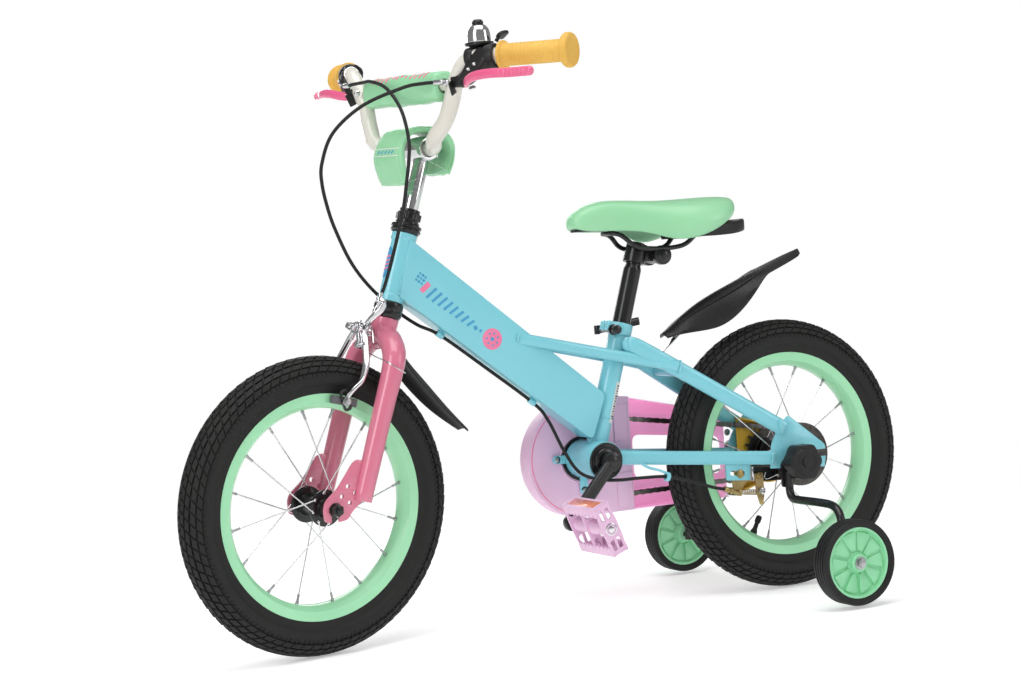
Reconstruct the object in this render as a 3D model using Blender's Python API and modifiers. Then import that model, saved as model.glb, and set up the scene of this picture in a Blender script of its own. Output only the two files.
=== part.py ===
"""A small child's bicycle with stabiliser wheels, modelled piece by piece at its real size.

Metres, +X forward, +Y the rider's left, +Z up. The origin is on the ground, midway between the axles.
The front end is modelled pointing straight ahead, and the empty named steering then turns it.
"""

import math

import bmesh
import bpy
from mathutils import Matrix, Quaternion, Vector

# Driving dimensions
WHEEL_RADIUS = 0.200
WHEELBASE = 0.750
TYRE_HALF_WIDTH = 0.026
TYRE_RING = WHEEL_RADIUS - TYRE_HALF_WIDTH
TREAD_HALF = 0.008
TYRE_STEPS = 28
RIM_EDGE = 0.1507
RIM_INNER = 0.1307
RIM_HALF = 0.0172
SPOKE_RADIUS = 0.001
SPOKE_HOLES = 0.0205
SPOKE_END = 0.1294
HUB_FLANGE = 0.0245
HUB_FLANGE_Y = 0.024
AXLE_RADIUS = 0.0047
GAP = 0.0003

FRONT_AXLE = Vector((WHEELBASE / 2, 0, WHEEL_RADIUS))
REAR_AXLE = Vector((-WHEELBASE / 2, 0, WHEEL_RADIUS))
HEAD_ANGLE = math.radians(72.5)
HEAD = Vector((0.233, 0, 0.5087))
HEAD_AXIS = Vector((-math.cos(HEAD_ANGLE), 0, math.sin(HEAD_ANGLE)))
STEER_ANGLE = math.radians(10.07)
HEAD_TUBE_RADIUS = 0.0165
STEERER_RADIUS = 0.0127

BRACKET = Vector((-0.052, 0, 0.220))
SHELL_RADIUS = 0.0275
SHELL_HALF = 0.035
SEAT_ANGLE = math.radians(73)
SEAT_AXIS = Vector((-math.cos(SEAT_ANGLE), 0, math.sin(SEAT_ANGLE)))
SEAT_TUBE_TOP = 0.1987
SEAT_TUBE_RADIUS = 0.015
POST_RADIUS = 0.013

DROPOUT_Y = 0.055
DROPOUT_THICK = 0.0035
STUD = Vector((-0.351, 0, 0.193))

CHAIN_Y = -0.0445
CHAINRING_TEETH = 30
SPROCKET_TEETH = 18
CHAIN_PITCH = 0.0127
CHAIN_HALF_DEPTH = 0.004
CHAIN_HALF_WIDTH = 0.003
GUARD_RADIUS = 0.085
GUARD_END_X = -0.1360
GUARD_TAIL_RADIUS = 0.0470
CHANNEL_START_X = GUARD_END_X - 0.001
GUARD_INNER_Y = -0.0376
GUARD_OUTER_Y = -0.065
GUARD_WALL = 0.0016

CRANK_LENGTH = 0.1097
CRANK_ANGLE = math.atan2(0.145 - 0.220, 0.028 + 0.052)
PEDAL_INNER = 0.091
PEDAL_OUTER = 0.183
PEDAL_DEPTH = 0.072
PEDAL_HEIGHT = 0.025
PEDAL_TILT = {"left": math.radians(68), "right": math.radians(20)}

CLAMP = Vector((0.187, 0, 0.6685))
BAR_RADIUS = 0.011
BAR_ROUTE = [
    (0.187, 0.000, 0.6685),
    (0.187, 0.0250, 0.6685),
    (0.1995, 0.0500, 0.6705),
    (0.2129, 0.0723, 0.6800),
    (0.2088, 0.0934, 0.7023),
    (0.2058, 0.1049, 0.7273),
    (0.2062, 0.1141, 0.7451),
    (0.2046, 0.1400, 0.7766),
    (0.1835, 0.1830, 0.7810),
    (0.1385, 0.2760, 0.7815),
]
CROSSBAR_X = 0.206
CROSSBAR_Z = 0.7480
PAD_HALF_LENGTH = 0.090

STABILISER = Vector((-0.327, 0.229, 0.0635))
STABILISER_RADIUS = 0.0595
STABILISER_HALF = 0.015

SADDLE_BOLT = Vector((-0.173, 0, 0.5055))

BRAKE_ARM_PIVOT = Vector((-0.300, 0, 0.175))

# Colours: base colour, roughness, metallic
COLOURS = {
    "sky_paint": ((0.16, 0.52, 0.68), 0.30, 0.0),
    "pink_paint": ((0.75, 0.20, 0.36), 0.30, 0.0),
    "pink_plastic": ((0.80, 0.16, 0.38), 0.40, 0.0),
    "mint_paint": ((0.33, 0.75, 0.47), 0.35, 0.0),
    "mint_vinyl": ((0.33, 0.75, 0.47), 0.45, 0.0),
    "cream_paint": ((0.72, 0.69, 0.60), 0.35, 0.0),
    "yellow_rubber": ((0.78, 0.47, 0.12), 0.60, 0.0),
    "yellow_plastic": ((0.80, 0.50, 0.10), 0.40, 0.0),
    "lavender_plastic": ((0.66, 0.47, 0.72), 0.40, 0.0),
    "black_rubber": ((0.025, 0.025, 0.027), 0.75, 0.0),
    "black_plastic": ((0.02, 0.02, 0.022), 0.40, 0.0),
    "black_paint": ((0.015, 0.015, 0.016), 0.30, 0.0),
    "chrome": ((0.75, 0.75, 0.76), 0.12, 1.0),
    "steel": ((0.55, 0.55, 0.56), 0.30, 1.0),
    "brass": ((0.60, 0.45, 0.20), 0.35, 1.0),
}
WELD = 1e-5
Y_AXIS = Vector((0, 1, 0))
SIDES = (("left", 1), ("right", -1))


def clear_scene():
    for obj in list(bpy.data.objects):
        bpy.data.objects.remove(obj)


def make_material(name):
    colour, roughness, metallic = COLOURS[name]
    made = bpy.data.materials.new(name)
    made.use_nodes = True
    made.diffuse_color = (*colour, 1)
    shader = made.node_tree.nodes["Principled BSDF"]
    shader.inputs["Base Color"].default_value = (*colour, 1)
    shader.inputs["Roughness"].default_value = roughness
    shader.inputs["Metallic"].default_value = metallic
    return made


clear_scene()
PARTS = bpy.data.collections.new("kids_bike")
bpy.context.scene.collection.children.link(PARTS)
MATERIALS = {name: make_material(name) for name in COLOURS}


# Helpers that make one piece each
def place(name, data, finish, matrix=None):
    obj = bpy.data.objects.new(name, data)
    PARTS.objects.link(obj)
    obj.data.materials.clear()
    obj.data.materials.append(MATERIALS[finish])
    if matrix is not None:
        obj.matrix_world = matrix
    return obj


def tidy_mesh(mesh, weld=WELD):
    """Welds loose caps and turns every face outwards."""
    bm = bmesh.new()
    bm.from_mesh(mesh)
    bmesh.ops.remove_doubles(bm, verts=bm.verts, dist=weld)
    bmesh.ops.recalc_face_normals(bm, faces=bm.faces)
    for face in bm.faces:
        face.material_index = 0
    bm.to_mesh(mesh)
    bm.free()
    mesh.shade_smooth()
    mesh.set_sharp_from_angle(angle=math.radians(35))


def as_mesh(obj, finish, weld=WELD):
    """The object's evaluated shape as a plain mesh object in its place."""
    bpy.context.view_layer.update()
    graph = bpy.context.evaluated_depsgraph_get()
    mesh = bpy.data.meshes.new_from_object(obj.evaluated_get(graph))
    tidy_mesh(mesh, weld)
    name, matrix = obj.name, obj.matrix_world.copy()
    bpy.data.objects.remove(obj)
    return place(name, mesh, finish, matrix)


def combine(target, others, finish, operation="UNION"):
    """Joins the others to the target, or cuts them out of it, and removes them."""
    for other in others:
        modifier = target.modifiers.new(other.name, "BOOLEAN")
        modifier.operation = operation
        modifier.solver = "EXACT"
        modifier.object = other
    made = as_mesh(target, finish, weld=1e-6)
    for other in others:
        bpy.data.objects.remove(other)
    return made


def cut(target, others, finish):
    return combine(target, others, finish, "DIFFERENCE")


def turn_to(direction, spin=0.0):
    """The turn that takes +Z to the direction, after a spin about +Z."""
    turn = Vector((0, 0, 1)).rotation_difference(Vector(direction))
    return (turn @ Quaternion((0, 0, 1), spin)).to_matrix().to_4x4()


def rod(name, start, end, radius, finish, sides=12, end_radius=None):
    start, end = Vector(start), Vector(end)
    bm = bmesh.new()
    far = radius if end_radius is None else end_radius
    bmesh.ops.create_cone(
        bm, cap_ends=True, segments=sides, radius1=radius, radius2=far, depth=(end - start).length
    )
    mesh = bpy.data.meshes.new(name)
    bm.to_mesh(mesh)
    bm.free()
    matrix = Matrix.Translation((start + end) / 2) @ turn_to(end - start)
    obj = place(name, mesh, finish, matrix)
    tidy_mesh(obj.data)
    return obj


def across(name, centre, half, radius, finish, sides=12):
    """A rod along Y, centred in Y on the centre."""
    reach = Vector((0, half, 0))
    return rod(name, Vector(centre) - reach, Vector(centre) + reach, radius, finish, sides)


def between_y(name, x, z, y_from, y_to, radius, finish, sides=12):
    return rod(name, (x, y_from, z), (x, y_to, z), radius, finish, sides)


def box(name, centre, size, finish, bevel=0.0, turn=None, segments=2):
    bm = bmesh.new()
    bmesh.ops.create_cube(bm, size=1.0)
    bmesh.ops.scale(bm, verts=bm.verts, vec=size)
    if bevel:
        edges = list(bm.edges)
        bmesh.ops.bevel(bm, geom=edges, offset=bevel, segments=segments, profile=0.5, affect="EDGES")
    mesh = bpy.data.meshes.new(name)
    bm.to_mesh(mesh)
    bm.free()
    matrix = Matrix.Translation(Vector(centre))
    if turn is not None:
        matrix = matrix @ turn
    obj = place(name, mesh, finish, matrix)
    tidy_mesh(obj.data)
    return obj


def turned(name, profile, centre, direction, finish, steps=18, closed=True, spin=None):
    """A Screw of the profile, (radius, height along the direction) points, about the centre."""
    count = len(profile)
    edges = [(i, i + 1) for i in range(count - 1)]
    if closed:
        edges.append((count - 1, 0))
    mesh = bpy.data.meshes.new(name)
    mesh.from_pydata([(radius, 0, height) for radius, height in profile], edges, [])
    spin = math.pi / steps if spin is None else spin
    matrix = Matrix.Translation(Vector(centre)) @ turn_to(direction, spin)
    obj = place(name, mesh, finish, matrix)
    screw = obj.modifiers.new("turn", "SCREW")
    screw.steps = steps
    screw.render_steps = steps
    screw.use_merge_vertices = True
    screw.merge_threshold = WELD
    return as_mesh(obj, finish)


def smooth_route(points, per_span):
    """A Catmull-Rom curve through the points, per_span steps between neighbours."""
    given = [Vector(p) for p in points]
    padded = [2 * given[0] - given[1], *given, 2 * given[-1] - given[-2]]
    route = []
    for a, b, c, d in zip(padded, padded[1:], padded[2:], padded[3:]):
        for step in range(per_span):
            t = step / per_span
            bend = (2 * a - 5 * b + 4 * c - d) * t**2 + (3 * b - a - 3 * c + d) * t**3
            route.append(0.5 * (2 * b + (c - a) * t + bend))
    route.append(given[-1])
    return route


def tube(name, route, radius, finish, resolution=4, taper=None):
    """A round tube along the route: a POLY curve with filled caps, made a mesh."""
    curve = bpy.data.curves.new(name, "CURVE")
    curve.dimensions = "3D"
    curve.bevel_depth = radius
    curve.bevel_resolution = resolution
    curve.use_fill_caps = True
    spline = curve.splines.new("POLY")
    spline.points.add(len(route) - 1)
    for index, (point, spot) in enumerate(zip(spline.points, route)):
        point.co = (*spot, 1)
        point.radius = taper[index] if taper else 1.0
    return as_mesh(place(name, curve, finish), finish)


def oval_bar(name, route, half_width, half_height, finish, sides=12):
    """A bar of oval section swept along the route, its height kept upright."""
    outline = bpy.data.curves.new(name + "_section", "CURVE")
    outline.dimensions = "2D"
    ring = outline.splines.new("POLY")
    ring.points.add(sides - 1)
    for index, point in enumerate(ring.points):
        angle = -2 * math.pi * (index + 0.5) / sides
        x = half_width * math.copysign(abs(math.cos(angle)) ** 0.7, math.cos(angle))
        y = half_height * math.copysign(abs(math.sin(angle)) ** 0.7, math.sin(angle))
        point.co = (x, y, 0, 1)
    ring.use_cyclic_u = True
    section = place(name + "_section", outline, finish)
    curve = bpy.data.curves.new(name, "CURVE")
    curve.dimensions = "3D"
    curve.twist_mode = "Z_UP"
    curve.bevel_mode = "OBJECT"
    curve.bevel_object = section
    curve.use_fill_caps = True
    spline = curve.splines.new("POLY")
    spline.points.add(len(route) - 1)
    for point, spot in zip(spline.points, route):
        point.co = (*spot, 1)
    made = as_mesh(place(name, curve, finish), finish)
    bpy.data.objects.remove(section)
    return made


def plate(name, outline, y, half_thick, finish, bevel=0.0, segments=2, holes=()):
    """A flat piece in the XZ plane: a filled 2D outline, extruded along Y."""
    curve = bpy.data.curves.new(name, "CURVE")
    curve.dimensions = "2D"
    curve.fill_mode = "BOTH"
    curve.extrude = half_thick
    for loop in (outline, *holes):
        spline = curve.splines.new("POLY")
        spline.points.add(len(loop) - 1)
        for point, (x, z) in zip(spline.points, loop):
            point.co = (x, z, 0, 1)
        spline.use_cyclic_u = True
    matrix = Matrix.Translation((0, y, 0)) @ Matrix.Rotation(math.pi / 2, 4, "X")
    made = as_mesh(place(name, curve, finish, matrix), finish)
    if bevel:
        bm = bmesh.new()
        bm.from_mesh(made.data)
        level = half_thick - 1e-6
        rims = [
            e for e in bm.edges
            if len(e.link_faces) == 2
            and e.calc_face_angle(0) > 1.2
            and all(abs(v.co.z) > level for v in e.verts)
        ]
        bmesh.ops.bevel(bm, geom=rims, offset=bevel, segments=segments, profile=0.5, affect="EDGES")
        bm.to_mesh(made.data)
        bm.free()
        tidy_mesh(made.data)
    return made


def arc(x, z, radius, start, end, count):
    """Points on an arc in the XZ plane, angles in degrees."""
    angles = [math.radians(start + (end - start) * i / (count - 1)) for i in range(count)]
    return [(x + radius * math.cos(a), z + radius * math.sin(a)) for a in angles]


def loft(name, sections, finish):
    """A closed skin through rings of points that have the same count."""
    bm = bmesh.new()
    rings = [[bm.verts.new(p) for p in section] for section in sections]
    count = len(rings[0])
    for near, far in zip(rings, rings[1:]):
        for i in range(count):
            j = (i + 1) % count
            bm.faces.new((near[i], near[j], far[j], far[i]))
    bm.faces.new(rings[0])
    bm.faces.new(rings[-1])
    bmesh.ops.triangulate(bm, faces=bm.faces)
    mesh = bpy.data.meshes.new(name)
    bm.to_mesh(mesh)
    bm.free()
    obj = place(name, mesh, finish)
    tidy_mesh(obj.data)
    return obj


def along_head(distance, forward=0.0, side=0.0):
    """A point by its distance up the steering axis from the head point, ahead of it and to its side."""
    ahead = Vector((math.sin(HEAD_ANGLE), 0, math.cos(HEAD_ANGLE)))
    return HEAD + HEAD_AXIS * distance + ahead * forward + Y_AXIS * side


def along_seat(distance, y=0.0):
    return BRACKET + SEAT_AXIS * distance + Y_AXIS * y


def mirrored(route, sign):
    return [(x, sign * y, z) for x, y, z in route]


# Frame
CABLE_STOP = Vector((-0.1435, 0.0470, 0.1895))
STOP_STRAP = [
    (-0.1080, 0.0280, 0.2150), (-0.1180, 0.0380, 0.2050), (-0.1310, 0.0450, 0.2000), (-0.1430, 0.0470, 0.1948)
]


def down_tube():
    head_end = [(0.2185, 0.5465), (0.2400, 0.4696)]
    low_end = arc(-0.0324, 0.2995, 0.0325, -52, -230, 9)
    return plate("down_tube", head_end + low_end, 0, 0.018, "sky_paint", bevel=0.011, segments=2)


def dropout(sign):
    outline = [
        (-0.3135, 0.1850), (-0.3170, 0.2200), (-0.3305, 0.2430), (-0.3480, 0.2610),
        (-0.4110, 0.2120), (-0.4110, 0.2053), *arc(-0.3750, 0.2, 0.0053, 90, -90, 7),
        (-0.4110, 0.1947), (-0.4100, 0.1780),
    ]
    hole = arc(STUD.x, STUD.z, 0.0036, 0, 324, 10)
    y = sign * (DROPOUT_Y + DROPOUT_THICK / 2)
    return plate("dropout", outline, y, DROPOUT_THICK / 2, "sky_paint", holes=[hole])


def frame_stays(sign):
    top = [(0.075, 0.012, 0.404), (0.02, 0.0205, 0.391), (-0.0965, 0.0235, 0.364), (-0.1755, 0.0415, 0.345)]
    seat = [(-0.117, 0.030, 0.378), (-0.2275, 0.0440, 0.310), (-0.338, 0.0580, 0.242)]
    chain = [
        (-0.060, 0.022, 0.2235), (-0.140, 0.032, 0.216), (-0.240, 0.044, 0.207), (-0.3215, 0.0555, 0.200)
    ]
    return [
        oval_bar("top_tube", mirrored(top, sign), 0.005, 0.008, "sky_paint"),
        oval_bar("seatstay", mirrored(seat, sign), 0.006, 0.0115, "sky_paint"),
        oval_bar("chainstay", mirrored(chain, sign), 0.005, 0.010, "sky_paint"),
        dropout(sign),
    ]


def guard_tab(angle, reach):
    root = SHELL_RADIUS - 0.0002
    tab = box("guard_tab", ((root + reach) / 2, 0, 0), (reach - root, 0.003, 0.012), "sky_paint")
    tab.matrix_world = (
        Matrix.Translation(BRACKET + Vector((0, -0.0350, 0)))
        @ Matrix.Rotation(-math.radians(angle), 4, "Y")
        @ tab.matrix_world
    )
    return tab


def build_frame():
    lug = along_seat(0.1915) + Vector((0.017, 0, 0.005))
    brake_tab = [(-0.2440, 0.2065), (-0.2860, 0.2035), (-0.2850, 0.1700), (-0.2440, 0.1735)]
    bolt_slot = [(-0.2530, 0.1860), (-0.2730, 0.1845), (-0.2730, 0.1785), (-0.2530, 0.1800)]
    stop_way = Vector((-0.95, 0.0, -0.25)).normalized() * 0.002
    slit_spot = lug + Vector((0.002, 0, 0))
    body = down_tube()
    adds = [
        rod("head_tube", along_head(-0.0479), along_head(0.0475), HEAD_TUBE_RADIUS, "sky_paint", 24),
        rod("seat_tube", BRACKET, along_seat(SEAT_TUBE_TOP), SEAT_TUBE_RADIUS, "sky_paint", 20),
        rod("seat_collar", along_seat(0.182), along_seat(SEAT_TUBE_TOP + 0.0005), 0.0175, "sky_paint", 20),
        across("shell", BRACKET, SHELL_HALF, SHELL_RADIUS, "sky_paint", 28),
        box("seat_lug", lug, (0.020, 0.024, 0.014), "sky_paint", turn=turn_to(SEAT_AXIS)),
        across("bridge", (-0.182, 0, 0.3355), 0.036, 0.006, "sky_paint", 12),
        plate("brake_tab", brake_tab, 0.0445, 0.0015, "sky_paint", holes=[bolt_slot]),
        rod("cable_stop", CABLE_STOP - stop_way, CABLE_STOP + stop_way, 0.0065, "sky_paint", 14),
        tube("stop_strap", STOP_STRAP, 0.0022, "sky_paint", 2),
        guard_tab(2.5, 0.048),
        guard_tab(-90.6, 0.052),
    ]
    for _, sign in SIDES:
        adds += frame_stays(sign)
    body = combine(body, adds, "sky_paint")
    cuts = [
        rod("head_bore", along_head(-0.06), along_head(0.06), 0.0145, "sky_paint", 24),
        rod("seat_bore", along_seat(0.040), along_seat(0.22), POST_RADIUS + 0.0004, "sky_paint", 24),
        across("shell_bore", BRACKET, 0.04, 0.0245, "sky_paint", 28),
        between_y("skewer_bore", -0.0888, 0.4034, -0.03, 0.03, 0.0034, "sky_paint", 10),
        box("lug_slit", slit_spot, (0.030, 0.003, 0.03), "sky_paint", turn=turn_to(SEAT_AXIS)),
        rod("stop_bore", CABLE_STOP - stop_way * 1.5, CABLE_STOP + stop_way * 1.5, 0.0036, "sky_paint", 12),
    ]
    body = cut(body, cuts, "sky_paint")
    body.name = "frame"
    return [body]


def build_headset():
    lower = [
        (0.0133, -0.0482), (0.0190, -0.0482), (0.0200, -0.056), (0.0200, -0.066), (0.0180, -0.0699),
        (0.0133, -0.0699),
    ]
    upper = [
        (0.0133, 0.0478), (0.0190, 0.0478), (0.0200, 0.054), (0.0195, 0.066), (0.0170, 0.0758),
        (0.0133, 0.0758),
    ]
    nut = [(0.0133, 0.0762), (0.0175, 0.0762), (0.0180, 0.080), (0.0160, 0.0875), (0.0133, 0.0875)]
    cups = [
        turned("headset_lower_cup", lower, HEAD, HEAD_AXIS, "black_paint"),
        turned("headset_upper_cup", upper, HEAD, HEAD_AXIS, "black_paint"),
    ]
    return cups, turned("headset_locknut", nut, HEAD, HEAD_AXIS, "black_paint")


# Wheels
def tyre_profile():
    facet = math.cos(math.pi / TYRE_STEPS)
    outer = [(WHEEL_RADIUS / facet, TREAD_HALF)]
    for degrees in (55, 105):
        angle = math.radians(90 - degrees)
        outer.append((TYRE_RING + TYRE_HALF_WIDTH * math.sin(angle), TYRE_HALF_WIDTH * math.cos(angle)))
    outer += [(0.1515, 0.0172), (0.1515, 0.0150), (0.1450, 0.0147)]
    inner = [(0.1450, 0.0120), (0.1780, 0.0190)]
    half = outer + inner
    return [(r, y) for r, y in reversed(half)] + [(r, -y) for r, y in half]


def rim_profile():
    facet = math.cos(math.pi / TYRE_STEPS)
    half = [
        (RIM_INNER / facet, 0.0070), (0.1380, RIM_HALF), (RIM_EDGE, RIM_HALF), (RIM_EDGE, 0.0154),
        (0.1400, 0.0151), (0.1350, 0.0060),
    ]
    return [(r, y) for r, y in half] + [(r, -y) for r, y in reversed(half)]


def spoke_pairs():
    """(side, hole angle, nipple angle) of each spoke, in degrees from forward."""
    crossings = {1: [82.5, 172.5, 262.5, 352.5], -1: [60, 150, 240, 330]}
    for side, starts in crossings.items():
        for start in starts:
            yield side, start, start + 45
            yield side, start + 45, start


def hub_profile():
    half = [
        (0.0056, 0.0340), (0.0125, 0.0340), (0.0130, 0.0258), (HUB_FLANGE, 0.0252), (HUB_FLANGE, 0.0228),
        (0.0130, 0.0215),
    ]
    return half + [(r, -y) for r, y in reversed(half)]


def build_wheel(prefix, centre, drum=False):
    hub = turned(prefix + "_hub", hub_profile(), centre, Y_AXIS, "black_paint", 16)
    adds = []
    for side, hole, nipple in spoke_pairs():
        at_hub = math.radians(hole)
        at_rim = math.radians(nipple)
        hub_way = Vector((math.cos(at_hub), 0, math.sin(at_hub)))
        rim_way = Vector((math.cos(at_rim), 0, math.sin(at_rim)))
        inner = centre + hub_way * SPOKE_HOLES + Y_AXIS * (side * HUB_FLANGE_Y)
        outer = centre + rim_way * SPOKE_END + Y_AXIS * (side * 0.003)
        adds.append(rod("spoke", inner, outer, SPOKE_RADIUS, "chrome", 6))
    if drum:
        ring = [
            (0.0115, 0.0330), (0.0400, 0.0330), (0.0400, 0.0465), (0.0370, 0.0465), (0.0370, 0.0360),
            (0.0115, 0.0360),
        ]
        adds.append(turned("drum", ring, centre, Y_AXIS, "steel", 20))
    hub = combine(hub, adds, "chrome")
    hub.name = prefix + "_hub_and_spokes"
    return [
        turned(prefix + "_tyre", tyre_profile(), centre, Y_AXIS, "black_rubber", TYRE_STEPS),
        turned(prefix + "_rim", rim_profile(), centre, Y_AXIS, "mint_paint", TYRE_STEPS),
        hub,
    ]


def axle_with_nuts(name, centre, dropout_inner, dropout_outer, end, finish="black_paint"):
    body = across(name, centre, end, AXLE_RADIUS, finish, 12)
    adds = []
    for _, sign in SIDES:
        y_cone = (sign * 0.0350, sign * (dropout_inner - GAP))
        y_nut = (sign * (dropout_outer + GAP), sign * (dropout_outer + 0.0095))
        adds.append(between_y("cone", centre.x, centre.z, *y_cone, 0.0075, finish, 12))
        adds.append(between_y("nut", centre.x, centre.z, *y_nut, 0.0088, finish, 6))
    return combine(body, adds, finish)


# Steered front end
FORK_SIDE = 0.0490
FORK_PLATE_Y = 0.0470
FORK_PLATE_HALF = 0.0020


def fork_leg(sign):
    route = [along_head(u, f, sign * s) for u, f, s in (
        (-0.092, 0.0, 0.004), (-0.104, 0.001, 0.028), (-0.122, 0.002, 0.0440), (-0.147, 0.003, FORK_SIDE),
        (-0.200, 0.004, FORK_SIDE), (-0.318, 0.005, FORK_SIDE),
    )]
    smooth = smooth_route(route, 2)
    reach = len(smooth) - 1
    taper = [1.0 - 0.20 * max(0.0, i / reach - 0.4) / 0.6 for i in range(reach + 1)]
    return tube("fork_leg", smooth, 0.0158, "pink_paint", 4, taper)


def fork_dropout(sign):
    outline = [
        (0.3180, 0.2560), (0.3370, 0.2630), (0.3440, 0.2600), (0.3690, 0.2280), (0.3880, 0.2130),
        (0.3920, 0.2030), (0.3905, 0.1855), (0.3810, 0.1835), (0.3804, 0.2000),
        *arc(0.375, 0.2, 0.0054, 30, 150, 4), (0.3696, 0.2000), (0.3690, 0.1835), (0.3560, 0.1850),
        (0.3490, 0.1950), (0.3340, 0.2060), (0.3220, 0.2150),
    ]
    return plate("fork_dropout", outline, sign * FORK_PLATE_Y, FORK_PLATE_HALF, "pink_paint")


def build_fork():
    crown = rod("fork", along_head(-0.0702), along_head(-0.098), 0.0172, "pink_paint", 24, 0.0150)
    adds = [rod("steerer", along_head(-0.08), along_head(0.0870), STEERER_RADIUS, "pink_paint", 24)]
    for _, sign in SIDES:
        adds += [fork_leg(sign), fork_dropout(sign)]
    crown = combine(crown, adds, "pink_paint")
    quill = rod("quill_bore", along_head(0.010), along_head(0.10), 0.0113, "pink_paint", 24)
    bore_ends = (along_head(CALIPER_UP, -0.05), along_head(CALIPER_UP, 0.05))
    bolt = rod("bolt_bore", *bore_ends, 0.0034, "pink_paint", 10)
    fork = cut(crown, [quill, bolt], "pink_paint")
    fork.name = "fork"
    return fork


def build_stem():
    quill = rod("stem", along_head(0.015), along_head(0.1640), 0.0109, "chrome", 16)
    top = CLAMP
    adds = [
        across("clamp", top, 0.021, 0.0165, "chrome", 16),
        box("clamp_ears", top + Vector((-0.0135, 0, -0.006)), (0.014, 0.026, 0.018), "chrome"),
        rod("wedge_bolt", along_head(0.160), along_head(0.1830, -0.004), 0.0095, "chrome", 12),
    ]
    stem = combine(quill, adds, "chrome")
    bore = across("clamp_bore", CLAMP, 0.03, BAR_RADIUS + 0.0007, "chrome", 18)
    stem = cut(stem, [bore], "chrome")
    stem.name = "stem"
    return stem


def bar_tube(name, radius, finish):
    """The bar's own bent tube, also used fatter to cut room for it out of what it passes."""
    left = smooth_route(BAR_ROUTE[1:], 2)
    right = [Vector((p.x, -p.y, p.z)) for p in reversed(left)]
    return tube(name, right + left, radius, finish, 3)


def build_handlebar():
    bar = bar_tube("handlebar", BAR_RADIUS, "cream_paint")
    crossbar = across("crossbar", (CROSSBAR_X, 0, CROSSBAR_Z), 0.1140, 0.0070, "cream_paint", 12)
    return combine(bar, [crossbar], "cream_paint")


def build_grip(side, sign):
    start = Vector(mirrored(BAR_ROUTE, sign)[-2])
    end = Vector(mirrored(BAR_ROUTE, sign)[-1])
    along = (end - start).normalized()
    length = (end - start).length
    bore = BAR_RADIUS + 0.0005
    end_face = length + 0.0025
    profile = [
        (0.0, end_face), (0.0210, end_face), (0.0224, end_face - 0.0030), (0.0224, end_face - 0.0090),
        (0.0142, end_face - 0.0120), (0.0147, 0.011), (0.0190, 0.008), (0.0190, 0.004),
        (bore, 0.004), (bore, length + 0.0004), (0.0, length + 0.0004),
    ]
    return turned("grip_" + side, profile, start, along, "yellow_rubber", 16, closed=False)


def build_crossbar_pad():
    centre = Vector((CROSSBAR_X - 0.002, 0, CROSSBAR_Z))
    pad = box("crossbar_pad", centre, (0.038, 2 * PAD_HALF_LENGTH, 0.042), "mint_vinyl", 0.010, segments=3)
    bore = across("pad_bore", (CROSSBAR_X, 0, CROSSBAR_Z), 0.1, 0.0076, "mint_vinyl", 12)
    pad = cut(pad, [bore], "mint_vinyl")
    pad.name = "crossbar_pad"
    return pad


def build_stem_pad():
    outer = [
        (0.2360, 0.6180), (0.2470, 0.6240), (0.2460, 0.6680), (0.2320, 0.6880), (0.2120, 0.6985),
        (0.1780, 0.6985), (0.1600, 0.6880), (0.1500, 0.6680), (0.1500, 0.6300), (0.1580, 0.6260),
    ]
    inner = [
        (0.1585, 0.6320), (0.1590, 0.6650), (0.1650, 0.6800), (0.1810, 0.6885), (0.2085, 0.6885),
        (0.2245, 0.6800), (0.2355, 0.6640), (0.2350, 0.6260),
    ]
    return plate("stem_pad", outer + inner, 0, 0.031, "mint_vinyl", bevel=0.003, segments=1)


LEVER_PIVOT = Vector((0.2000, 0.1400, 0.7510))
LEVER_AXIS = Vector((0.488, 0.236, 0.840)).normalized()


def flip(vector, sign):
    return Vector((vector[0], sign * vector[1], vector[2]))


def build_lever(side, sign):
    """The bracket that clamps the bar, and the blade that the fingers pull."""
    bar = [flip(p, sign) for p in BAR_ROUTE]
    seat = bar[-3].lerp(bar[-2], 0.80)
    along = (bar[-2] - bar[-3]).normalized()
    ring = [(BAR_RADIUS + 0.0005, -0.007), (0.0165, -0.007), (0.0165, 0.007), (BAR_RADIUS + 0.0005, 0.007)]
    clamp = turned("lever_clamp", ring, seat, along, "black_plastic", 20)
    pivot = flip(LEVER_PIVOT, sign)
    axis = flip(LEVER_AXIS, sign)
    root = seat + Vector((0.010, 0, -0.0130))
    bend = pivot + Vector((-0.004, sign * 0.014, 0.003))
    neck = tube("neck", [root, bend, pivot], 0.0090, "black_plastic", 2)
    nose = tube(
        "nose", [pivot + Vector((0.000, sign * 0.006, 0.001)), pivot + Vector((0.012, -sign * 0.020, 0.0))],
        0.0092, "black_plastic", 2,
    )
    body = combine(clamp, [neck, nose], "black_plastic")
    tip = Vector((0.1900, 0.2650, 0.7550))
    route = [
        LEVER_PIVOT + Vector((0.004, 0.004, -0.002)), Vector((0.2180, 0.1620, 0.7480)),
        Vector((0.2200, 0.1950, 0.7470)), Vector((0.2060, 0.2350, 0.7520)), tip,
    ]
    shape = [flip(p, sign) for p in smooth_route(route, 2)]
    room = bar_tube("bar_room", BAR_RADIUS + 0.0006, "black_plastic")
    slot_centre = pivot + Vector((0.016, sign * 0.020, -0.0149)) + axis * 0.0015
    slot = box("blade_slot", slot_centre, (0.050, 0.050, 0.0152), "black_plastic", turn=turn_to(axis))
    body = cut(body, [room, slot], "black_plastic")
    body.name = "brake_lever_bracket_" + side
    blade_bar = oval_bar("brake_lever_" + side, shape, 0.0036, 0.0060, "pink_paint", 10)
    return body, blade_bar


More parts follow.
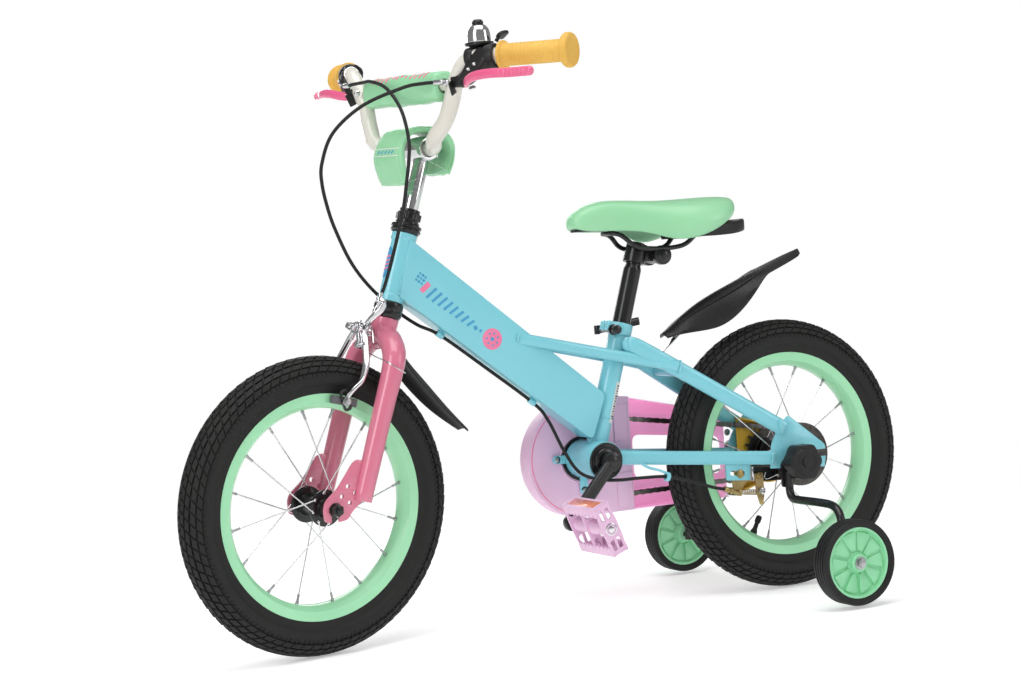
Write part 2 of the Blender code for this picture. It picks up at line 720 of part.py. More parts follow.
def build_bell():
    base_centre = Vector((0.1900, 0.1500, 0.7960))
    up = Vector((0.06, 0.0, 1.0)).normalized()
    base_profile = [
        (0.0, -0.0055), (0.0070, -0.0055), (0.0080, 0.0005), (0.0185, 0.0015), (0.0190, 0.0035), (0.0, 0.0035)
    ]
    base = turned("bell_base", base_profile, base_centre, up, "black_plastic", 14, closed=False)
    bar_spot = smooth_route(BAR_ROUTE[1:], 4)[25]
    bar_way = (Vector(BAR_ROUTE[-2]) - Vector(BAR_ROUTE[-3])).normalized()
    half_collar = bar_way * 0.0055
    collar = rod("collar", bar_spot - half_collar, bar_spot + half_collar, 0.0137, "black_plastic", 16)
    neck = rod("neck", base_centre - up * 0.001, bar_spot, 0.0065, "black_plastic", 12)
    base = combine(base, [collar, neck], "black_plastic")
    base = cut(base, [bar_tube("bar_room", BAR_RADIUS + 0.0006, "black_plastic")], "black_plastic")
    base.name = "bell_base"
    dome = turned(
        "bell_dome",
        [(0.0, 0.0045), (0.0150, 0.0045), (0.0152, 0.0140), (0.0135, 0.0210), (0.0100, 0.0255),
         (0.0068, 0.0285), (0.0068, 0.0310), (0.0045, 0.0335), (0.0, 0.0340)],
        base_centre, up, "chrome", 14, closed=False,
    )
    pivot = base_centre + Vector((-0.0150, 0.0160, 0.0))
    slope = Matrix.Rotation(math.radians(25), 4, "X")
    pad_spot = pivot + Vector((-0.0060, 0.0060, 0.0125))
    thumb = box("bell_thumb", pad_spot, (0.014, 0.020, 0.0030), "black_plastic", 0.0008, turn=slope)
    stalk_foot = pivot + Vector((0, 0, 0.0042))
    stalk_top = pivot + Vector((-0.004, 0.0035, 0.0125))
    stalk = rod("thumb_stalk", stalk_foot, stalk_top, 0.0028, "black_plastic", 8)
    thumb = combine(thumb, [stalk], "black_plastic")
    return [base, dome], thumb, pivot


# Front caliper
CALIPER_UP = -0.094
CALIPER_PIVOT = along_head(CALIPER_UP, 0.030)
SHOE_ANGLE = math.radians(104)
UPPER_BULGE = {"left": Vector((0, 0.005, 0)), "right": Vector((0, 0.001, 0))}
UPPER_ARM_ENDS = {
    # distance up the steering axis, ahead of it, and to the side
    "left": (-0.058, 0.0310, 0.026),
    "right": (-0.112, 0.0420, 0.011),
}


def build_caliper():
    ahead = Vector((math.sin(HEAD_ANGLE), 0, math.cos(HEAD_ANGLE)))
    spots = [along_head(CALIPER_UP, ahead_by) for ahead_by in (-0.0220, 0.0520, 0.0462, 0.0540, 0.0185, 0.0280)]
    bolt = rod("caliper_bolt", spots[0], spots[1], 0.0030, "chrome", 10)
    head = rod("bolt_head", spots[2], spots[3], 0.0065, "chrome", 8)
    spacer = rod("spacer", spots[4], spots[5], 0.0060, "chrome", 10)
    bolt = combine(bolt, [head, spacer], "chrome")
    bolt.name = "caliper_bolt"
    arms = []
    for index, (side, sign) in enumerate(SIDES):
        forward = 0.0320 + 0.0085 * index
        eye = along_head(CALIPER_UP, forward)
        ring = [(0.0035, -0.0028), (0.0090, -0.0028), (0.0090, 0.0028), (0.0035, 0.0028)]
        hub = turned("eye", ring, eye, ahead, "chrome", 12)
        shoe_way = Vector((math.cos(SHOE_ANGLE), 0, math.sin(SHOE_ANGLE)))
        shoe = FRONT_AXLE + shoe_way * 0.1425 + Y_AXIS * (sign * 0.0240)
        route = [
            eye + Vector((0, sign * 0.007, -0.001)), eye + Vector((0.001, sign * 0.016, -0.010)),
            eye + Vector((0.004, sign * 0.027, -0.028)), eye + Vector((0.012, sign * 0.035, -0.055)),
            shoe + Vector((0.003, sign * 0.0105, 0.012)), shoe + Vector((0, sign * 0.0090, -0.002)),
        ]
        arm = tube("caliper_arm_" + side, route, 0.0037, "chrome", 1)
        reach = along_head(*UPPER_ARM_ENDS[side])
        upper_route = [eye + (reach - eye).normalized() * 0.0068, eye.lerp(reach, 0.6) + UPPER_BULGE[side], reach]
        upper = tube("upper", upper_route, 0.0034, "chrome", 1)
        arm = combine(arm, [hub, upper], "chrome")
        clear = rod("eye_bore", eye - ahead * 0.006, eye + ahead * 0.006, 0.0035, "chrome", 12)
        arm = cut(arm, [clear], "chrome")
        arm.name = "caliper_arm_" + side
        tangent = Matrix.Rotation(math.radians(90) - SHOE_ANGLE, 4, "Y")
        shoe_spot = shoe + Vector((0, -sign * 0.0005, 0))
        block = box("brake_shoe", shoe_spot, (0.038, 0.0090, 0.0110), "black_rubber", 0.0015, tangent)
        pin = between_y("pin", shoe.x, shoe.z, sign * 0.026, sign * 0.0325, 0.0030, "black_rubber", 8)
        arm = combine(arm, [pin, block], "chrome")
        arms.append(arm)
    return bolt, arms


def build_front_mudguard():
    """A crowned blade behind the fork, with a tongue up to the crown."""
    route = smooth_route([
        Vector((0.2400, 0, 0.4010)), Vector((0.2220, 0, 0.3770)),
        Vector((0.1960, 0, 0.3480)), Vector((0.1640, 0, 0.3130)), Vector((0.1310, 0, 0.2800)),
    ], 2)

    def width(t):
        return 0.010 + 0.014 * math.sin(math.pi * (0.08 + 0.88 * t))

    def drop(t):
        return 0.003 + 0.010 * math.sin(math.pi * (0.08 + 0.88 * t))

    return blade("front_mudguard", route, width, drop, 0.0011)


def blade(name, route, half_width, drop, half_thick):
    """A curved guard: cross-sections that bow down by drop at their edges, along the route."""
    sections = []
    last = len(route) - 1
    for i, spot in enumerate(route):
        t = i / last
        ahead = (route[min(i + 1, last)] - route[max(i - 1, 0)]).normalized()
        up = Y_AXIS.cross(ahead)
        if up.z < 0:
            up = -up
        width = max(half_width(t), 0.004)
        bow = max(drop(t), 0.001)
        top = []
        for j in range(5):
            s = -1 + j / 2
            top.append(spot + Y_AXIS * (width * s) - up * (bow * s * s))
        sections.append([p + up * half_thick for p in top] + [p - up * half_thick for p in reversed(top)])
    return loft(name, sections, "black_plastic")


# Rear end pieces
def build_rear_mudguard():
    route = smooth_route([
        Vector((-0.1768, 0, 0.3906)), Vector((-0.2405, 0, 0.4318)), Vector((-0.3230, 0, 0.4662)),
        Vector((-0.3863, 0, 0.4903)), Vector((-0.4225, 0, 0.5030)),
    ], 3)

    def width(t):
        return 0.010 + 0.022 * math.sin(math.pi * min(t * 1.05, 1.0)) ** 0.6 * (1 - 0.3 * t)

    def drop(t):
        return 0.006 + 0.034 * math.sin(math.pi * min(t * 1.7, 1.0)) ** 1.4

    guard = blade("rear_mudguard", route, width, drop, 0.0012)
    strut_route = [
        Vector((-0.1850, 0, 0.3440)), Vector((-0.1770, 0, 0.3560)), Vector((-0.1760, 0, 0.3660)),
        Vector((-0.1955, 0, 0.3820)), Vector((-0.2330, 0, 0.4135)),
    ]
    strut = oval_bar("rear_mudguard_strut", smooth_route(strut_route, 2), 0.0060, 0.0011, "chrome", 8)
    return [guard, strut]


def belt_outline(r_front, r_rear, count=9):
    """The outline that a belt of these radii takes round the crank and the rear axle."""
    run = REAR_AXLE - BRACKET
    heading = math.degrees(math.atan2(run.z, run.x))
    lean = math.degrees(math.asin((r_front - r_rear) / run.length))
    first = arc(BRACKET.x, BRACKET.z, r_front, heading + 90 - lean, heading + 270 + lean, count)
    second = arc(REAR_AXLE.x, REAR_AXLE.z, r_rear, heading - 90 + lean, heading + 90 - lean, count)
    return first + second


def pitch_radius(teeth):
    return CHAIN_PITCH / 2 / math.sin(math.pi / teeth)


def build_drive():
    """The chain as a plain band, the chainring inside it, and the sprocket of the freewheel."""
    ring_r, cog_r = pitch_radius(CHAINRING_TEETH), pitch_radius(SPROCKET_TEETH)
    outer = belt_outline(ring_r + CHAIN_HALF_DEPTH, cog_r + CHAIN_HALF_DEPTH, 17)
    inner = belt_outline(ring_r - CHAIN_HALF_DEPTH, cog_r - CHAIN_HALF_DEPTH, 17)
    chain = plate("chain", outer, CHAIN_Y, CHAIN_HALF_WIDTH, "black_paint", holes=[inner])
    clear = CHAIN_HALF_DEPTH + 0.0012
    ring_profile = [
        (0.0083, -0.0015), (ring_r - clear, -0.0015), (ring_r - clear, 0.0015), (0.0083, 0.0015)
    ]
    ring = turned("chainring", ring_profile, (BRACKET.x, CHAIN_Y, BRACKET.z), Y_AXIS, "steel", 24)
    cog_profile = [
        (0.0138, -0.0015), (0.0138, 0.0062), (0.0230, 0.0062), (0.0230, 0.0015), (cog_r - clear, 0.0015),
        (cog_r - clear, -0.0015),
    ]
    cog = turned("freewheel_sprocket", cog_profile, (REAR_AXLE.x, CHAIN_Y, REAR_AXLE.z), Y_AXIS, "steel", 20)
    return chain, ring, cog


def guard_outline(radius, end_x):
    """A disc round the crank axis that runs straight back to a flat end."""
    half = radius * 0.975
    round_part = arc(BRACKET.x, BRACKET.z, radius, 102, -102, 25)
    return [(end_x, BRACKET.z + half), *round_part, (end_x, BRACKET.z - half)]


def build_chain_guard():
    mid = (GUARD_INNER_Y + GUARD_OUTER_Y) / 2
    half = (GUARD_INNER_Y - GUARD_OUTER_Y) / 2
    case = plate("chain_guard_case", guard_outline(GUARD_RADIUS, GUARD_END_X), mid, half, "lavender_plastic")
    inside = guard_outline(GUARD_RADIUS - 0.0020, GUARD_END_X - 0.02)
    hollow = plate("hollow", inside, mid, half - GUARD_WALL, "lavender_plastic")
    at_x, at_z = BRACKET.x, BRACKET.z
    inner_hole = between_y("inner_hole", at_x, at_z, -0.0500, -0.0300, 0.0300, "lavender_plastic", 20)
    outer_hole = between_y("outer_hole", at_x, at_z, -0.0700, -0.0560, 0.0150, "lavender_plastic", 12)
    case = cut(case, [hollow, inner_hole, outer_hole], "lavender_plastic")
    case.name = "chain_guard_case"

    slot = [(-0.150, 0.246), (-0.304, 0.230), (-0.304, 0.171), (-0.150, 0.178)]
    wall = [(CHANNEL_START_X, 0.3010), (-0.3120, 0.2627), (-0.3120, 0.1385), (CHANNEL_START_X, 0.1375)]
    wall_y = GUARD_OUTER_Y + 0.0024
    channel = plate("chain_guard_channel", wall, wall_y, 0.0009, "pink_plastic", holes=[slot])
    lips = []
    for near_z, far, inward in ((0.3010, (-0.2600, 0.2740), -0.0016), (0.1375, (-0.3000, 0.1384), 0.0016)):
        strip = [
            (CHANNEL_START_X, near_z), far, (far[0], far[1] + inward), (CHANNEL_START_X, near_z + inward)
        ]
        lips.append(plate("lip", strip, -0.0505, 0.0128, "pink_plastic"))
    channel = combine(channel, lips, "pink_plastic")
    channel.name = "chain_guard_channel"

    around = arc(REAR_AXLE.x, REAR_AXLE.z, GUARD_TAIL_RADIUS, 75, 285, 19)
    outline = [(-0.3260, 0.2560), *around, (-0.3260, 0.1440)]
    tail = plate("chain_guard_tail", outline, -0.0430, 0.0062, "yellow_plastic")
    around = arc(REAR_AXLE.x, REAR_AXLE.z, GUARD_TAIL_RADIUS - 0.0015, 75, 285, 19)
    hollow = plate("hollow", [(-0.31, 0.2575), *around, (-0.31, 0.1430)], -0.0418, 0.0062, "yellow_plastic")
    hole = between_y("hole", REAR_AXLE.x, REAR_AXLE.z, -0.06, -0.04, 0.0150, "yellow_plastic", 20)
    tail = cut(tail, [hollow, hole], "yellow_plastic")
    tail.name = "chain_guard_tail"
    return [case, channel, tail]


def build_bracket():
    profile = [
        (0.0088, 0.0353), (0.0255, 0.0353), (0.0260, 0.0380), (0.0200, 0.0405), (0.0088, 0.0405)
    ]
    left = turned("bottom_bracket", profile, BRACKET, Y_AXIS, "black_paint", 18)
    right_profile = [(0.0088, -0.0353), (0.0255, -0.0353), (0.0255, -0.0366), (0.0088, -0.0366)]
    right = turned("cup", right_profile, BRACKET, Y_AXIS, "black_paint", 18)
    sleeve = turned("sleeve", [(0.0190, -0.0360), (0.0235, -0.0360), (0.0235, 0.0360), (0.0190, 0.0360)],
                    BRACKET, Y_AXIS, "black_paint", 18)
    return combine(left, [right, sleeve], "black_paint")


def pedal_centre(sign):
    reach = Vector((math.cos(CRANK_ANGLE), 0, math.sin(CRANK_ANGLE))) * CRANK_LENGTH
    return BRACKET + reach * sign


CRANK_ARM_Y = {"left": (0.0520, 0.0730), "right": (-0.0735, -0.0810)}


def build_crank():
    """The axle, both arms and the two pedal spindles."""
    body = between_y("crank", BRACKET.x, BRACKET.z, -0.0700, 0.0560, 0.0080, "black_paint", 16)
    adds = []
    for side, sign in SIDES:
        end = pedal_centre(sign)
        inner, outer = CRANK_ARM_Y[side]
        root = Vector((BRACKET.x, inner, BRACKET.z))
        tip = Vector((end.x, outer, end.z))
        adds.append(oval_bar("arm", [root, root.lerp(tip, 0.5), tip], 0.0055, 0.0095, "black_paint", 10))
        adds.append(rod("boss", root - Y_AXIS * 0.0065, root + Y_AXIS * 0.0065, 0.0135, "black_paint", 16))
        adds.append(rod("eye", tip - Y_AXIS * 0.0060, tip + Y_AXIS * 0.0060, 0.0120, "black_paint", 16))
        adds.append(rod("spindle", tip, (end.x, sign * 0.1760, end.z), 0.0045, "black_paint", 12))
    return combine(body, adds, "black_paint")


def build_pedal(side, sign):
    """The pedal's cage, built level about its spindle and then turned to how it hangs."""
    mid = sign * (PEDAL_INNER + PEDAL_OUTER) / 2
    length = PEDAL_OUTER - PEDAL_INNER
    size = (PEDAL_DEPTH, length, PEDAL_HEIGHT)
    body = box("pedal_" + side, (0, mid, 0), size, "lavender_plastic", 0.003, segments=1)
    cuts = [between_y("spindle_bore", 0, 0, sign * 0.08, sign * 0.1775, 0.0052, "lavender_plastic", 14)]
    for offset in (-0.0205, 0.0205):
        for shift in (-0.021, 0.021):
            cuts.append(box("window", (offset, mid + shift, 0), (0.017, 0.034, 0.04), "lavender_plastic"))
    body = cut(body, cuts, "lavender_plastic")
    body.name = "pedal_" + side
    tilt = Matrix.Rotation(-PEDAL_TILT[side], 4, "Y")
    body.matrix_world = Matrix.Translation(pedal_centre(sign)) @ tilt @ body.matrix_world
    return body


# Rear brake
def build_rear_brake():
    """The band's housing with its anchor arm, and the arm that the cable pulls."""
    ring = [
        (0.0410, 0.0365), (0.0465, 0.0365), (0.0465, 0.0492), (0.0090, 0.0492), (0.0090, 0.0475),
        (0.0410, 0.0475),
    ]
    housing = turned("rear_brake_band", ring, REAR_AXLE, Y_AXIS, "brass", 22)
    anchor_outline = [
        (-0.3350, 0.1840), (-0.3505, 0.1640), (-0.3020, 0.1660), (-0.2760, 0.1600), (-0.2700, 0.1500),
        (-0.2590, 0.1500), (-0.2560, 0.1740), (-0.2920, 0.1890),
    ]
    anchor = plate("anchor", anchor_outline, 0.0385, 0.0015, "brass")
    hole = between_y("hole", BRAKE_ARM_PIVOT.x, BRAKE_ARM_PIVOT.z, 0.03, 0.045, 0.0030, "brass", 10)
    housing = combine(housing, [anchor], "brass")
    housing = cut(housing, [hole], "brass")
    housing.name = "rear_brake_band"
    pin = between_y("pin", BRAKE_ARM_PIVOT.x, BRAKE_ARM_PIVOT.z, 0.0355, 0.0450, 0.0026, "brass", 10)
    arm_route = [(-0.3000, 0.0435, 0.1750), (-0.3010, 0.0435, 0.1540), (-0.3030, 0.0435, 0.1320)]
    arm = oval_bar("rear_brake_arm", arm_route, 0.0015, 0.0060, "brass", 8)
    arm = combine(arm, [pin], "brass")
    return housing, arm


# Seat
def build_seat_post():
    post = rod("seat_post", along_seat(0.0950), along_seat(0.2850), POST_RADIUS, "black_paint", 24)
    neck = rod("neck", along_seat(0.2800), along_seat(0.3190), 0.0110, "black_paint", 20)
    return combine(post, [neck], "black_paint")


def build_saddle_frame():
    """The clamp on the post, and the two rails through it."""
    bolt = across("saddle_frame", SADDLE_BOLT, 0.0300, 0.0140, "black_paint", 20)
    adds = [
        rod("collar", along_seat(0.2890), along_seat(0.3170), 0.0160, "black_paint", 20),
        box("link", SADDLE_BOLT + Vector((0.017, 0, 0.001)), (0.020, 0.022, 0.020), "black_paint"),
    ]
    for _, sign in SIDES:
        route = [
            (-0.0950, sign * 0.012, 0.5408), (-0.1100, sign * 0.016, 0.5380),
            (-0.1280, sign * 0.023, 0.5185), (-0.1560, sign * 0.024, 0.5150),
            (-0.1900, sign * 0.024, 0.5150), (-0.2100, sign * 0.027, 0.5185),
            (-0.2250, sign * 0.032, 0.5330),
        ]
        adds.append(tube("rail", route, 0.0035, "black_paint", 2))
    adds.append(across("rail_link", (-0.0965, 0, 0.5405), 0.0145, 0.0035, "black_paint", 8))
    body = combine(bolt, adds, "black_paint")
    bore = rod("post_bore", along_seat(0.27), along_seat(0.33), 0.0115, "black_paint", 20)
    body = cut(body, [bore], "black_paint")
    body.name = "saddle_frame"
    return body


SADDLE_STATIONS = [
    # x, half width, top, side height, underside
    (-0.0340, 0.010, 0.5660, 0.5600, 0.5540),
    (-0.0440, 0.020, 0.5740, 0.5640, 0.5510),
    (-0.0660, 0.025, 0.5860, 0.5710, 0.5490),
    (-0.0990, 0.028, 0.5885, 0.5730, 0.5485),
    (-0.1400, 0.040, 0.5860, 0.5650, 0.5400),
    (-0.1700, 0.056, 0.5845, 0.5540, 0.5260),
    (-0.2000, 0.068, 0.5850, 0.5500, 0.5240),
    (-0.2350, 0.074, 0.5865, 0.5560, 0.5340),
    (-0.2650, 0.068, 0.5870, 0.5650, 0.5500),
    (-0.2840, 0.050, 0.5860, 0.5730, 0.5600),
    (-0.2910, 0.032, 0.5830, 0.5760, 0.5670),
]


def saddle_section(x, half, top, side, under):
    floor = max(under, 0.5480)
    return [
        (x, 0, top), (x, half * 0.45, top - 0.0015), (x, half * 0.80, top - (top - side) * 0.30),
        (x, half * 0.98, side), (x, half * 0.97, under), (x, half * 0.86, under),
        (x, half * 0.70, floor), (x, 0, floor), (x, -half * 0.70, floor), (x, -half * 0.86, under),
        (x, -half * 0.97, under), (x, -half * 0.98, side), (x, -half * 0.80, top - (top - side) * 0.30),
        (x, -half * 0.45, top - 0.0015),
    ]


def build_saddle():
    cover = loft("saddle_cover", [saddle_section(*s) for s in SADDLE_STATIONS], "mint_vinyl")
    plates = []
    for x, half, _, _, under in SADDLE_STATIONS[1:-1]:
        floor = max(under, 0.5480) - GAP
        wide = half * 0.66
        low = floor - 0.003
        plates.append([(x, wide, floor), (x, wide, low), (x, -wide, low), (x, -wide, floor)])
    base = loft("saddle_base", plates, "black_plastic")
    handle_route = [
        (-0.2150, 0.0450, 0.5375), (-0.2500, 0.0455, 0.5375), (-0.2800, 0.0430, 0.5390),
        (-0.3020, 0.0320, 0.5420), (-0.3150, 0.0150, 0.5440),
    ]
    left = smooth_route(handle_route, 2)
    right = [Vector((p.x, -p.y, p.z)) for p in reversed(left)]
    handle = oval_bar("handle", left + right, 0.0045, 0.0085, "black_plastic", 10)
    base = combine(base, [handle], "black_plastic")
    return [build_seat_post(), build_saddle_frame(), base, cover]


QR_PIN = Vector((-0.0888, -0.0335, 0.4034))


def build_seat_clamp():
    skewer = between_y("seat_skewer", QR_PIN.x, QR_PIN.z, -0.0290, 0.0230, 0.0028, "black_paint", 10)
    cap = between_y("cap", QR_PIN.x, QR_PIN.z, 0.0155, 0.0280, 0.0065, "black_paint", 14)
    skewer = combine(skewer, [cap], "black_paint")
    half_hub = Vector((0, 0, 0.0065))
    hub = rod("seat_lever", QR_PIN - half_hub, QR_PIN + half_hub, 0.0040, "black_paint", 12)
    route = [QR_PIN, QR_PIN + Vector((-0.030, -0.003, 0.003)), Vector((-0.1610, -0.0380, 0.4116))]
    handle = oval_bar("handle", smooth_route(route, 2), 0.0030, 0.0058, "black_paint", 8)
    lever = combine(hub, [handle], "black_paint")
    return skewer, lever


# Stabilisers
def build_stabiliser(side, sign):
    outline = [
        (-0.3610, 0.2010), (-0.3530, 0.2060), (-0.3420, 0.2040), (-0.3290, 0.1900), (-0.3290, 0.1560),
        (-0.3470, 0.1560), (-0.3610, 0.1850),
    ]
    hole = arc(STUD.x, STUD.z, 0.0036, 0, 324, 10)
    arm = plate("stabiliser_arm_" + side, outline, sign * 0.0605, 0.0016, "black_paint", holes=[hole])
    route = [
        (-0.3380, 0.0665, 0.1790), (-0.3378, 0.0668, 0.1640), (-0.3374, 0.0680, 0.1490),
        (-0.3370, 0.0740, 0.1410), (-0.3365, 0.0860, 0.1390), (-0.3355, 0.1500, 0.1390),
        (-0.3345, 0.1760, 0.1370), (-0.3335, 0.1900, 0.1290), (-0.3310, 0.1990, 0.1150),
        (-0.3280, 0.2045, 0.0900), (-0.3270, 0.2050, 0.0560),
    ]
    leg = tube("leg", mirrored(route, sign), 0.0060, "black_paint", 3)
    at_x, at_z = STABILISER.x, STABILISER.z
    axle = between_y("axle", at_x, at_z, sign * 0.2030, sign * 0.2470, 0.0040, "black_paint", 12)
    cap = between_y("cap", at_x, at_z, sign * 0.2455, sign * 0.2500, 0.0075, "black_paint", 8)
    arm = combine(arm, [leg, axle, cap], "black_paint")

    centre = (STABILISER.x, sign * STABILISER.y, STABILISER.z)
    steps = 24
    facet = math.cos(math.pi / steps)
    tread = [
        (0.0550, -0.0150), (0.0577 / facet, -0.0145), (STABILISER_RADIUS / facet, -0.0110),
        (STABILISER_RADIUS / facet, 0.0110), (0.0577 / facet, 0.0145), (0.0550, 0.0150),
        (0.0500, 0.0120), (0.0500, -0.0120),
    ]
    tyre = turned("stabiliser_tyre_" + side, tread, centre, Y_AXIS, "black_plastic", steps)
    disc = [
        (0.0044, -0.0140), (0.0130, -0.0140), (0.0130, -0.0050), (0.0440, -0.0060), (0.0480, -0.0110),
        (0.0492, -0.0110), (0.0492, 0.0110), (0.0480, 0.0110), (0.0440, 0.0060), (0.0130, 0.0050),
        (0.0130, 0.0140), (0.0044, 0.0140),
    ]
    hub = turned("stabiliser_hub_" + side, disc, centre, Y_AXIS, "mint_paint", 16)

    lobes = []
    for i in range(24):
        angle = 2 * math.pi * i / 24
        radius = 0.0255 + 0.0015 * math.cos(6 * angle)
        lobes.append((STUD.x + radius * math.cos(angle), STUD.z + radius * math.sin(angle)))
    name = "stabiliser_knob_" + side
    knob = plate(name, lobes, sign * 0.0840, 0.0110, "black_plastic", 0.0025, segments=1)
    boss = between_y("boss", STUD.x, STUD.z, sign * 0.0625, sign * 0.0750, 0.0080, "black_plastic", 16)
    stud = between_y("stud", STUD.x, STUD.z, sign * 0.0520, sign * 0.0640, 0.0030, "black_plastic", 10)
    knob = combine(knob, [boss, stud], "black_plastic")
    return arm, knob, [tyre, hub]


# Cables
FRONT_CABLE = [
    (0.2303, -0.1200, 0.7617), (0.2272, -0.0800, 0.7635), (0.2300, -0.0520, 0.7630), (0.2290, -0.0160, 0.7515),
    (0.2300, 0.0200, 0.7210), (0.2360, 0.0450, 0.6810), (0.2435, 0.0550, 0.6530), (0.2490, 0.0550, 0.6200),
    (0.2520, 0.0500, 0.5890), (0.2620, 0.0400, 0.5350), (0.2720, 0.0300, 0.4900), (0.2780, 0.0270, 0.4745),
]
REAR_CABLE_BAR = [
    (0.2250, 0.1090, 0.7515), (0.2350, 0.0850, 0.7515), (0.2467, 0.0500, 0.7477), (0.2849, 0.0100, 0.7264),
    (0.3194, -0.0100, 0.6920), (0.3322, -0.0200, 0.6529), (0.3336, -0.0200, 0.6251), (0.3245, -0.0220, 0.5903),
    (0.3120, -0.0240, 0.5600), (0.2892, -0.0260, 0.5179), (0.2600, -0.0270, 0.4830),
]
REAR_CABLE_FRAME = [
    (0.2300, -0.0230, 0.4520), (0.2050, -0.0100, 0.4300), (0.1755, 0.0000, 0.4130), (0.1100, 0.0000, 0.3640),
    (0.0399, 0.0010, 0.3090), (0.0206, 0.0060, 0.2830), (0.0030, 0.0140, 0.2395), (-0.0130, 0.0260, 0.2080),
    (-0.0350, 0.0420, 0.1965), (-0.0650, 0.0455, 0.1925), (-0.1000, 0.0465, 0.1920), (-0.1435, 0.0470, 0.1895),
    (-0.1810, 0.0475, 0.1795), (-0.2190, 0.0480, 0.1665), (-0.2560, 0.0480, 0.1590), (-0.2850, 0.0480, 0.1560),
]
CABLE_RADIUS = 0.0024


def build_cables():
    front = tube("front_brake_cable", smooth_route(FRONT_CABLE, 4), CABLE_RADIUS, "black_rubber", 2)
    turn = Quaternion(HEAD_AXIS, STEER_ANGLE)
    steered = [HEAD + turn @ (Vector(p) - HEAD) for p in REAR_CABLE_BAR]
    whole = [tuple(p) for p in steered] + REAR_CABLE_FRAME
    rear = tube("rear_brake_cable", smooth_route(whole, 2), CABLE_RADIUS, "black_rubber", 2)
    return front, rear


# Assembly
def hang(empty_name, spot, objects, parent=None):
    """An empty on a joint's axis that carries these objects where they are."""
    empty = bpy.data.objects.new(empty_name, None)
    PARTS.objects.link(empty)
    empty.empty_display_size = 0.02
    empty.location = spot
    if parent is not None:
        empty.parent = parent
        empty.matrix_parent_inverse = Matrix.Translation(-parent.location)
    for obj in objects:
        obj.parent = empty
        obj.matrix_parent_inverse = Matrix.Translation(-Vector(spot))
    return empty


def build_front_end():
    steering = hang("steering", HEAD, [])
    fixed = [build_fork(), headset_nut, build_stem(), build_handlebar()]
    fixed += [build_crossbar_pad(), build_stem_pad()]
    fixed.append(axle_with_nuts("front_axle", FRONT_AXLE, 0.0450, 0.0490, 0.0625))
    fixed.append(build_front_mudguard())
    for side, sign in SIDES:
        fixed.append(build_grip(side, sign))
        bracket, blade_piece = build_lever(side, sign)
        fixed.append(bracket)
        hang("brake_lever_pivot_" + side, flip(LEVER_PIVOT, sign), [blade_piece], steering)
    bell, thumb, thumb_pivot = build_bell()
    fixed += bell
    hang("bell_thumb_pivot", thumb_pivot, [thumb], steering)
    bolt, arms = build_caliper()
    fixed.append(bolt)
    for (side, _), arm in zip(SIDES, arms):
        hang("caliper_pivot_" + side, CALIPER_PIVOT, [arm], steering)
    hang("front_wheel", FRONT_AXLE, build_wheel("front", FRONT_AXLE), steering)
    front_cable, rear_cable = build_cables()
    fixed.append(front_cable)
    for obj in fixed:
        obj.parent = steering
        obj.matrix_parent_inverse = Matrix.Translation(-HEAD)
    steering.rotation_mode = "QUATERNION"
    steering.rotation_quaternion = Quaternion(HEAD_AXIS, STEER_ANGLE)
    return rear_cable


headset_cups, headset_nut = build_headset()
build_frame()
build_front_end()
build_rear_mudguard()
chain_piece, chainring_piece, cog_piece = build_drive()
build_chain_guard()
build_bracket()
hang("crank_axis", BRACKET, [build_crank(), chainring_piece])
hang("freewheel_axis", REAR_AXLE, [cog_piece])
for side_name, side_sign in SIDES:
    hang("pedal_axis_" + side_name, pedal_centre(side_sign), [build_pedal(side_name, side_sign)])
band_piece, brake_arm_piece = build_rear_brake()
hang("rear_brake_pivot", BRAKE_ARM_PIVOT, [brake_arm_piece])
hang("rear_wheel", REAR_AXLE, build_wheel("rear", REAR_AXLE, drum=True))
axle_with_nuts("rear_axle", REAR_AXLE, DROPOUT_Y, DROPOUT_Y + DROPOUT_THICK, 0.0710)
hang("seat_height", along_seat(SEAT_TUBE_TOP), build_saddle())
skewer_piece, seat_lever_piece = build_seat_clamp()
hang("seat_lever_pivot", QR_PIN, [seat_lever_piece])
for side_name, side_sign in SIDES:
    arm_piece, knob_piece, wheel_pieces = build_stabiliser(side_name, side_sign)
    spin = (STABILISER.x, side_sign * STABILISER.y, STABILISER.z)
    hang("stabiliser_axis_" + side_name, spin, wheel_pieces)
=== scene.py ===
# %% [markdown]
# # A child's bicycle with stabiliser wheels
# The CAD model gives every part its size, its place and its joints. This script gives it its looks. Each cell makes
# one kind of piece the way a modeller would by hand: a primitive or an outline first, then edit-mode tools, then
# modifiers. The front end is modelled pointing straight ahead, and then turned by the angle that the handlebar
# has at rest, because round parts and mirror pairs are easy to place before the turn and hard after it.

import math

import bpy
from mathutils.bvhtree import BVHTree
from mathutils import Matrix, Quaternion, Vector


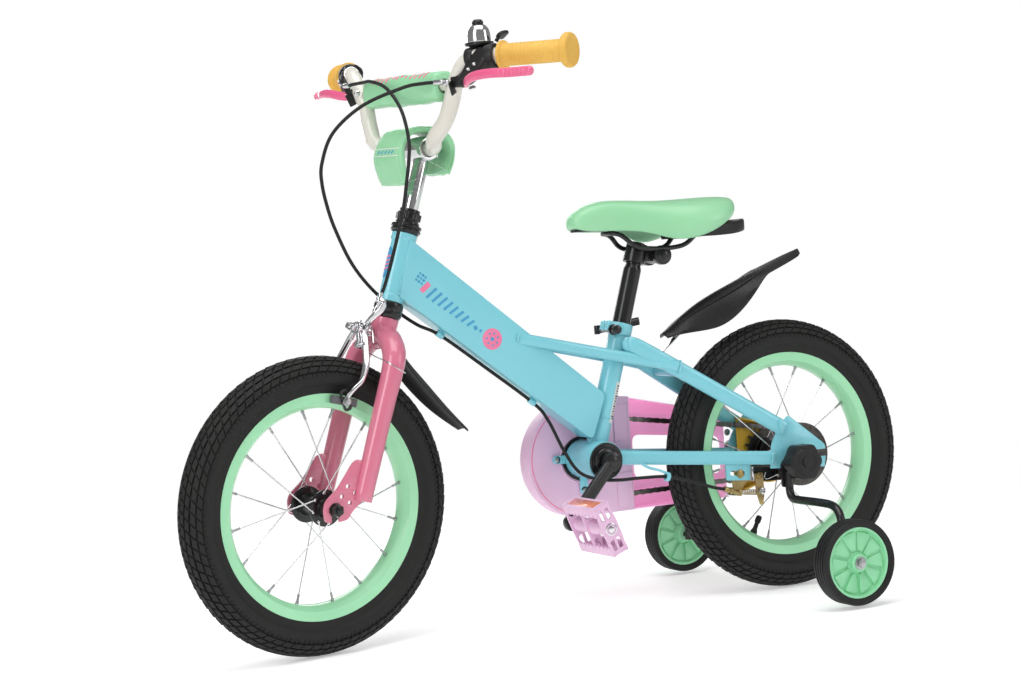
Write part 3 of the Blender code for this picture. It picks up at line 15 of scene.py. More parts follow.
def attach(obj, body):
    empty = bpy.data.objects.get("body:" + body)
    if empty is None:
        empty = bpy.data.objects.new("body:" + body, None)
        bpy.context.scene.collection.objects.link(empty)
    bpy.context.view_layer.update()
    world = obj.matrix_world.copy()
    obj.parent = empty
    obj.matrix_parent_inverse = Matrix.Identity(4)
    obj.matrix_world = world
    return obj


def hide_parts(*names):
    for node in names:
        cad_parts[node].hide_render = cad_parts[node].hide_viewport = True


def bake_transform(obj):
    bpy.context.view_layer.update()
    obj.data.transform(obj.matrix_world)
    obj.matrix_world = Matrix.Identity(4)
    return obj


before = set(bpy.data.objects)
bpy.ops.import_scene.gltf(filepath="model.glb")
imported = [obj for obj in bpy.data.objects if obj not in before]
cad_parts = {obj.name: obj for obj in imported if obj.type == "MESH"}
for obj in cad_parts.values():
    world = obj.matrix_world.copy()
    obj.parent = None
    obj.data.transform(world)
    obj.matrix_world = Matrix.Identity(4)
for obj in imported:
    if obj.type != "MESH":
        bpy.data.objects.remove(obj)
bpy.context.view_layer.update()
scene = bpy.context.scene

# %% [markdown]
# ## Driving dimensions
# These are the bicycle's own measures, in metres: +X is forward, +Y the rider's left, +Z up, and the origin is on
# the ground midway between the axles. The steering axis leans back, so points on the front end are written as a
# distance up that axis, a distance ahead of it and a distance to the side.

# %% Sizes and places
WHEEL_RADIUS = 0.200
TYRE_RING = 0.174
FRONT_AXLE = Vector((0.375, 0, WHEEL_RADIUS))
REAR_AXLE = Vector((-0.375, 0, WHEEL_RADIUS))
HEAD = Vector((0.233, 0, 0.5087))
HEAD_ANGLE = math.radians(72.5)
HEAD_AXIS = Vector((-math.cos(HEAD_ANGLE), 0, math.sin(HEAD_ANGLE)))
AHEAD = Vector((math.sin(HEAD_ANGLE), 0, math.cos(HEAD_ANGLE)))
STEER = (
    Matrix.Translation(HEAD)
    @ Quaternion(HEAD_AXIS, math.radians(10.07)).to_matrix().to_4x4()
    @ Matrix.Translation(-HEAD)
)
BRACKET = Vector((-0.052, 0, 0.220))
STUD = Vector((-0.351, 0, 0.193))
SEAT_ANGLE = math.radians(73)
SEAT_AXIS = Vector((-math.cos(SEAT_ANGLE), 0, math.sin(SEAT_ANGLE)))
CHAIN_Y = -0.0445
X_AXIS, Y_AXIS, Z_AXIS = Vector((1, 0, 0)), Vector((0, 1, 0)), Vector((0, 0, 1))
ORIGIN = Vector((0, 0, 0))
SIDES = (("left", 1), ("right", -1))


def along_head(up, ahead=0.0, side=0.0):
    """A point up the steering axis from the head tube's middle, ahead of it and to its side."""
    return HEAD + HEAD_AXIS * up + AHEAD * ahead + Y_AXIS * side


def along_seat(up, side=0.0):
    return BRACKET + SEAT_AXIS * up + Y_AXIS * side


# %% [markdown]
# ## Camera
# The photo was taken from the left and a little ahead, from the height of the handlebar's stem and with a longish
# lens. The camera comes first, so that every later choice of detail can be judged through it.

# %% Camera
CAMERA_PLACE = Vector((1.26862, 2.41456, 0.47696))
YAW, PITCH, ROLL = (math.radians(angle) for angle in (-116.4126, -1.6464, -3.5702))
looking = Vector((math.cos(PITCH) * math.cos(YAW), math.cos(PITCH) * math.sin(YAW), math.sin(PITCH)))
level_right = looking.cross(Z_AXIS).normalized()
level_up = level_right.cross(looking)
right = math.cos(ROLL) * level_right + math.sin(ROLL) * level_up
upward = math.cos(ROLL) * level_up - math.sin(ROLL) * level_right

camera_data = bpy.data.cameras.new("photo_camera")
camera_data.lens = 68.236
camera_data.sensor_width = 36.0
camera = bpy.data.objects.new("photo_camera", camera_data)
scene.collection.objects.link(camera)
turn = Matrix((right, upward, -looking)).transposed()
camera.matrix_world = Matrix.Translation(CAMERA_PLACE) @ turn.to_4x4()
scene.camera = camera
scene.view_settings.view_transform = "Standard"
print("camera at", CAMERA_PLACE)

# %% [markdown]
# ## Modelling helpers
# A bicycle is mostly tubes, turned parts and flat plates. Tubes are curves with a round or oval section, turned
# parts are half outlines that the Spin tool carries right round, and plates are outlines filled and extruded. Each
# helper leaves one mesh at the origin whose place is in its points, so that patterns stay put.

# %% Selecting and placing
def pick(piece):
    """Selects one piece alone and makes it active."""
    bpy.ops.object.select_all(action="DESELECT")
    piece.select_set(True)
    bpy.context.view_layer.objects.active = piece
    return piece


def link(name, data):
    piece = bpy.data.objects.new(name, data)
    scene.collection.objects.link(piece)
    return pick(piece)


def settle(piece):
    """Puts the object's turn, size and place into its mesh."""
    pick(piece)
    bpy.ops.object.transform_apply(location=True, rotation=True, scale=True)
    return piece


def clean(piece, gap=1e-5):
    """Merges points that coincide and turns every face outwards."""
    pick(piece)
    bpy.ops.object.mode_set(mode="EDIT")
    bpy.ops.mesh.select_all(action="SELECT")
    bpy.ops.mesh.remove_doubles(threshold=gap)
    bpy.ops.mesh.normals_make_consistent(inside=False)
    bpy.ops.object.mode_set(mode="OBJECT")
    return piece


def join(name, pieces):
    """Makes one piece of several."""
    pick(pieces[0])
    for piece in pieces:
        piece.select_set(True)
    if len(pieces) > 1:
        bpy.ops.object.join()
    made = bpy.context.view_layer.objects.active
    made.name = name
    return made


def copy_of(piece, matrix=Matrix.Identity(4)):
    """A copy with its own mesh, moved by the matrix."""
    mesh = piece.data.copy()
    mesh.transform(matrix)
    if matrix.determinant() < 0:
        mesh.flip_normals()
    return link(piece.name, mesh)


def remove(*pieces):
    for piece in pieces:
        bpy.data.objects.remove(piece)


def turn_to(direction):
    """The turn that takes +Z to the direction."""
    return Z_AXIS.rotation_difference(Vector(direction)).to_matrix().to_4x4()


def modify(piece, kind, **settings):
    """Adds a modifier with these settings to the piece and applies it."""
    pick(piece)
    modifier = piece.modifiers.new(kind.lower(), kind)
    for name, value in settings.items():
        setattr(modifier, name, value)
    bpy.ops.object.modifier_apply(modifier=modifier.name)
    return piece


def ease(piece, width, segments=2, angle=35):
    """Rounds every edge that is sharper than the angle."""
    return modify(piece, "BEVEL", width=width, segments=segments, limit_method="ANGLE",
                  angle_limit=math.radians(angle), use_clamp_overlap=True)


def cut(piece, cutters):
    """Takes the cutters' shapes out of the piece and throws them away."""
    for cutter in cutters:
        modify(piece, "BOOLEAN", operation="DIFFERENCE", solver="EXACT", object=cutter)
        remove(cutter)
    return piece


def finish_piece(piece, material, body, nodes=(), angle=32, steered=False):
    """Shades, colours and places a finished piece, and lets it ride on its body."""
    if steered:
        piece.data.transform(STEER)
    piece.data.materials.clear()
    piece.data.materials.append(material)
    for face in piece.data.polygons:
        face.material_index = 0
    pick(piece)
    bpy.ops.object.shade_smooth_by_angle(angle=math.radians(angle))
    if nodes:
        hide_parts(*nodes)
    if body:
        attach(piece, body)
    return piece


# %% Routes and outlines
def smooth_route(points, per_span):
    """A smooth curve through the points, with per_span steps from each to the next."""
    given = [Vector(p) for p in points]
    padded = [2 * given[0] - given[1], *given, 2 * given[-1] - given[-2]]
    route = []
    for a, b, c, d in zip(padded, padded[1:], padded[2:], padded[3:]):
        for step in range(per_span):
            t = step / per_span
            bend = (2 * a - 5 * b + 4 * c - d) * t**2 + (3 * b - a - 3 * c + d) * t**3
            route.append(0.5 * (2 * b + (c - a) * t + bend))
    route.append(given[-1])
    return route


def rounded(points, radius, steps=3, closed=True):
    """The same outline with each corner eased by a short curve."""
    given = [Vector(p) for p in points]
    made = []
    for index, corner in enumerate(given):
        if not closed and index in (0, len(given) - 1):
            made.append(corner)
            continue
        back = given[index - 1] - corner
        on = given[(index + 1) % len(given)] - corner
        start = corner + back.normalized() * min(radius, back.length * 0.45)
        end = corner + on.normalized() * min(radius, on.length * 0.45)
        for step in range(steps + 1):
            t = step / steps
            made.append(start * (1 - t) ** 2 + corner * 2 * t * (1 - t) + end * t * t)
    return made


def arc(x, z, radius, start, end, count):
    """Points on an arc, angles in degrees."""
    angles = [math.radians(start + (end - start) * i / (count - 1)) for i in range(count)]
    return [(x + radius * math.cos(a), z + radius * math.sin(a)) for a in angles]


def circle(x, z, radius, count=24):
    return arc(x, z, radius, 0, 360 * (count - 1) / count, count)


def flip(point, sign):
    return Vector((point[0], sign * point[1], point[2]))


# %% Curves that become tubes and bars
def drawn(name, lines, closed, **settings):
    """A curve through straight-sided lines of points, flat ones in x and y, with the settings of a curve."""
    curve = bpy.data.curves.new(name, "CURVE")
    for key, value in settings.items():
        setattr(curve, key, value)
    for line in lines:
        spline = curve.splines.new("POLY")
        spline.points.add(len(line) - 1)
        for point, spot in zip(spline.points, line):
            point.co = (*(*spot, 0)[:3], 1)
        spline.use_cyclic_u = closed
    return link(name, curve)


def meshed(piece):
    """The curve's shape as a clean mesh."""
    bpy.ops.object.convert(target="MESH")
    return clean(piece)


def tube(name, route, radius, sides=3, taper=None, closed=False):
    """A round bar along the route, with closed ends. The taper scales its radius at each point."""
    piece = drawn(name, [route], closed, dimensions="3D", bevel_depth=radius, bevel_resolution=sides,
                  use_fill_caps=True)
    for point, share in zip(piece.data.splines[0].points, taper or ()):
        point.radius = share
    return meshed(piece)


def squared(angle, half_u, half_v, power):
    """A point on a rounded box's outline: a power of 1 gives an ellipse, and less squares it up."""
    u, v = math.cos(angle), math.sin(angle)
    return half_u * math.copysign(abs(u) ** power, u), half_v * math.copysign(abs(v) ** power, v)


def oval_bar(name, route, half_width, half_height, power=0.7, sides=24):
    """A bar of oval section along the route, its height kept upright."""
    ring = [squared(-math.tau * (index + 0.5) / sides, half_width, half_height, power) for index in range(sides)]
    section = drawn("section", [ring], True, dimensions="2D")
    piece = drawn(name, [route], False, dimensions="3D", twist_mode="Z_UP", bevel_mode="OBJECT", bevel_object=section,
                  use_fill_caps=True)
    meshed(piece)
    remove(section)
    return piece


# %% Turned parts, plates and blocks
def turned(name, profile, centre, axis, steps=48, closed=True):
    """Spins a half outline of (radius, distance along the axis) points right round the axis."""
    count = len(profile)
    edges = [(i, i + 1) for i in range(count - 1)]
    if closed:
        edges.append((count - 1, 0))
    mesh = bpy.data.meshes.new(name)
    mesh.from_pydata([(p[0], 0, p[1]) for p in profile], edges, [])
    piece = link(name, mesh)
    bpy.ops.object.mode_set(mode="EDIT")
    bpy.ops.mesh.select_all(action="SELECT")
    bpy.ops.mesh.spin(steps=steps, angle=math.tau, center=(0, 0, 0), axis=(0, 0, 1))
    bpy.ops.object.mode_set(mode="OBJECT")
    clean(piece)
    piece.data.transform(Matrix.Translation(Vector(centre)) @ turn_to(axis))
    return piece


def lathe(name, profile, edge, centre, axis, steps=48, closed=True, corner_steps=3):
    """A turned piece whose half outline has its corners eased first."""
    return turned(name, rounded(profile, edge, corner_steps, closed), centre, axis, steps, closed)


def tube_wall(inner, outer, start, end):
    """The half outline of a plain ring or tube, to be turned."""
    return [(inner, start), (outer, start), (outer, end), (inner, end)]


def plate(name, outline, middle, half, edge=0.0004, holes=(), segments=1):
    """A flat piece in x and z: an outline filled, extruded to both sides of y = middle, with eased rims."""
    piece = meshed(drawn(name, (outline, *holes), True, dimensions="2D", fill_mode="BOTH", extrude=half))
    if edge:
        ease(piece, edge, segments, 60)
    piece.data.transform(Matrix.Translation((0, middle, 0)) @ Matrix.Rotation(math.pi / 2, 4, "X"))
    return piece


def block(name, centre, size, edge=0.0, turn=Matrix.Identity(4), segments=2):
    """A box with eased edges."""
    bpy.ops.mesh.primitive_cube_add(size=1.0)
    piece = bpy.context.object
    piece.name = name
    piece.scale = size
    settle(piece)
    if edge:
        ease(piece, edge, segments)
    piece.data.transform(Matrix.Translation(Vector(centre)) @ turn)
    return piece


def rod(name, start, end, radius, edge=0.0004, sides=32, end_radius=None):
    """A round bar with eased rims, tapered where its end radius differs."""
    start, end = Vector(start), Vector(end)
    far = radius if end_radius is None else end_radius
    bpy.ops.mesh.primitive_cone_add(vertices=sides, radius1=radius, radius2=far, depth=(end - start).length)
    piece = bpy.context.object
    piece.name = name
    if edge:
        ease(piece, edge, 2, 50)
    piece.data.transform(Matrix.Translation((start + end) / 2) @ turn_to(end - start))
    return piece


def between_y(name, x, z, y_from, y_to, radius, edge=0.0004, sides=32):
    return rod(name, (x, y_from, z), (x, y_to, z), radius, edge, sides)


def ball(name, centre, size, turn=Matrix.Identity(4)):
    """A small round lump, size being its three half widths."""
    bpy.ops.mesh.primitive_uv_sphere_add(segments=16, ring_count=10, radius=1.0)
    piece = bpy.context.object
    piece.name = name
    piece.scale = size
    settle(piece)
    piece.data.transform(Matrix.Translation(Vector(centre)) @ turn)
    return piece


def bolt_head(name, centre, axis, radius, height, sides=6):
    """A hexagon head with a chamfered crown."""
    axis = Vector(axis).normalized()
    head = rod(name, Vector(centre), Vector(centre) + axis * height, radius, 0.0005, sides)
    crown = rod(name, Vector(centre), Vector(centre) + axis * (height + 0.0006), radius * 0.72, 0.0004, 24)
    return join(name, [head, crown])


print("helpers ready")

# %% [markdown]
# ## Materials
# Each finish on this bicycle is one of a few kinds: powder coat with a faint orange peel, moulded plastic, rubber,
# soft vinyl and plated steel. What they share is built once as four node groups: a slow drift of the colour, a fine
# skin that tilts the surface, bright worn edges, and dust that settles on what faces up. Each material keeps its own
# shader and sets its plain numbers there. Three small helpers add a node, set its inputs and wire nodes up.

# %% Nodes in few words
WHITE = (1.0, 1.0, 1.0, 1)


def set_inputs(node, **values):
    """Sets a node's inputs by their names, with _ for a space."""
    for name, value in values.items():
        node.inputs[name.replace("_", " ")].default_value = value


def add_node(tree, kind, **settings):
    """A shader node. Settings in lower case are its own, and capitalised ones are values of its inputs."""
    node = tree.nodes.new("ShaderNode" + kind)
    for name, value in settings.items():
        if name.islower():
            setattr(node, name, value)
        else:
            set_inputs(node, **{name: value})
    return node


def wire_up(tree, *links):
    """Joins nodes: each link is a node and its output, then a node and its input."""
    for source, out, target, into in links:
        tree.links.new(source.outputs[out], target.inputs[into])


def new_group(name, inputs, outputs):
    """A node group with named sockets, and its two end nodes."""
    tree = bpy.data.node_groups.new(name, "ShaderNodeTree")
    for label, kind, value in inputs:
        tree.interface.new_socket(label, in_out="INPUT", socket_type="NodeSocket" + kind).default_value = value
    for label, kind in outputs:
        tree.interface.new_socket(label, in_out="OUTPUT", socket_type="NodeSocket" + kind)
    return tree, tree.nodes.new("NodeGroupInput"), tree.nodes.new("NodeGroupOutput")


# %% Shared surface effects
def drift_group():
    """Two near colours that drift into each other over the surface."""
    tree, given, result = new_group(
        "colour drift",
        [("Colour", "Color", (0.5, 0.5, 0.5, 1)), ("Other Colour", "Color", (0.4, 0.4, 0.4, 1)),
         ("Patch Size", "Float", 12.0)],
        [("Colour", "Color"), ("Share", "Float")],
    )
    place, noise = add_node(tree, "TexCoord"), add_node(tree, "TexNoise", Detail=4.0)
    spread = add_node(tree, "MapRange", From_Min=0.35, From_Max=0.65)
    mix = add_node(tree, "Mix", data_type="RGBA")
    wire_up(
        tree, (place, "Object", noise, "Vector"), (given, "Patch Size", noise, "Scale"),
        (noise, "Fac", spread, "Value"), (spread, "Result", mix, "Factor"), (given, "Colour", mix, "A"),
        (given, "Other Colour", mix, "B"), (mix, "Result", result, "Colour"), (spread, "Result", result, "Share"),
    )
    return tree


def skin_group():
    """A fine grain that tilts the surface: orange peel on paint, leather grain on vinyl."""
    tree, given, result = new_group(
        "fine skin", [("Grain", "Float", 900.0), ("Depth", "Float", 0.00005), ("Crease", "Float", 0.0)],
        [("Normal", "Vector"), ("Height", "Float")],
    )
    place, noise = add_node(tree, "TexCoord"), add_node(tree, "TexNoise", Detail=3.0)
    cells = add_node(tree, "TexVoronoi", feature="DISTANCE_TO_EDGE")
    creased = add_node(tree, "Math", operation="MULTIPLY_ADD")
    bump = add_node(tree, "Bump", Strength=1.0)
    wire_up(
        tree, (place, "Object", noise, "Vector"), (place, "Object", cells, "Vector"),
        (given, "Grain", noise, "Scale"), (given, "Grain", cells, "Scale"), (cells, "Distance", creased, 0),
        (given, "Crease", creased, 1), (noise, "Fac", creased, 2), (creased, "Value", bump, "Height"),
        (given, "Depth", bump, "Distance"), (bump, "Normal", result, "Normal"), (creased, "Value", result, "Height"),
    )
    return tree


def mask_group(name, low, high, grain, detail, upward):
    """A mask up to Amount: how far the surface faces up, or how proud its edges are, broken up by noise."""
    tree, given, result = new_group(name, [("Amount", "Float", 0.5)], [("Mask", "Float")])
    place, surface = add_node(tree, "TexCoord"), add_node(tree, "NewGeometry")
    spread = add_node(tree, "MapRange", From_Min=low, From_Max=high)
    noise = add_node(tree, "TexNoise", Scale=grain, Detail=detail)
    broken, shared = (add_node(tree, "Math", operation="MULTIPLY") for _ in range(2))
    if upward:
        split = add_node(tree, "SeparateXYZ")
        wire_up(tree, (surface, "Normal", split, "Vector"), (split, "Z", spread, "Value"))
    else:
        wire_up(tree, (surface, "Pointiness", spread, "Value"))
    wire_up(
        tree, (place, "Object", noise, "Vector"), (spread, "Result", broken, 0), (noise, "Fac", broken, 1),
        (broken, "Value", shared, 0), (given, "Amount", shared, 1), (shared, "Value", result, "Mask"),
    )
    return tree


DRIFT, SKIN = drift_group(), skin_group()
WEAR = mask_group("edge wear", 0.53, 0.62, 160.0, 5.0, False)
DUST = mask_group("settled dust", -0.2, 1.0, 60.0, 6.0, True)
print("effects:", [tree.name for tree in (DRIFT, SKIN, WEAR, DUST)])

# %% One recipe for every finish
COAT_ROUGHNESS = 0.06


def surface_of(
    name, colour, other, roughness, metallic=0.0, patch=12.0, grain=900.0, depth=0.00004, crease=0.0, coat=0.0,
    wear=0.0, worn_colour=(0.8, 0.8, 0.8), dust=0.0, dust_colour=(0.55, 0.52, 0.47), specular=0.5,
):
    """A finish whose colour drifts, whose skin has grain, and whose edges and tops show some use."""
    material = bpy.data.materials.new(name)
    material.use_nodes = True
    material.diffuse_color = (*colour, 1)
    tree = material.node_tree
    shader = tree.nodes["Principled BSDF"]
    set_inputs(shader, Roughness=roughness, Metallic=metallic, Coat_Weight=coat, Coat_Roughness=COAT_ROUGHNESS,
               Specular_IOR_Level=specular)

    def effect(group, **values):
        return add_node(tree, "Group", node_tree=group, **values)

    drift = effect(DRIFT, Colour=(*colour, 1), Other_Colour=(*other, 1), Patch_Size=patch)
    skin = effect(SKIN, Grain=grain, Depth=depth, Crease=crease)
    shown, out = drift, "Colour"
    for group, amount, laid in ((WEAR, wear, worn_colour), (DUST, dust, dust_colour)):
        if amount:
            mask = effect(group, Amount=amount)
            mix = add_node(tree, "Mix", data_type="RGBA", B=(*laid, 1))
            wire_up(tree, (mask, "Mask", mix, "Factor"), (shown, out, mix, "A"))
            shown, out = mix, "Result"
    rough = add_node(tree, "MapRange", To_Min=max(roughness - 0.04, 0.02), To_Max=min(roughness + 0.06, 1.0))
    wire_up(tree, (skin, "Normal", shader, "Normal"), (shown, out, shader, "Base Color"),
            (drift, "Share", rough, "Value"), (rough, "Result", shader, "Roughness"))
    return material


# %% The finishes
SKY = surface_of("sky_powder_coat", (0.205, 0.60, 0.69), (0.19, 0.57, 0.66), 0.34, coat=0.5, patch=9, grain=700,
                 depth=0.00003, wear=0.25, worn_colour=(0.42, 0.70, 0.76), dust=0.04)
PINK = surface_of("pink_powder_coat", (0.68, 0.185, 0.28), (0.64, 0.16, 0.25), 0.30, coat=0.6, patch=9, grain=700,
                  depth=0.00003, wear=0.25, worn_colour=(0.86, 0.45, 0.55), dust=0.03)
PINK_BLADE = surface_of("pink_lever_paint", (0.80, 0.12, 0.27), (0.74, 0.10, 0.24), 0.30, coat=0.5, patch=30,
                        grain=900, wear=0.4, worn_colour=(0.86, 0.50, 0.60))
# the pink plastic of the guard's channel, which carries a painted glow (an emission) that is set below
PINK_PLASTIC_PAINTED_GLOW = surface_of("pink_plastic", (0.97, 0.45, 0.72), (0.93, 0.41, 0.68), 0.42, patch=14, grain=1500,
                          depth=0.00004, dust=0.04)
MINT = surface_of("mint_paint", (0.36, 0.78, 0.46), (0.33, 0.74, 0.43), 0.36, coat=0.35, patch=9, grain=800,
                  depth=0.00003, wear=0.3, worn_colour=(0.55, 0.82, 0.64), dust=0.05)
MINT_PLASTIC = surface_of("mint_plastic", (0.30, 0.74, 0.42), (0.27, 0.70, 0.39), 0.40, patch=20, grain=1600,
                          depth=0.00003, wear=0.3, worn_colour=(0.5, 0.8, 0.6), dust=0.06)
VINYL = surface_of("mint_vinyl", (0.31, 0.66, 0.38), (0.28, 0.63, 0.35), 0.38, patch=8, grain=1100,
                   depth=0.00009, crease=0.6, coat=0.15, dust=0.03)
CREAM = surface_of("cream_paint", (0.72, 0.70, 0.63), (0.68, 0.65, 0.58), 0.28, coat=0.6, patch=12, grain=800,
                   depth=0.00003, wear=0.3, worn_colour=(0.8, 0.8, 0.78), dust=0.05)
YELLOW_RUBBER = surface_of("yellow_rubber", (0.78, 0.47, 0.085), (0.73, 0.42, 0.07), 0.62, patch=20, grain=2200,
                           depth=0.00008, dust=0.06)
YELLOW_PLASTIC = surface_of("yellow_plastic", (0.84, 0.50, 0.05), (0.80, 0.45, 0.04), 0.40, patch=15, grain=1500,
                            depth=0.00004, dust=0.04)
LAVENDER = surface_of("lavender_plastic", (0.80, 0.53, 0.72), (0.76, 0.49, 0.69), 0.42, patch=12, grain=1500,
                      depth=0.00004, dust=0.04)
TYRE = surface_of("tyre_rubber", (0.010, 0.010, 0.010), (0.015, 0.0145, 0.014), 0.62, patch=18, grain=1400,
                  depth=0.00008, dust=0.02, specular=0.3)
SOFT_BLACK = surface_of("black_rubber", (0.009, 0.009, 0.0095), (0.013, 0.013, 0.013), 0.55, patch=25, grain=2000,
                        depth=0.00006, dust=0.02, specular=0.3)
GREY_RUBBER = surface_of("grey_rubber", (0.10, 0.10, 0.105), (0.13, 0.13, 0.135), 0.58, patch=25, grain=1800,
                         depth=0.00006, dust=0.04)
BLACK_PLASTIC = surface_of("black_plastic", (0.008, 0.008, 0.0085), (0.012, 0.0115, 0.012), 0.38, patch=16,
                           grain=1800, depth=0.00005, dust=0.02, specular=0.35)
BLACK_PAINT = surface_of("black_paint", (0.007, 0.007, 0.0075), (0.010, 0.010, 0.011), 0.26, coat=0.25, patch=14,
                         grain=900, wear=0.3, worn_colour=(0.10, 0.10, 0.10), dust=0.02, specular=0.35)
CHROME = surface_of("chrome_plate", (0.72, 0.72, 0.73), (0.62, 0.62, 0.64), 0.12, metallic=1.0, patch=30, grain=500,
                    depth=0.00002, dust=0.04)
STEEL = surface_of("zinc_steel", (0.46, 0.46, 0.47), (0.36, 0.36, 0.37), 0.32, metallic=1.0, patch=60, grain=1200,
                   depth=0.00004, dust=0.10, dust_colour=(0.2, 0.18, 0.15))
DARK_STEEL = surface_of("oiled_steel", (0.10, 0.095, 0.09), (0.06, 0.055, 0.05), 0.34, metallic=1.0, patch=120,
                        grain=1500, wear=0.6, worn_colour=(0.5, 0.48, 0.45))
BRASS = surface_of("yellow_zinc", (0.50, 0.36, 0.14), (0.34, 0.24, 0.10), 0.32, metallic=1.0, patch=60, grain=1200,
                   depth=0.00004, wear=0.5, worn_colour=(0.8, 0.68, 0.42))
ORANGE = surface_of("orange_reflector", (0.90, 0.20, 0.02), (0.80, 0.14, 0.01), 0.12, coat=0.9, patch=60,
                    grain=350, depth=0.0004, crease=1.6)
PRINT_PINK = surface_of("pink_print", (0.86, 0.22, 0.38), (0.82, 0.19, 0.35), 0.40, patch=30, grain=900)
PRINT_BLUE = surface_of("blue_print", (0.06, 0.34, 0.58), (0.055, 0.31, 0.55), 0.40, patch=30, grain=900)
PRINT_WHITE = surface_of("white_print", (0.78, 0.78, 0.76), (0.72, 0.72, 0.70), 0.45, patch=30, grain=900)
# painted glow: the guard's channel is thin, so an emission in its pink stands in for the daylight from behind that
# would shine through its wall
set_inputs(PINK_PLASTIC_PAINTED_GLOW.node_tree.nodes["Principled BSDF"], Emission_Color=(1.0, 0.42, 0.72, 1), Emission_Strength=0.32)
print(len(bpy.data.materials), "materials")

# %% [markdown]
# ## Studio
# A pale floor and an even pale sky, as in a catalogue picture. The sky shows white behind the bicycle but lights it
# with less than that, so that black parts stay black, and large soft lamps give the tubes their long highlights.

# %% Floor and sky
bpy.ops.mesh.primitive_plane_add(size=40.0, location=(0, 0, -0.0002))
floor = bpy.context.object
floor.name = "studio_floor"
FLOOR = bpy.data.materials.new("pale_floor")
FLOOR.use_nodes = True
floor_tree = FLOOR.node_tree
matt = floor_tree.nodes["Principled BSDF"]
set_inputs(matt, Base_Color=(0.92, 0.92, 0.92, 1), Roughness=0.7, Emission_Color=WHITE, Emission_Strength=0.38)
# far from the bicycle the floor turns into the white of the backdrop, so no horizon shows
place = add_node(floor_tree, "TexCoord")
way_off = add_node(floor_tree, "VectorMath", operation="LENGTH")
fade = add_node(floor_tree, "MapRange", interpolation_type="SMOOTHSTEP", From_Min=0.6, From_Max=2.0)
white = add_node(floor_tree, "Emission", Color=WHITE, Strength=1.0)
blended = add_node(floor_tree, "MixShader")
wire_up(floor_tree, (place, "Object", way_off, 0), (way_off, "Value", fade, "Value"), (fade, "Result", blended, 0),
        (matt, 0, blended, 1), (white, 0, blended, 2), (blended, 0, floor_tree.nodes["Material Output"], "Surface"))
floor.data.materials.append(FLOOR)

sky = bpy.data.worlds.new("pale_sky")
sky.use_nodes = True
sky_tree = sky.node_tree
lighting = sky_tree.nodes["Background"]
set_inputs(lighting, Color=WHITE, Strength=0.27)
backdrop = add_node(sky_tree, "Background", Color=WHITE, Strength=1.0)
seen, either = add_node(sky_tree, "LightPath"), add_node(sky_tree, "MixShader")
wire_up(sky_tree, (seen, "Is Camera Ray", either, 0), (lighting, 0, either, 1), (backdrop, 0, either, 2),
        (either, 0, sky_tree.nodes["World Output"], 0))
scene.world = sky


# %% Lamps
def soft_lamp(name, place, aim, size, power):
    data = bpy.data.lights.new(name, "AREA")
    data.shape = "RECTANGLE"
    data.size, data.size_y = size
    data.energy = power
    lamp = bpy.data.objects.new(name, data)
    scene.collection.objects.link(lamp)
    away = (Vector(place) - Vector(aim)).normalized()
    lamp.matrix_world = Matrix.Translation(Vector(place)) @ away.to_track_quat("Z", "Y").to_matrix().to_4x4()
    return lamp


lamps = [
    soft_lamp("top_box", (0.3, 0.6, 2.6), (0, 0, 0.3), (2.2, 1.6), 38),
    soft_lamp("left_box", (2.4, 1.2, 1.5), (0.1, 0, 0.4), (1.0, 1.8), 26),
    soft_lamp("right_box", (-1.9, 2.2, 1.4), (-0.1, 0, 0.4), (0.9, 1.6), 14),
    soft_lamp("back_box", (-0.4, -2.3, 1.3), (-0.1, 0, 0.3), (1.6, 1.2), 20),
]
print("studio ready")

# %% [markdown]
# ## Tyres
# A small bicycle's tyre is a rubber tube round the wheel with a moulded tread: skewed blocks over the crown and short
# ribs on the shoulders. One pitch of the tread is modelled, a row of eight blocks, and an array turns it round the
# wheel, which is how a tyre mould is cut too. The carcass under it is one section that is spun.

# %% Tyre carcass and tread
TREAD_PITCHES = 78
TREAD_ROWS = (-68.0, -48.5, -29.0, -9.5, 9.5, 29.0, 48.5, 68.0)
BLOCK = Vector((0.0136, 0.0071, 0.0034))
GROOVE_FLOOR = 0.0232
# the section's radius beyond each angle from the crown, from the bead up
SIDEWALL = ((114, 0.0238), (90, 0.0255), (78, 0.0250), (-1, GROOVE_FLOOR))
TREAD_TOP = 0.02555


def section_point(angle, radius):
    """A point of the tyre's round section: (distance from the axle, sideways), angle from the crown in degrees."""
    return TYRE_RING + radius * math.cos(math.radians(angle)), radius * math.sin(math.radians(angle))


def tyre_carcass(name):
    outer = []
    for angle in range(-126, 127, 6):
        radius = next(radius for least, radius in SIDEWALL if abs(angle) > least)
        outer.append(section_point(angle, radius))
    for sign, end in ((1, outer[-1]), (-1, outer[0])):
        lip = [(0.1530, sign * 0.0180), (0.1512, sign * 0.0168), (0.1450, sign * 0.0140)]
        outer = outer + lip if sign > 0 else lip[::-1] + outer
    inner = [(0.1480, 0.0120), (0.1780, 0.0195), (0.1900, 0.0110), (0.1900, -0.0110), (0.1780, -0.0195),
             (0.1480, -0.0120)]
    return turned(name, outer + inner, ORIGIN, Y_AXIS, 144)


def tread_block(angle, shift):
    """One skewed block, standing on the section at the angle, shifted along the wheel."""
    bpy.ops.mesh.primitive_cube_add(size=1.0)
    made = bpy.context.object
    made.scale = BLOCK
    settle(made)
    lean = 0.0030 if angle > 0 else -0.0030
    for point in made.data.vertices:
        point.co.x += math.copysign(lean, point.co.y * angle)
        if point.co.z > 0:
            point.co.x *= 0.90
            point.co.y *= 0.88
    ease(made, 0.0005, 1)
    up = TREAD_TOP - BLOCK.z / 2
    tilt = Matrix.Rotation(-math.radians(angle), 4, "X")
    made.data.transform(Matrix.Translation((shift, 0, TYRE_RING)) @ tilt @ Matrix.Translation((0, 0, up)))
    return made


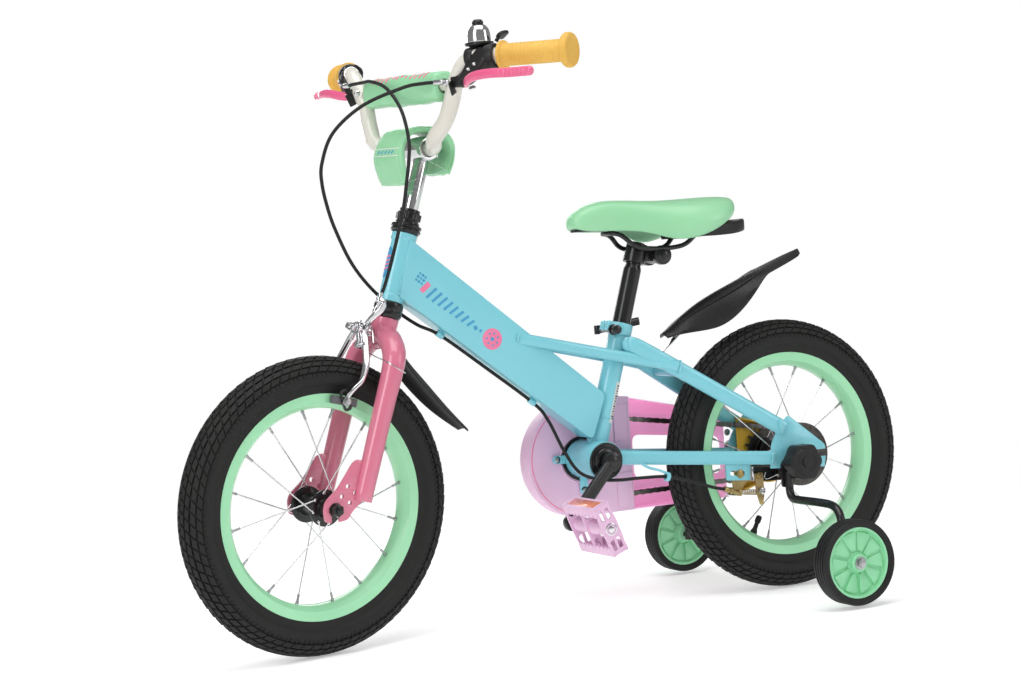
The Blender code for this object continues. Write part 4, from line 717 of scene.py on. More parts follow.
def shoulder_rib(angle, shift):
    rib = block("rib", (0, 0, 0.0251), (0.0018, 0.0050, 0.0014))
    tilt = Matrix.Rotation(-math.radians(angle), 4, "X")
    rib.data.transform(Matrix.Translation((shift, 0, TYRE_RING)) @ tilt)
    return rib


def ring_of(name, pitch_piece, count):
    """Turns copies of one pitch right round the wheel's axis with an array."""
    hand = bpy.data.objects.new("turning_hand", None)
    scene.collection.objects.link(hand)
    hand.rotation_euler = (0, math.tau / count, 0)
    bpy.context.view_layer.update()
    modify(pitch_piece, "ARRAY", use_relative_offset=False, use_object_offset=True, offset_object=hand, count=count)
    remove(hand)
    pitch_piece.name = name
    return pitch_piece


def tread(name):
    pitch = math.tau * WHEEL_RADIUS / TREAD_PITCHES
    pieces = [tread_block(angle, pitch / 2 * (index % 2)) for index, angle in enumerate(TREAD_ROWS)]
    for angle in (-84, 84):
        for shift in (-pitch / 4, pitch / 4):
            pieces.append(shoulder_rib(angle, shift))
    return ring_of(name, join("pitch", pieces), TREAD_PITCHES)


base_tyre = join("tyre", [tyre_carcass("carcass"), tread("tread")])
print("tyre faces", len(base_tyre.data.polygons))

# %% [markdown]
# ## Rims, hubs, spokes and valve
# The rim is a pressed channel, painted mint, with a folded edge on each side. Sixteen chromed spokes run from the hub's
# flanges to their nipples in crossed pairs. The spoke is modelled once, with its head and its nipple, and each copy is
# stretched between its two holes.

# %% One wheel
RIM_HALF_SECTION = [(0.1307, 0.0), (0.1307, 0.0060), (0.1326, 0.0105), (0.1380, 0.0166), (0.1490, 0.0172),
                    (0.1507, 0.0172), (0.1507, 0.0156), (0.1420, 0.0150), (0.1350, 0.0070), (0.1342, 0.0)]
HUB_SECTION = [(0.0056, 0.0340), (0.0098, 0.0340), (0.0125, 0.0325), (0.0125, 0.0275), (0.0136, 0.0258),
               (0.0235, 0.0252), (0.0245, 0.0246), (0.0245, 0.0234), (0.0235, 0.0228), (0.0150, 0.0215),
               (0.0130, 0.0170), (0.0122, 0.0)]
HOLE_RING, NIPPLE_RING = 0.0205, 0.1300
FRONT_VALVE_ANGLE, REAR_VALVE_ANGLE = math.radians(145), math.radians(-62)


def mirror_section(half):
    return half + [(r, -y) for r, y in reversed(half) if y > 0]


def spoke_pairs():
    for side, starts in ((1, (82.5, 172.5, 262.5, 352.5)), (-1, (60, 150, 240, 330))):
        for start in starts:
            yield side, start, start + 45
            yield side, start + 45, start


def build_spokes():
    """All the spokes, and their nipples at the rim."""
    wires, nipples = [], []
    for side, hole, nipple in spoke_pairs():
        at_hub, at_rim = math.radians(hole), math.radians(nipple)
        inner = Vector((HOLE_RING * math.cos(at_hub), side * 0.0262, HOLE_RING * math.sin(at_hub)))
        outer = Vector((NIPPLE_RING * math.cos(at_rim), side * 0.003, NIPPLE_RING * math.sin(at_rim)))
        along = (outer - inner).normalized()
        wires.append(rod("spoke", inner, outer, 0.00095, 0, 10))
        wires.append(ball("spoke_head", inner + Vector((0, side * 0.0003, 0)), (0.0022, 0.0012, 0.0022)))
        nipples.append(rod("nipple", outer - along * 0.0125, outer + along * 0.002, 0.0017, 0.0003, 12))
        nipples.append(rod("nipple_foot", outer - along * 0.0030, outer + along * 0.002, 0.0024, 0.0003, 12))
    return join("spokes", wires), join("nipples", nipples)


def build_valve(angle):
    """A rubber stem that leans out of the rim, with a knurled cap."""
    stem_profile = [(0, 0.1310), (0.0055, 0.1310), (0.0050, 0.1260), (0.0036, 0.1230), (0.0031, 0.1120), (0, 0.1120)]
    stem = lathe("stem", stem_profile, 0.0010, ORIGIN, Z_AXIS, 24, False)
    cap_radius = 0.0042
    cap_profile = [(0, 0.1135), (cap_radius, 0.1135), (cap_radius, 0.1040), (0.0032, 0.1022), (0, 0.1022)]
    cap = lathe("cap", cap_profile, 0.0006, ORIGIN, Z_AXIS, 24, False)
    ribs = [
        block("rib", (x, y, 0.1080), (0.0007, 0.0007, 0.0070), 0, Matrix.Rotation(math.radians(20 * index), 4, "Z"))
        for index, (x, y) in enumerate(circle(0, 0, cap_radius, 18))
    ]
    valve = join("valve", [stem, cap, *ribs])
    valve.data.transform(Matrix.Rotation(math.pi / 2 - angle, 4, "Y"))
    return valve


base_rim = turned("rim", mirror_section(RIM_HALF_SECTION), ORIGIN, Y_AXIS, 120)
base_hub = turned("hub", mirror_section(HUB_SECTION), ORIGIN, Y_AXIS)
base_spokes, base_nipples = build_spokes()


def build_wheel(prefix, axle, body, valve_angle, steered):
    at = Matrix.Translation(axle)
    made = {
        "_tyre_rubber": (copy_of(base_tyre, at), TYRE, "black_rubber", [prefix + "_tyre"]),
        "_rim_painted": (copy_of(base_rim, at), MINT, "mint_paint", [prefix + "_rim"]),
        "_hub_shell": (copy_of(base_hub, at), BLACK_PAINT, "black_paint", [prefix + "_hub_and_spokes"]),
        "_spokes": (copy_of(base_spokes, at), CHROME, "chrome", []),
        "_nipples": (copy_of(base_nipples, at), STEEL, "steel", []),
        "_valve": (build_valve(valve_angle), SOFT_BLACK, "black_rubber", []),
    }
    made["_valve"][0].data.transform(at)
    for suffix, (piece, material, slot, nodes) in made.items():
        piece.name = prefix + suffix
        finish_piece(piece, material, body, nodes, 40, steered)


build_wheel("front", FRONT_AXLE, "front_wheel", FRONT_VALVE_ANGLE, True)
build_wheel("rear", REAR_AXLE, "rear_wheel", REAR_VALVE_ANGLE, False)
remove(base_tyre, base_rim, base_hub, base_spokes, base_nipples)
print("wheels built")

# %% Brake drum and axles
DRUM = [(0.0115, 0.0330), (0.0400, 0.0330), (0.0400, 0.0465), (0.0370, 0.0465), (0.0370, 0.0360), (0.0115, 0.0360)]
drum = lathe("rear_brake_drum", DRUM, 0.0012, REAR_AXLE, Y_AXIS, 64)
finish_piece(drum, DARK_STEEL, "rear_wheel")
THREAD_PITCH = 0.0010


def build_axle(name, centre, dropout_inner, dropout_outer, end, body, steered):
    """The threaded axle with its cones, washers and nuts."""
    x, _, z = centre
    parts = [between_y("rod", x, z, -end, end, 0.0045, 0.0006)]
    cone_end, nut_start, thread_start = dropout_inner - 0.0030, dropout_outer + 0.0013, dropout_outer + 0.0102
    for turn_index in range(int((end - dropout_outer - 0.010) / THREAD_PITCH)):
        for sign in (1, -1):
            y = sign * (thread_start + turn_index * THREAD_PITCH)
            parts.append(between_y("thread", x, z, y - 0.0003, y + 0.0003, 0.0048, 0))
    for sign in (1, -1):
        parts += [
            between_y("cone", x, z, sign * 0.0345, sign * cone_end, 0.0066),
            between_y("locknut", x, z, sign * cone_end, sign * dropout_inner, 0.0082, 0.0005, 6),
            between_y("washer", x, z, sign * dropout_outer, sign * nut_start, 0.0096),
            bolt_head("nut", (x, sign * nut_start, z), (0, sign, 0), 0.0086, 0.0078),
        ]
    axle = join(name + "_threaded", parts)
    finish_piece(axle, BLACK_PAINT, body, [name], 32, steered)


build_axle("front_axle", FRONT_AXLE, 0.0450, 0.0490, 0.0625, "front_end", True)
build_axle("rear_axle", REAR_AXLE, 0.0550, 0.0585, 0.0710, "frame", False)
print("axles built")

# %% [markdown]
# ## Frame
# The frame is steel tube, welded and powder coated in one colour: a deep flat-sided down tube, twin flattened top tubes
# that pass the seat tube and run on as stays, and flat dropouts that hold the rear axle. It is one piece in the hand
# and in the model. Every joint has a bead of weld, made as a thin rippled tube along the seam.

# %% Tubes of the frame
def weld(route, radius=0.0016, closed=True):
    """A rippled bead along the seam."""
    count = len(route)
    ripple = [1.0 + 0.22 * math.sin(index * 1.9) for index in range(count)]
    return tube("weld", route, radius, 2, ripple, closed)


def ring_route(centre, axis, radius, count=48):
    """Points round an axis, for a bead where one tube meets another."""
    turn_matrix = turn_to(axis)
    return [Vector(centre) + turn_matrix @ Vector((x, y, 0)) for x, y in circle(0, 0, radius, count)]


down_outline = rounded([(0.2400, 0.4696), (-0.0430, 0.2502), (-0.0672, 0.3130), (0.2185, 0.5465)], 0.0080, 5, False)
seat_bore = rod("seat_bore", along_seat(0.0300), along_seat(0.1980), 0.0140)
frame_parts = [cut(plate("down_tube", down_outline, 0, 0.018, 0.011, (), 8), [seat_bore])]
HEAD_PROFILE = [(0.0145, -0.0479), (0.0178, -0.0479), (0.0178, -0.0400), (0.0165, -0.0370), (0.0165, 0.0370),
                (0.0178, 0.0400), (0.0178, 0.0475), (0.0145, 0.0475)]
SHELL_HALF = 0.0350
frame_parts += [
    lathe("head_tube", HEAD_PROFILE, 0.0012, HEAD, HEAD_AXIS, 64),
    rod("seat_tube", BRACKET, along_seat(0.1985), 0.0150, 0.0004, 48),
    lathe("collar", tube_wall(0.0134, 0.0175, 0.1820, 0.1992), 0.0010, BRACKET, SEAT_AXIS),
    lathe("shell", tube_wall(0.0245, 0.0275, -SHELL_HALF, SHELL_HALF), 0.0010, BRACKET, Y_AXIS, 64),
    between_y("bridge", -0.182, 0.3355, -0.036, 0.036, 0.006),
]
lug_centre = along_seat(0.1915) + Vector((0.017, 0, 0.005))
for sign in (1, -1):
    frame_parts.append(block("lug_ear", lug_centre + Y_AXIS * (sign * 0.0068), (0.020, 0.0104, 0.014), 0.0022,
                             turn_to(SEAT_AXIS), 3))

STAY_STEPS = 12
TOP_TUBE = [(0.075, 0.012, 0.404), (0.02, 0.0205, 0.391), (-0.0965, 0.0235, 0.364), (-0.1755, 0.0415, 0.345)]
SEATSTAY = [(-0.1070, 0.0205, 0.3810), (-0.1250, 0.0290, 0.3730), (-0.2275, 0.0440, 0.310), (-0.338, 0.0580, 0.242)]
CHAINSTAY = [(-0.060, 0.022, 0.2235), (-0.140, 0.032, 0.216), (-0.240, 0.044, 0.207), (-0.3215, 0.0555, 0.200)]
DROPOUT = rounded([(-0.3135, 0.1850), (-0.3170, 0.2200), (-0.3305, 0.2430), (-0.3480, 0.2610), (-0.4110, 0.2120),
                   (-0.4110, 0.2053)], 0.006, 4, False)
dropout_slot = arc(REAR_AXLE.x, REAR_AXLE.z, 0.0053, 90, -90, 11)
dropout_outline = DROPOUT + dropout_slot + [(-0.4110, 0.1947), (-0.4085, 0.1790)]
stud_hole = circle(STUD.x, STUD.z, 0.0036)[::-1]
for sign in (1, -1):
    for route, width, height in ((TOP_TUBE, 0.005, 0.008), (SEATSTAY, 0.006, 0.0115), (CHAINSTAY, 0.005, 0.010)):
        shape = smooth_route([flip(p, sign) for p in route], STAY_STEPS)
        frame_parts.append(oval_bar("stay", shape, width, height))
    frame_parts.append(ball("stay_end", flip(SEATSTAY[0], sign), (0.0090, 0.0055, 0.0113)))
    frame_parts.append(plate("dropout", dropout_outline, sign * 0.05675, 0.00175, 0.0005, [stud_hole], 2))
tab_outline = rounded([(-0.2440, 0.2065), (-0.2440, 0.1735), (-0.2850, 0.1700), (-0.2860, 0.2035)], 0.0015)
tab_slot = rounded([(-0.2505, 0.1870), (-0.2750, 0.1850), (-0.2750, 0.1780), (-0.2505, 0.1800)], 0.0034, 5)
frame_parts.append(plate("brake_tab", tab_outline, 0.0445, 0.0015, 0.0004, [tab_slot]))
CABLE_STOP = Vector((-0.1435, 0.0470, 0.1895))
STOP_WAY = Vector((-0.95, 0, -0.25))
frame_parts.append(lathe("cable_stop", tube_wall(0.0034, 0.0066, -0.0028, 0.0028), 0.0008, CABLE_STOP, STOP_WAY, 32))
STRAP = [(-0.1080, 0.0280, 0.2150), (-0.1180, 0.0380, 0.2050), (-0.1310, 0.0450, 0.2000), (-0.1430, 0.0470, 0.1948)]
frame_parts.append(oval_bar("stop_strap", smooth_route(STRAP, 8), 0.0030, 0.0018, 0.6, 16))

# %% Tabs that hold the chain guard
TAB_FOOT, TAB_HALF_HEIGHT, TAB_HALF_THICK = 0.0248, 0.0060, 0.0015
tab_rivets = []
for angle, eye in ((2.5, 0.042), (-90.6, 0.046)):
    tab = block("guard_tab", ((TAB_FOOT + eye) / 2, 0, 0), (eye - TAB_FOOT, 2 * TAB_HALF_THICK, 2 * TAB_HALF_HEIGHT),
                0.0006)
    tab_end = between_y("guard_tab_end", eye, 0, -TAB_HALF_THICK, TAB_HALF_THICK, TAB_HALF_HEIGHT)
    rivet = ball("rivet", (eye, 0.0018, 0), (0.0038, 0.0018, 0.0038))
    lift = Matrix.Translation(BRACKET - Y_AXIS * SHELL_HALF) @ Matrix.Rotation(-math.radians(angle), 4, "Y")
    for part in (tab, tab_end, rivet):
        part.data.transform(lift)
    frame_parts += [tab, tab_end]
    tab_rivets.append(rivet)
finish_piece(join("guard_tab_rivets", tab_rivets), STEEL, "frame", [], 35)

# %% Weld beads and the finished frame
beads = [ring_route(along_seat(up), SEAT_AXIS, 0.0152) for up in (0.0275, 0.0620, 0.1500)]
for sign in (1, -1):
    seam = [along_head(-0.037 + 0.0018 * i, -0.0035, sign * 0.0163) for i in range(41)]
    frame_parts.append(weld(seam, 0.0015, False))
    for x, y, z, radius in ((-0.0810, 0.0225, 0.2215, 0.0085), (0.0660, 0.0140, 0.4020, 0.0070),
                            (-0.3150, 0.0550, 0.2005, 0.0085), (-0.3300, 0.0570, 0.2470, 0.0105),
                            (-0.1770, 0.0405, 0.3440, 0.0090)):
        beads.append(ring_route((x, sign * y, z), (-1, sign * 0.12, -0.1 if z < 0.3 else -0.35), radius, 32))
frame_parts += [weld(bead, 0.0012) for bead in beads]
frame_piece = join("frame_welded", frame_parts)
finish_piece(frame_piece, SKY, "frame", ["frame"], 40)
print("frame faces", len(frame_piece.data.polygons))

# %% [markdown]
# ## Fork
# Two straight pink blades drop from the crown, bend out over the tyre and end in flat dropout plates with a row of
# round holes. The blades taper towards the axle and are cut off square over the plates.

# %% Fork
CROWN_PROFILE = [(0.0, -0.0702), (0.0178, -0.0702), (0.0178, -0.0790), (0.0160, -0.0980), (0.0, -0.1010)]
fork_parts = [
    lathe("crown", CROWN_PROFILE, 0.0020, HEAD, HEAD_AXIS, 48, False, 4),
    rod("steerer", along_head(-0.08), along_head(0.0785), 0.0127),
]
LEG_ROUTE = ((-0.092, 0.0, 0.004), (-0.104, 0.001, 0.028), (-0.122, 0.002, 0.0440), (-0.147, 0.003, 0.0490),
             (-0.200, 0.004, 0.0490), (-0.318, 0.005, 0.0490))
PLATE_FRONT = [(0.3180, 0.2560), (0.3370, 0.2630), (0.3440, 0.2600), (0.3690, 0.2280), (0.3880, 0.2130),
               (0.3920, 0.2030), (0.3905, 0.1855), (0.3810, 0.1835)]
PLATE_SLOT = [(0.3804, 0.2000), *arc(FRONT_AXLE.x, FRONT_AXLE.z, 0.0054, 30, 150, 9), (0.3696, 0.2000)]
PLATE_BACK = [(0.3690, 0.1835), (0.3560, 0.1850), (0.3490, 0.1950), (0.3340, 0.2060), (0.3220, 0.2150)]
plate_outline = rounded(PLATE_FRONT, 0.005, 4, False) + PLATE_SLOT + rounded(PLATE_BACK, 0.005, 4, False)
PLATE_HOLES = ((0.3545, 0.2290), (0.3435, 0.2190), (0.3640, 0.2165), (0.3525, 0.2070))
holes = [circle(x, z, 0.0030, 20)[::-1] for x, z in PLATE_HOLES]
for sign in (1, -1):
    leg_route = smooth_route([along_head(u, f, sign * s) for u, f, s in LEG_ROUTE], 10)
    last = len(leg_route) - 1
    taper = [1.0 - 0.20 * max(0.0, i / last - 0.4) / 0.6 for i in range(last + 1)]
    fork_parts.append(ease(tube("leg", leg_route, 0.0158, 8, taper), 0.0012, 2, 60))
    fork_parts.append(plate("fork_plate", plate_outline, sign * 0.0470, 0.0020, 0.0005, holes, 2))
    fork_parts.append(weld(ring_route(along_head(-0.0985, 0.0, sign * 0.0165), (0, sign, -0.30), 0.0150), 0.0011))
fork = join("fork_welded", fork_parts)
finish_piece(fork, PINK, "front_end", ["fork"], 40, True)
print("fork faces", len(fork.data.polygons))

# %% [markdown]
# ## Handlebar and stem
# One bent steel tube with a crossbar, painted cream, in a chromed quill stem. The bar's route is drawn once, as half of
# its length, and mirrored.

# %% Bar, stem and headset
BAR_RADIUS = 0.011
BAR_ROUTE = [
    (0.187, 0.000, 0.6685), (0.187, 0.0250, 0.6685), (0.1995, 0.0500, 0.6705), (0.2129, 0.0723, 0.6800),
    (0.2088, 0.0934, 0.7023), (0.2058, 0.1049, 0.7273), (0.2062, 0.1141, 0.7451), (0.2046, 0.1400, 0.7766),
    (0.1835, 0.1830, 0.7810), (0.1385, 0.2760, 0.7815),
]
CROSSBAR = Vector((0.206, 0, 0.7480))
CLAMP = Vector((0.187, 0, 0.6685))


def bar_tube(radius, per_span=8):
    left = smooth_route(BAR_ROUTE[1:], per_span)
    right = [flip(p, -1) for p in reversed(left)]
    return tube("bar", right + left, radius, 6)


bar_parts = [bar_tube(BAR_RADIUS), rod("crossbar", CROSSBAR - Y_AXIS * 0.114, CROSSBAR + Y_AXIS * 0.114, 0.0070)]
for sign in (1, -1):
    bar_parts.append(weld(ring_route(CROSSBAR + Y_AXIS * (sign * 0.1035), (0, sign, 0.1), 0.0078, 32), 0.0010))
finish_piece(join("handlebar_bent", bar_parts), CREAM, "front_end", ["handlebar"], 40, True)

CLAMP_PROFILE = [(0.0116, -0.0210), (0.0160, -0.0210), (0.0168, -0.0150), (0.0168, 0.0150), (0.0160, 0.0210),
                 (0.0116, 0.0210)]
stem_parts = [
    rod("quill", along_head(0.015), along_head(0.1640), 0.0109, 0.0006, 48),
    lathe("clamp", CLAMP_PROFILE, 0.0015, CLAMP, Y_AXIS),
    block("clamp_ears", CLAMP + Vector((-0.0135, 0, -0.006)), (0.014, 0.026, 0.018), 0.002),
    rod("wedge_head", along_head(0.160), along_head(0.1830, -0.004), 0.0095, 0.0015),
    between_y("pinch_bolt", CLAMP.x - 0.0165, CLAMP.z - 0.009, -0.0150, 0.0150, 0.0035, 0.0005, 24),
]
for height in (0.030, 0.105, 0.112):
    stem_parts.append(lathe("line", tube_wall(0.0107, 0.0111, height, height + 0.0006), 0.0001, HEAD, HEAD_AXIS))
finish_piece(join("quill_stem", stem_parts), CHROME, "front_end", ["stem"], 40, True)

HEADSET = {
    "headset_lower_cup": ([(0.0133, -0.0482), (0.0190, -0.0482), (0.0200, -0.0520), (0.0200, -0.0580),
                           (0.0192, -0.0590), (0.0192, -0.0605), (0.0200, -0.0615), (0.0198, -0.0660),
                           (0.0180, -0.0699), (0.0133, -0.0699)], "frame"),
    "headset_upper_cup": ([(0.0133, 0.0478), (0.0186, 0.0478), (0.0190, 0.0500), (0.0208, 0.0508), (0.0208, 0.0535),
                           (0.0192, 0.0541), (0.0192, 0.0552), (0.0210, 0.0560), (0.0210, 0.0592),
                           (0.0188, 0.0602), (0.0168, 0.0612), (0.0168, 0.0640), (0.0133, 0.0640)], "frame"),
    "headset_locknut": ([(0.0133, 0.0640), (0.0150, 0.0640), (0.0150, 0.0660), (0.0160, 0.0668), (0.0160, 0.0765),
                         (0.0142, 0.0775), (0.0142, 0.0815), (0.0133, 0.0815)], "front_end"),
}
for node, (profile, body) in HEADSET.items():
    cup = lathe(node + "_turned", profile, 0.0007, HEAD, HEAD_AXIS, 64)
    if node == "headset_locknut":
        lobes = [rod("lobe", along_head(0.0668) + spot, along_head(0.0762) + spot, 0.0034, 0.0008, 16) for spot in
                 (Matrix.Rotation(math.tau * i / 8, 3, HEAD_AXIS) @ (AHEAD * 0.0142) for i in range(8))]
        cup = join(cup.name, [cup, *lobes])
    finish_piece(cup, BLACK_PAINT, body, [node], 30, body == "front_end")
print("bar, stem and headset built")

# %% [markdown]
# ## Grips
# Moulded yellow rubber with a flange at the inner end, fine finger rings along the barrel and a round bumper at the
# outer end. The rings are part of the turned outline.

# %% Grips
FINGER_RINGS = 22


def build_grip(side, sign):
    start, end = (flip(p, sign) for p in BAR_ROUTE[-2:])
    length = (end - start).length
    face, barrel, groove = length + 0.0025, 0.0146, 0.0141
    profile = rounded([(0.0, face - 0.0012), (0.0150, face - 0.0012), (0.0165, face), (0.0205, face),
                       (0.0224, face - 0.0030), (0.0224, face - 0.0080), (0.0205, face - 0.0105),
                       (barrel, face - 0.0120)], 0.0010, 3, False)
    for index in range(FINGER_RINGS):
        height = face - 0.0165 - index * (face - 0.034) / FINGER_RINGS
        profile += [(barrel, height + 0.0012), (groove, height + 0.0004), (groove, height - 0.0004),
                    (barrel, height - 0.0012)]
    profile += rounded([(0.0147, 0.0125), (0.0165, 0.0100), (0.0190, 0.0085), (0.0190, 0.0045), (0.0115, 0.0040),
                        (0.0115, length + 0.0004), (0.0, length + 0.0004)], 0.0008, 3, False)
    grip = turned("grip_ringed_" + side, profile, start, (end - start).normalized(), 64, False)
    finish_piece(grip, YELLOW_RUBBER, "front_end", ["grip_" + side], 40, True)


for side, sign in SIDES:
    build_grip(side, sign)
print("grips built")

# %% [markdown]
# ## Brake levers
# A broad black moulding wraps the bar and tapers forward and down to a nose with a chromed cable adjuster. It is
# lofted through rounded boxes. The pink blade leaves the nose, humps along the grip and ends in a ball.

# %% Levers
LEVER_PIVOT = Vector((0.2000, 0.1400, 0.7510))
LEVER_AXIS = Vector((0.488, 0.236, 0.840)).normalized()
BLADE_ROUTE = [(0.2060, 0.1400, 0.7480), (0.2160, 0.1560, 0.7500), (0.2200, 0.1780, 0.7545),
               (0.2170, 0.2050, 0.7560), (0.2050, 0.2350, 0.7555), (0.1925, 0.2600, 0.7560)]
# centre of each section, half its width along the bar and half its thickness
BRACKET_SECTIONS = [((0.1780, 0.1700, 0.7850), 0.0120, 0.0060), ((0.1835, 0.1690, 0.7830), 0.0150, 0.0125),
                    ((0.1921, 0.1670, 0.7793), 0.0155, 0.0150), ((0.1985, 0.1630, 0.7725), 0.0150, 0.0125),
                    ((0.2040, 0.1550, 0.7640), 0.0130, 0.0100), ((0.2055, 0.1440, 0.7560), 0.0105, 0.0088),
                    ((0.2080, 0.1330, 0.7520), 0.0088, 0.0082), ((0.2115, 0.1215, 0.7512), 0.0080, 0.0078),
                    ((0.2120, 0.1200, 0.7510), 0.0066, 0.0064)]
BARREL_PROFILE = [(0.0, 0.0), (0.0046, 0.0), (0.0046, 0.0050), (0.0036, 0.0060), (0.0036, 0.0085), (0.0042, 0.0090),
                  (0.0042, 0.0130), (0.0028, 0.0140), (0.0, 0.0140)]


def pillow_ring(centre, across, up, half_across, half_up, power, count=40):
    """A closed ring of rounded-box section."""
    outline = [squared(math.tau * index / count, half_across, half_up, power) for index in range(count)]
    return [Vector(centre) + across * u + up * v for u, v in outline]


def loft(name, rings):
    """A closed skin through rings that have the same count of points."""
    count = len(rings[0])
    points = [tuple(p) for ring in rings for p in ring]
    faces = []
    for row in range(len(rings) - 1):
        for i in range(count):
            j = (i + 1) % count
            faces.append((row * count + i, row * count + j, (row + 1) * count + j, (row + 1) * count + i))
    faces.append(tuple(range(count)))
    faces.append(tuple(range((len(rings) - 1) * count, len(rings) * count)))
    mesh = bpy.data.meshes.new(name)
    mesh.from_pydata(points, [], faces)
    return clean(link(name, mesh))


def heading_at(route, index):
    """The way a route runs at one of its points."""
    return (route[min(index + 1, len(route) - 1)] - route[max(index - 1, 0)]).normalized()


def bracket_body(sign, along):
    centres = [flip(spot, sign) for spot, _, _ in BRACKET_SECTIONS]
    rings = []
    for index, (_, wide, thick) in enumerate(BRACKET_SECTIONS):
        heading = heading_at(centres, index)
        across = (along - heading * along.dot(heading)).normalized()
        rings.append(pillow_ring(centres[index], across, heading.cross(across), wide, thick, 0.6))
    return loft("body", rings)


def build_lever(side, sign):
    bar = [flip(p, sign) for p in BAR_ROUTE]
    seat = bar[-3].lerp(bar[-2], 0.80)
    along = (bar[-2] - bar[-3]).normalized()
    pivot, axis = flip(LEVER_PIVOT, sign), flip(LEVER_AXIS, sign)
    nose_tip = pivot + Vector((0.012, -sign * 0.020, 0.0))
    pull = (nose_tip - (pivot + Vector((0.000, sign * 0.006, 0.001)))).normalized()
    ear = seat + Vector((-0.013, 0, -0.010))
    parts = [
        lathe("clamp", tube_wall(0.0115, 0.0165, -0.0070, 0.0070), 0.0012, seat, along, 40),
        bracket_body(sign, along),
        block("slot_lip", nose_tip + Vector((0.004, 0.004 * sign, -0.0070)), (0.016, 0.018, 0.0022), 0.0008,
              turn_to(pull)),
        block("clamp_ear", ear, (0.010, 0.009, 0.012), 0.002, turn_to(along)),
    ]
    bracket = join("lever_bracket_" + side, parts)
    finish_piece(bracket, BLACK_PLASTIC, "front_end", ["brake_lever_bracket_" + side], 35, True)
    metal = [
        lathe("barrel", BARREL_PROFILE, 0.0003, nose_tip - pull * 0.001, pull, 16, False, 2),
        bolt_head("pivot_bolt", pivot + axis * 0.0088, axis, 0.0050, 0.0020),
        bolt_head("pivot_nut", pivot - axis * 0.0088, -axis, 0.0050, 0.0024),
        bolt_head("clamp_bolt", ear + along * 0.0045, along, 0.0034, 0.0016),
        bolt_head("reach_screw", flip((0.2105, 0.1660, 0.7700), sign), axis, 0.0026, 0.0030),
        bolt_head("lid_screw", flip((0.2135, 0.1570, 0.7640), sign), axis, 0.0028, 0.0030),
    ]
    finish_piece(join("lever_bolts_" + side, metal), CHROME, "front_end", [], 30, True)
    shape = smooth_route(BLADE_ROUTE, 10)
    blade = oval_bar("blade", shape, 0.0036, 0.0062, 0.8, 20)
    ridges = [block("ridge", spot + Vector((0.0034, 0.0005, 0)), (0.0016, 0.0018, 0.0090), 0.0006,
                    Matrix.Rotation(math.radians(30), 4, "Z")) for spot in shape[-3:-17:-2]]
    blade = join("lever_blade_" + side, [blade, ball("tip", shape[-1], (0.0052, 0.0052, 0.0062)), *ridges])
    if sign < 0:
        blade.data.transform(Matrix.Diagonal((1, -1, 1, 1)))
        blade.data.flip_normals()
    finish_piece(blade, PINK_BLADE, side + "_brake_lever", ["brake_lever_" + side], 40, True)


for side, sign in SIDES:
    build_lever(side, sign)
print("levers built")

# %% [markdown]
# ## Bell
# A tall chromed dome on a black base with a dished rim, a black cap on top and a wing-shaped thumb lever.

# %% Bell
BELL = Vector((0.1900, 0.1500, 0.7960))
BELL_UP = Vector((0.06, 0.0, 1.0)).normalized()
bell_foot = smooth_route(BAR_ROUTE[1:], 4)[25]
bar_way = (Vector(BAR_ROUTE[-2]) - Vector(BAR_ROUTE[-3])).normalized()
DISH_PROFILE = [(0.0, -0.0055), (0.0080, -0.0055), (0.0100, -0.0010), (0.0180, 0.0002), (0.0192, 0.0026),
                (0.0184, 0.0046), (0.0168, 0.0036), (0.0, 0.0030)]
DOME_PROFILE = [(0.0148, 0.0042), (0.0156, 0.0048), (0.0154, 0.0090), (0.0151, 0.0150), (0.0138, 0.0205),
                (0.0105, 0.0250), (0.0072, 0.0272), (0.0, 0.0280)]
CAP_PROFILE = [(0.0, 0.0268), (0.0074, 0.0268), (0.0074, 0.0305), (0.0050, 0.0335), (0.0, 0.0340)]
bell_base = join("bell_dish", [
    lathe("dish", DISH_PROFILE, 0.0008, BELL, BELL_UP, 48, False),
    lathe("collar", tube_wall(0.0113, 0.0137, -0.0055, 0.0055), 0.0008, bell_foot, bar_way, 40),
    rod("neck", BELL - BELL_UP * 0.003, bell_foot + BELL_UP * 0.011, 0.0065, 0.0010),
])
finish_piece(bell_base, BLACK_PLASTIC, "front_end", ["bell_base"], 35, True)
dome = lathe("bell_dome_spun", DOME_PROFILE, 0.0015, BELL, BELL_UP, 64, False, 4)
finish_piece(dome, CHROME, "front_end", ["bell_dome"], 40, True)
bell_cap = lathe("bell_cap", CAP_PROFILE, 0.0012, BELL, BELL_UP, 32, False, 4)
finish_piece(bell_cap, BLACK_PLASTIC, "front_end", [], 35, True)
THUMB_PIVOT = BELL + Vector((-0.0150, 0.0160, 0.0))
tilt = Matrix.Rotation(math.radians(25), 4, "X")
wing_outline = rounded([(-0.007, -0.010), (0.006, -0.008), (0.008, 0.004), (0.003, 0.010), (-0.006, 0.009)], 0.004, 4)
wing = plate("wing", wing_outline, 0, 0.0014, 0.0006, (), 2)
wing.data.transform(Matrix.Translation(THUMB_PIVOT + Vector((-0.0060, 0.0060, 0.0125))) @ tilt
                    @ Matrix.Rotation(-math.pi / 2, 4, "X"))
stalk = rod("stalk", THUMB_PIVOT + Vector((0, 0, 0.0042)), THUMB_PIVOT + Vector((-0.004, 0.0035, 0.0125)), 0.0026)
finish_piece(join("bell_thumb_wing", [wing, stalk]), BLACK_PLASTIC, "bell_lever",
             ["bell_thumb"], 35, True)
print("bell built")

# %% [markdown]
# ## Saddle
# A soft saddle is a foam body under one skin of mint vinyl, pulled over a plastic base and stapled beneath. Its shape
# is a long crowned loft, from the narrow nose to the wide seat, whose flanks roll under. The loft is built from a
# few sections, closed and smoothed with subdivision.

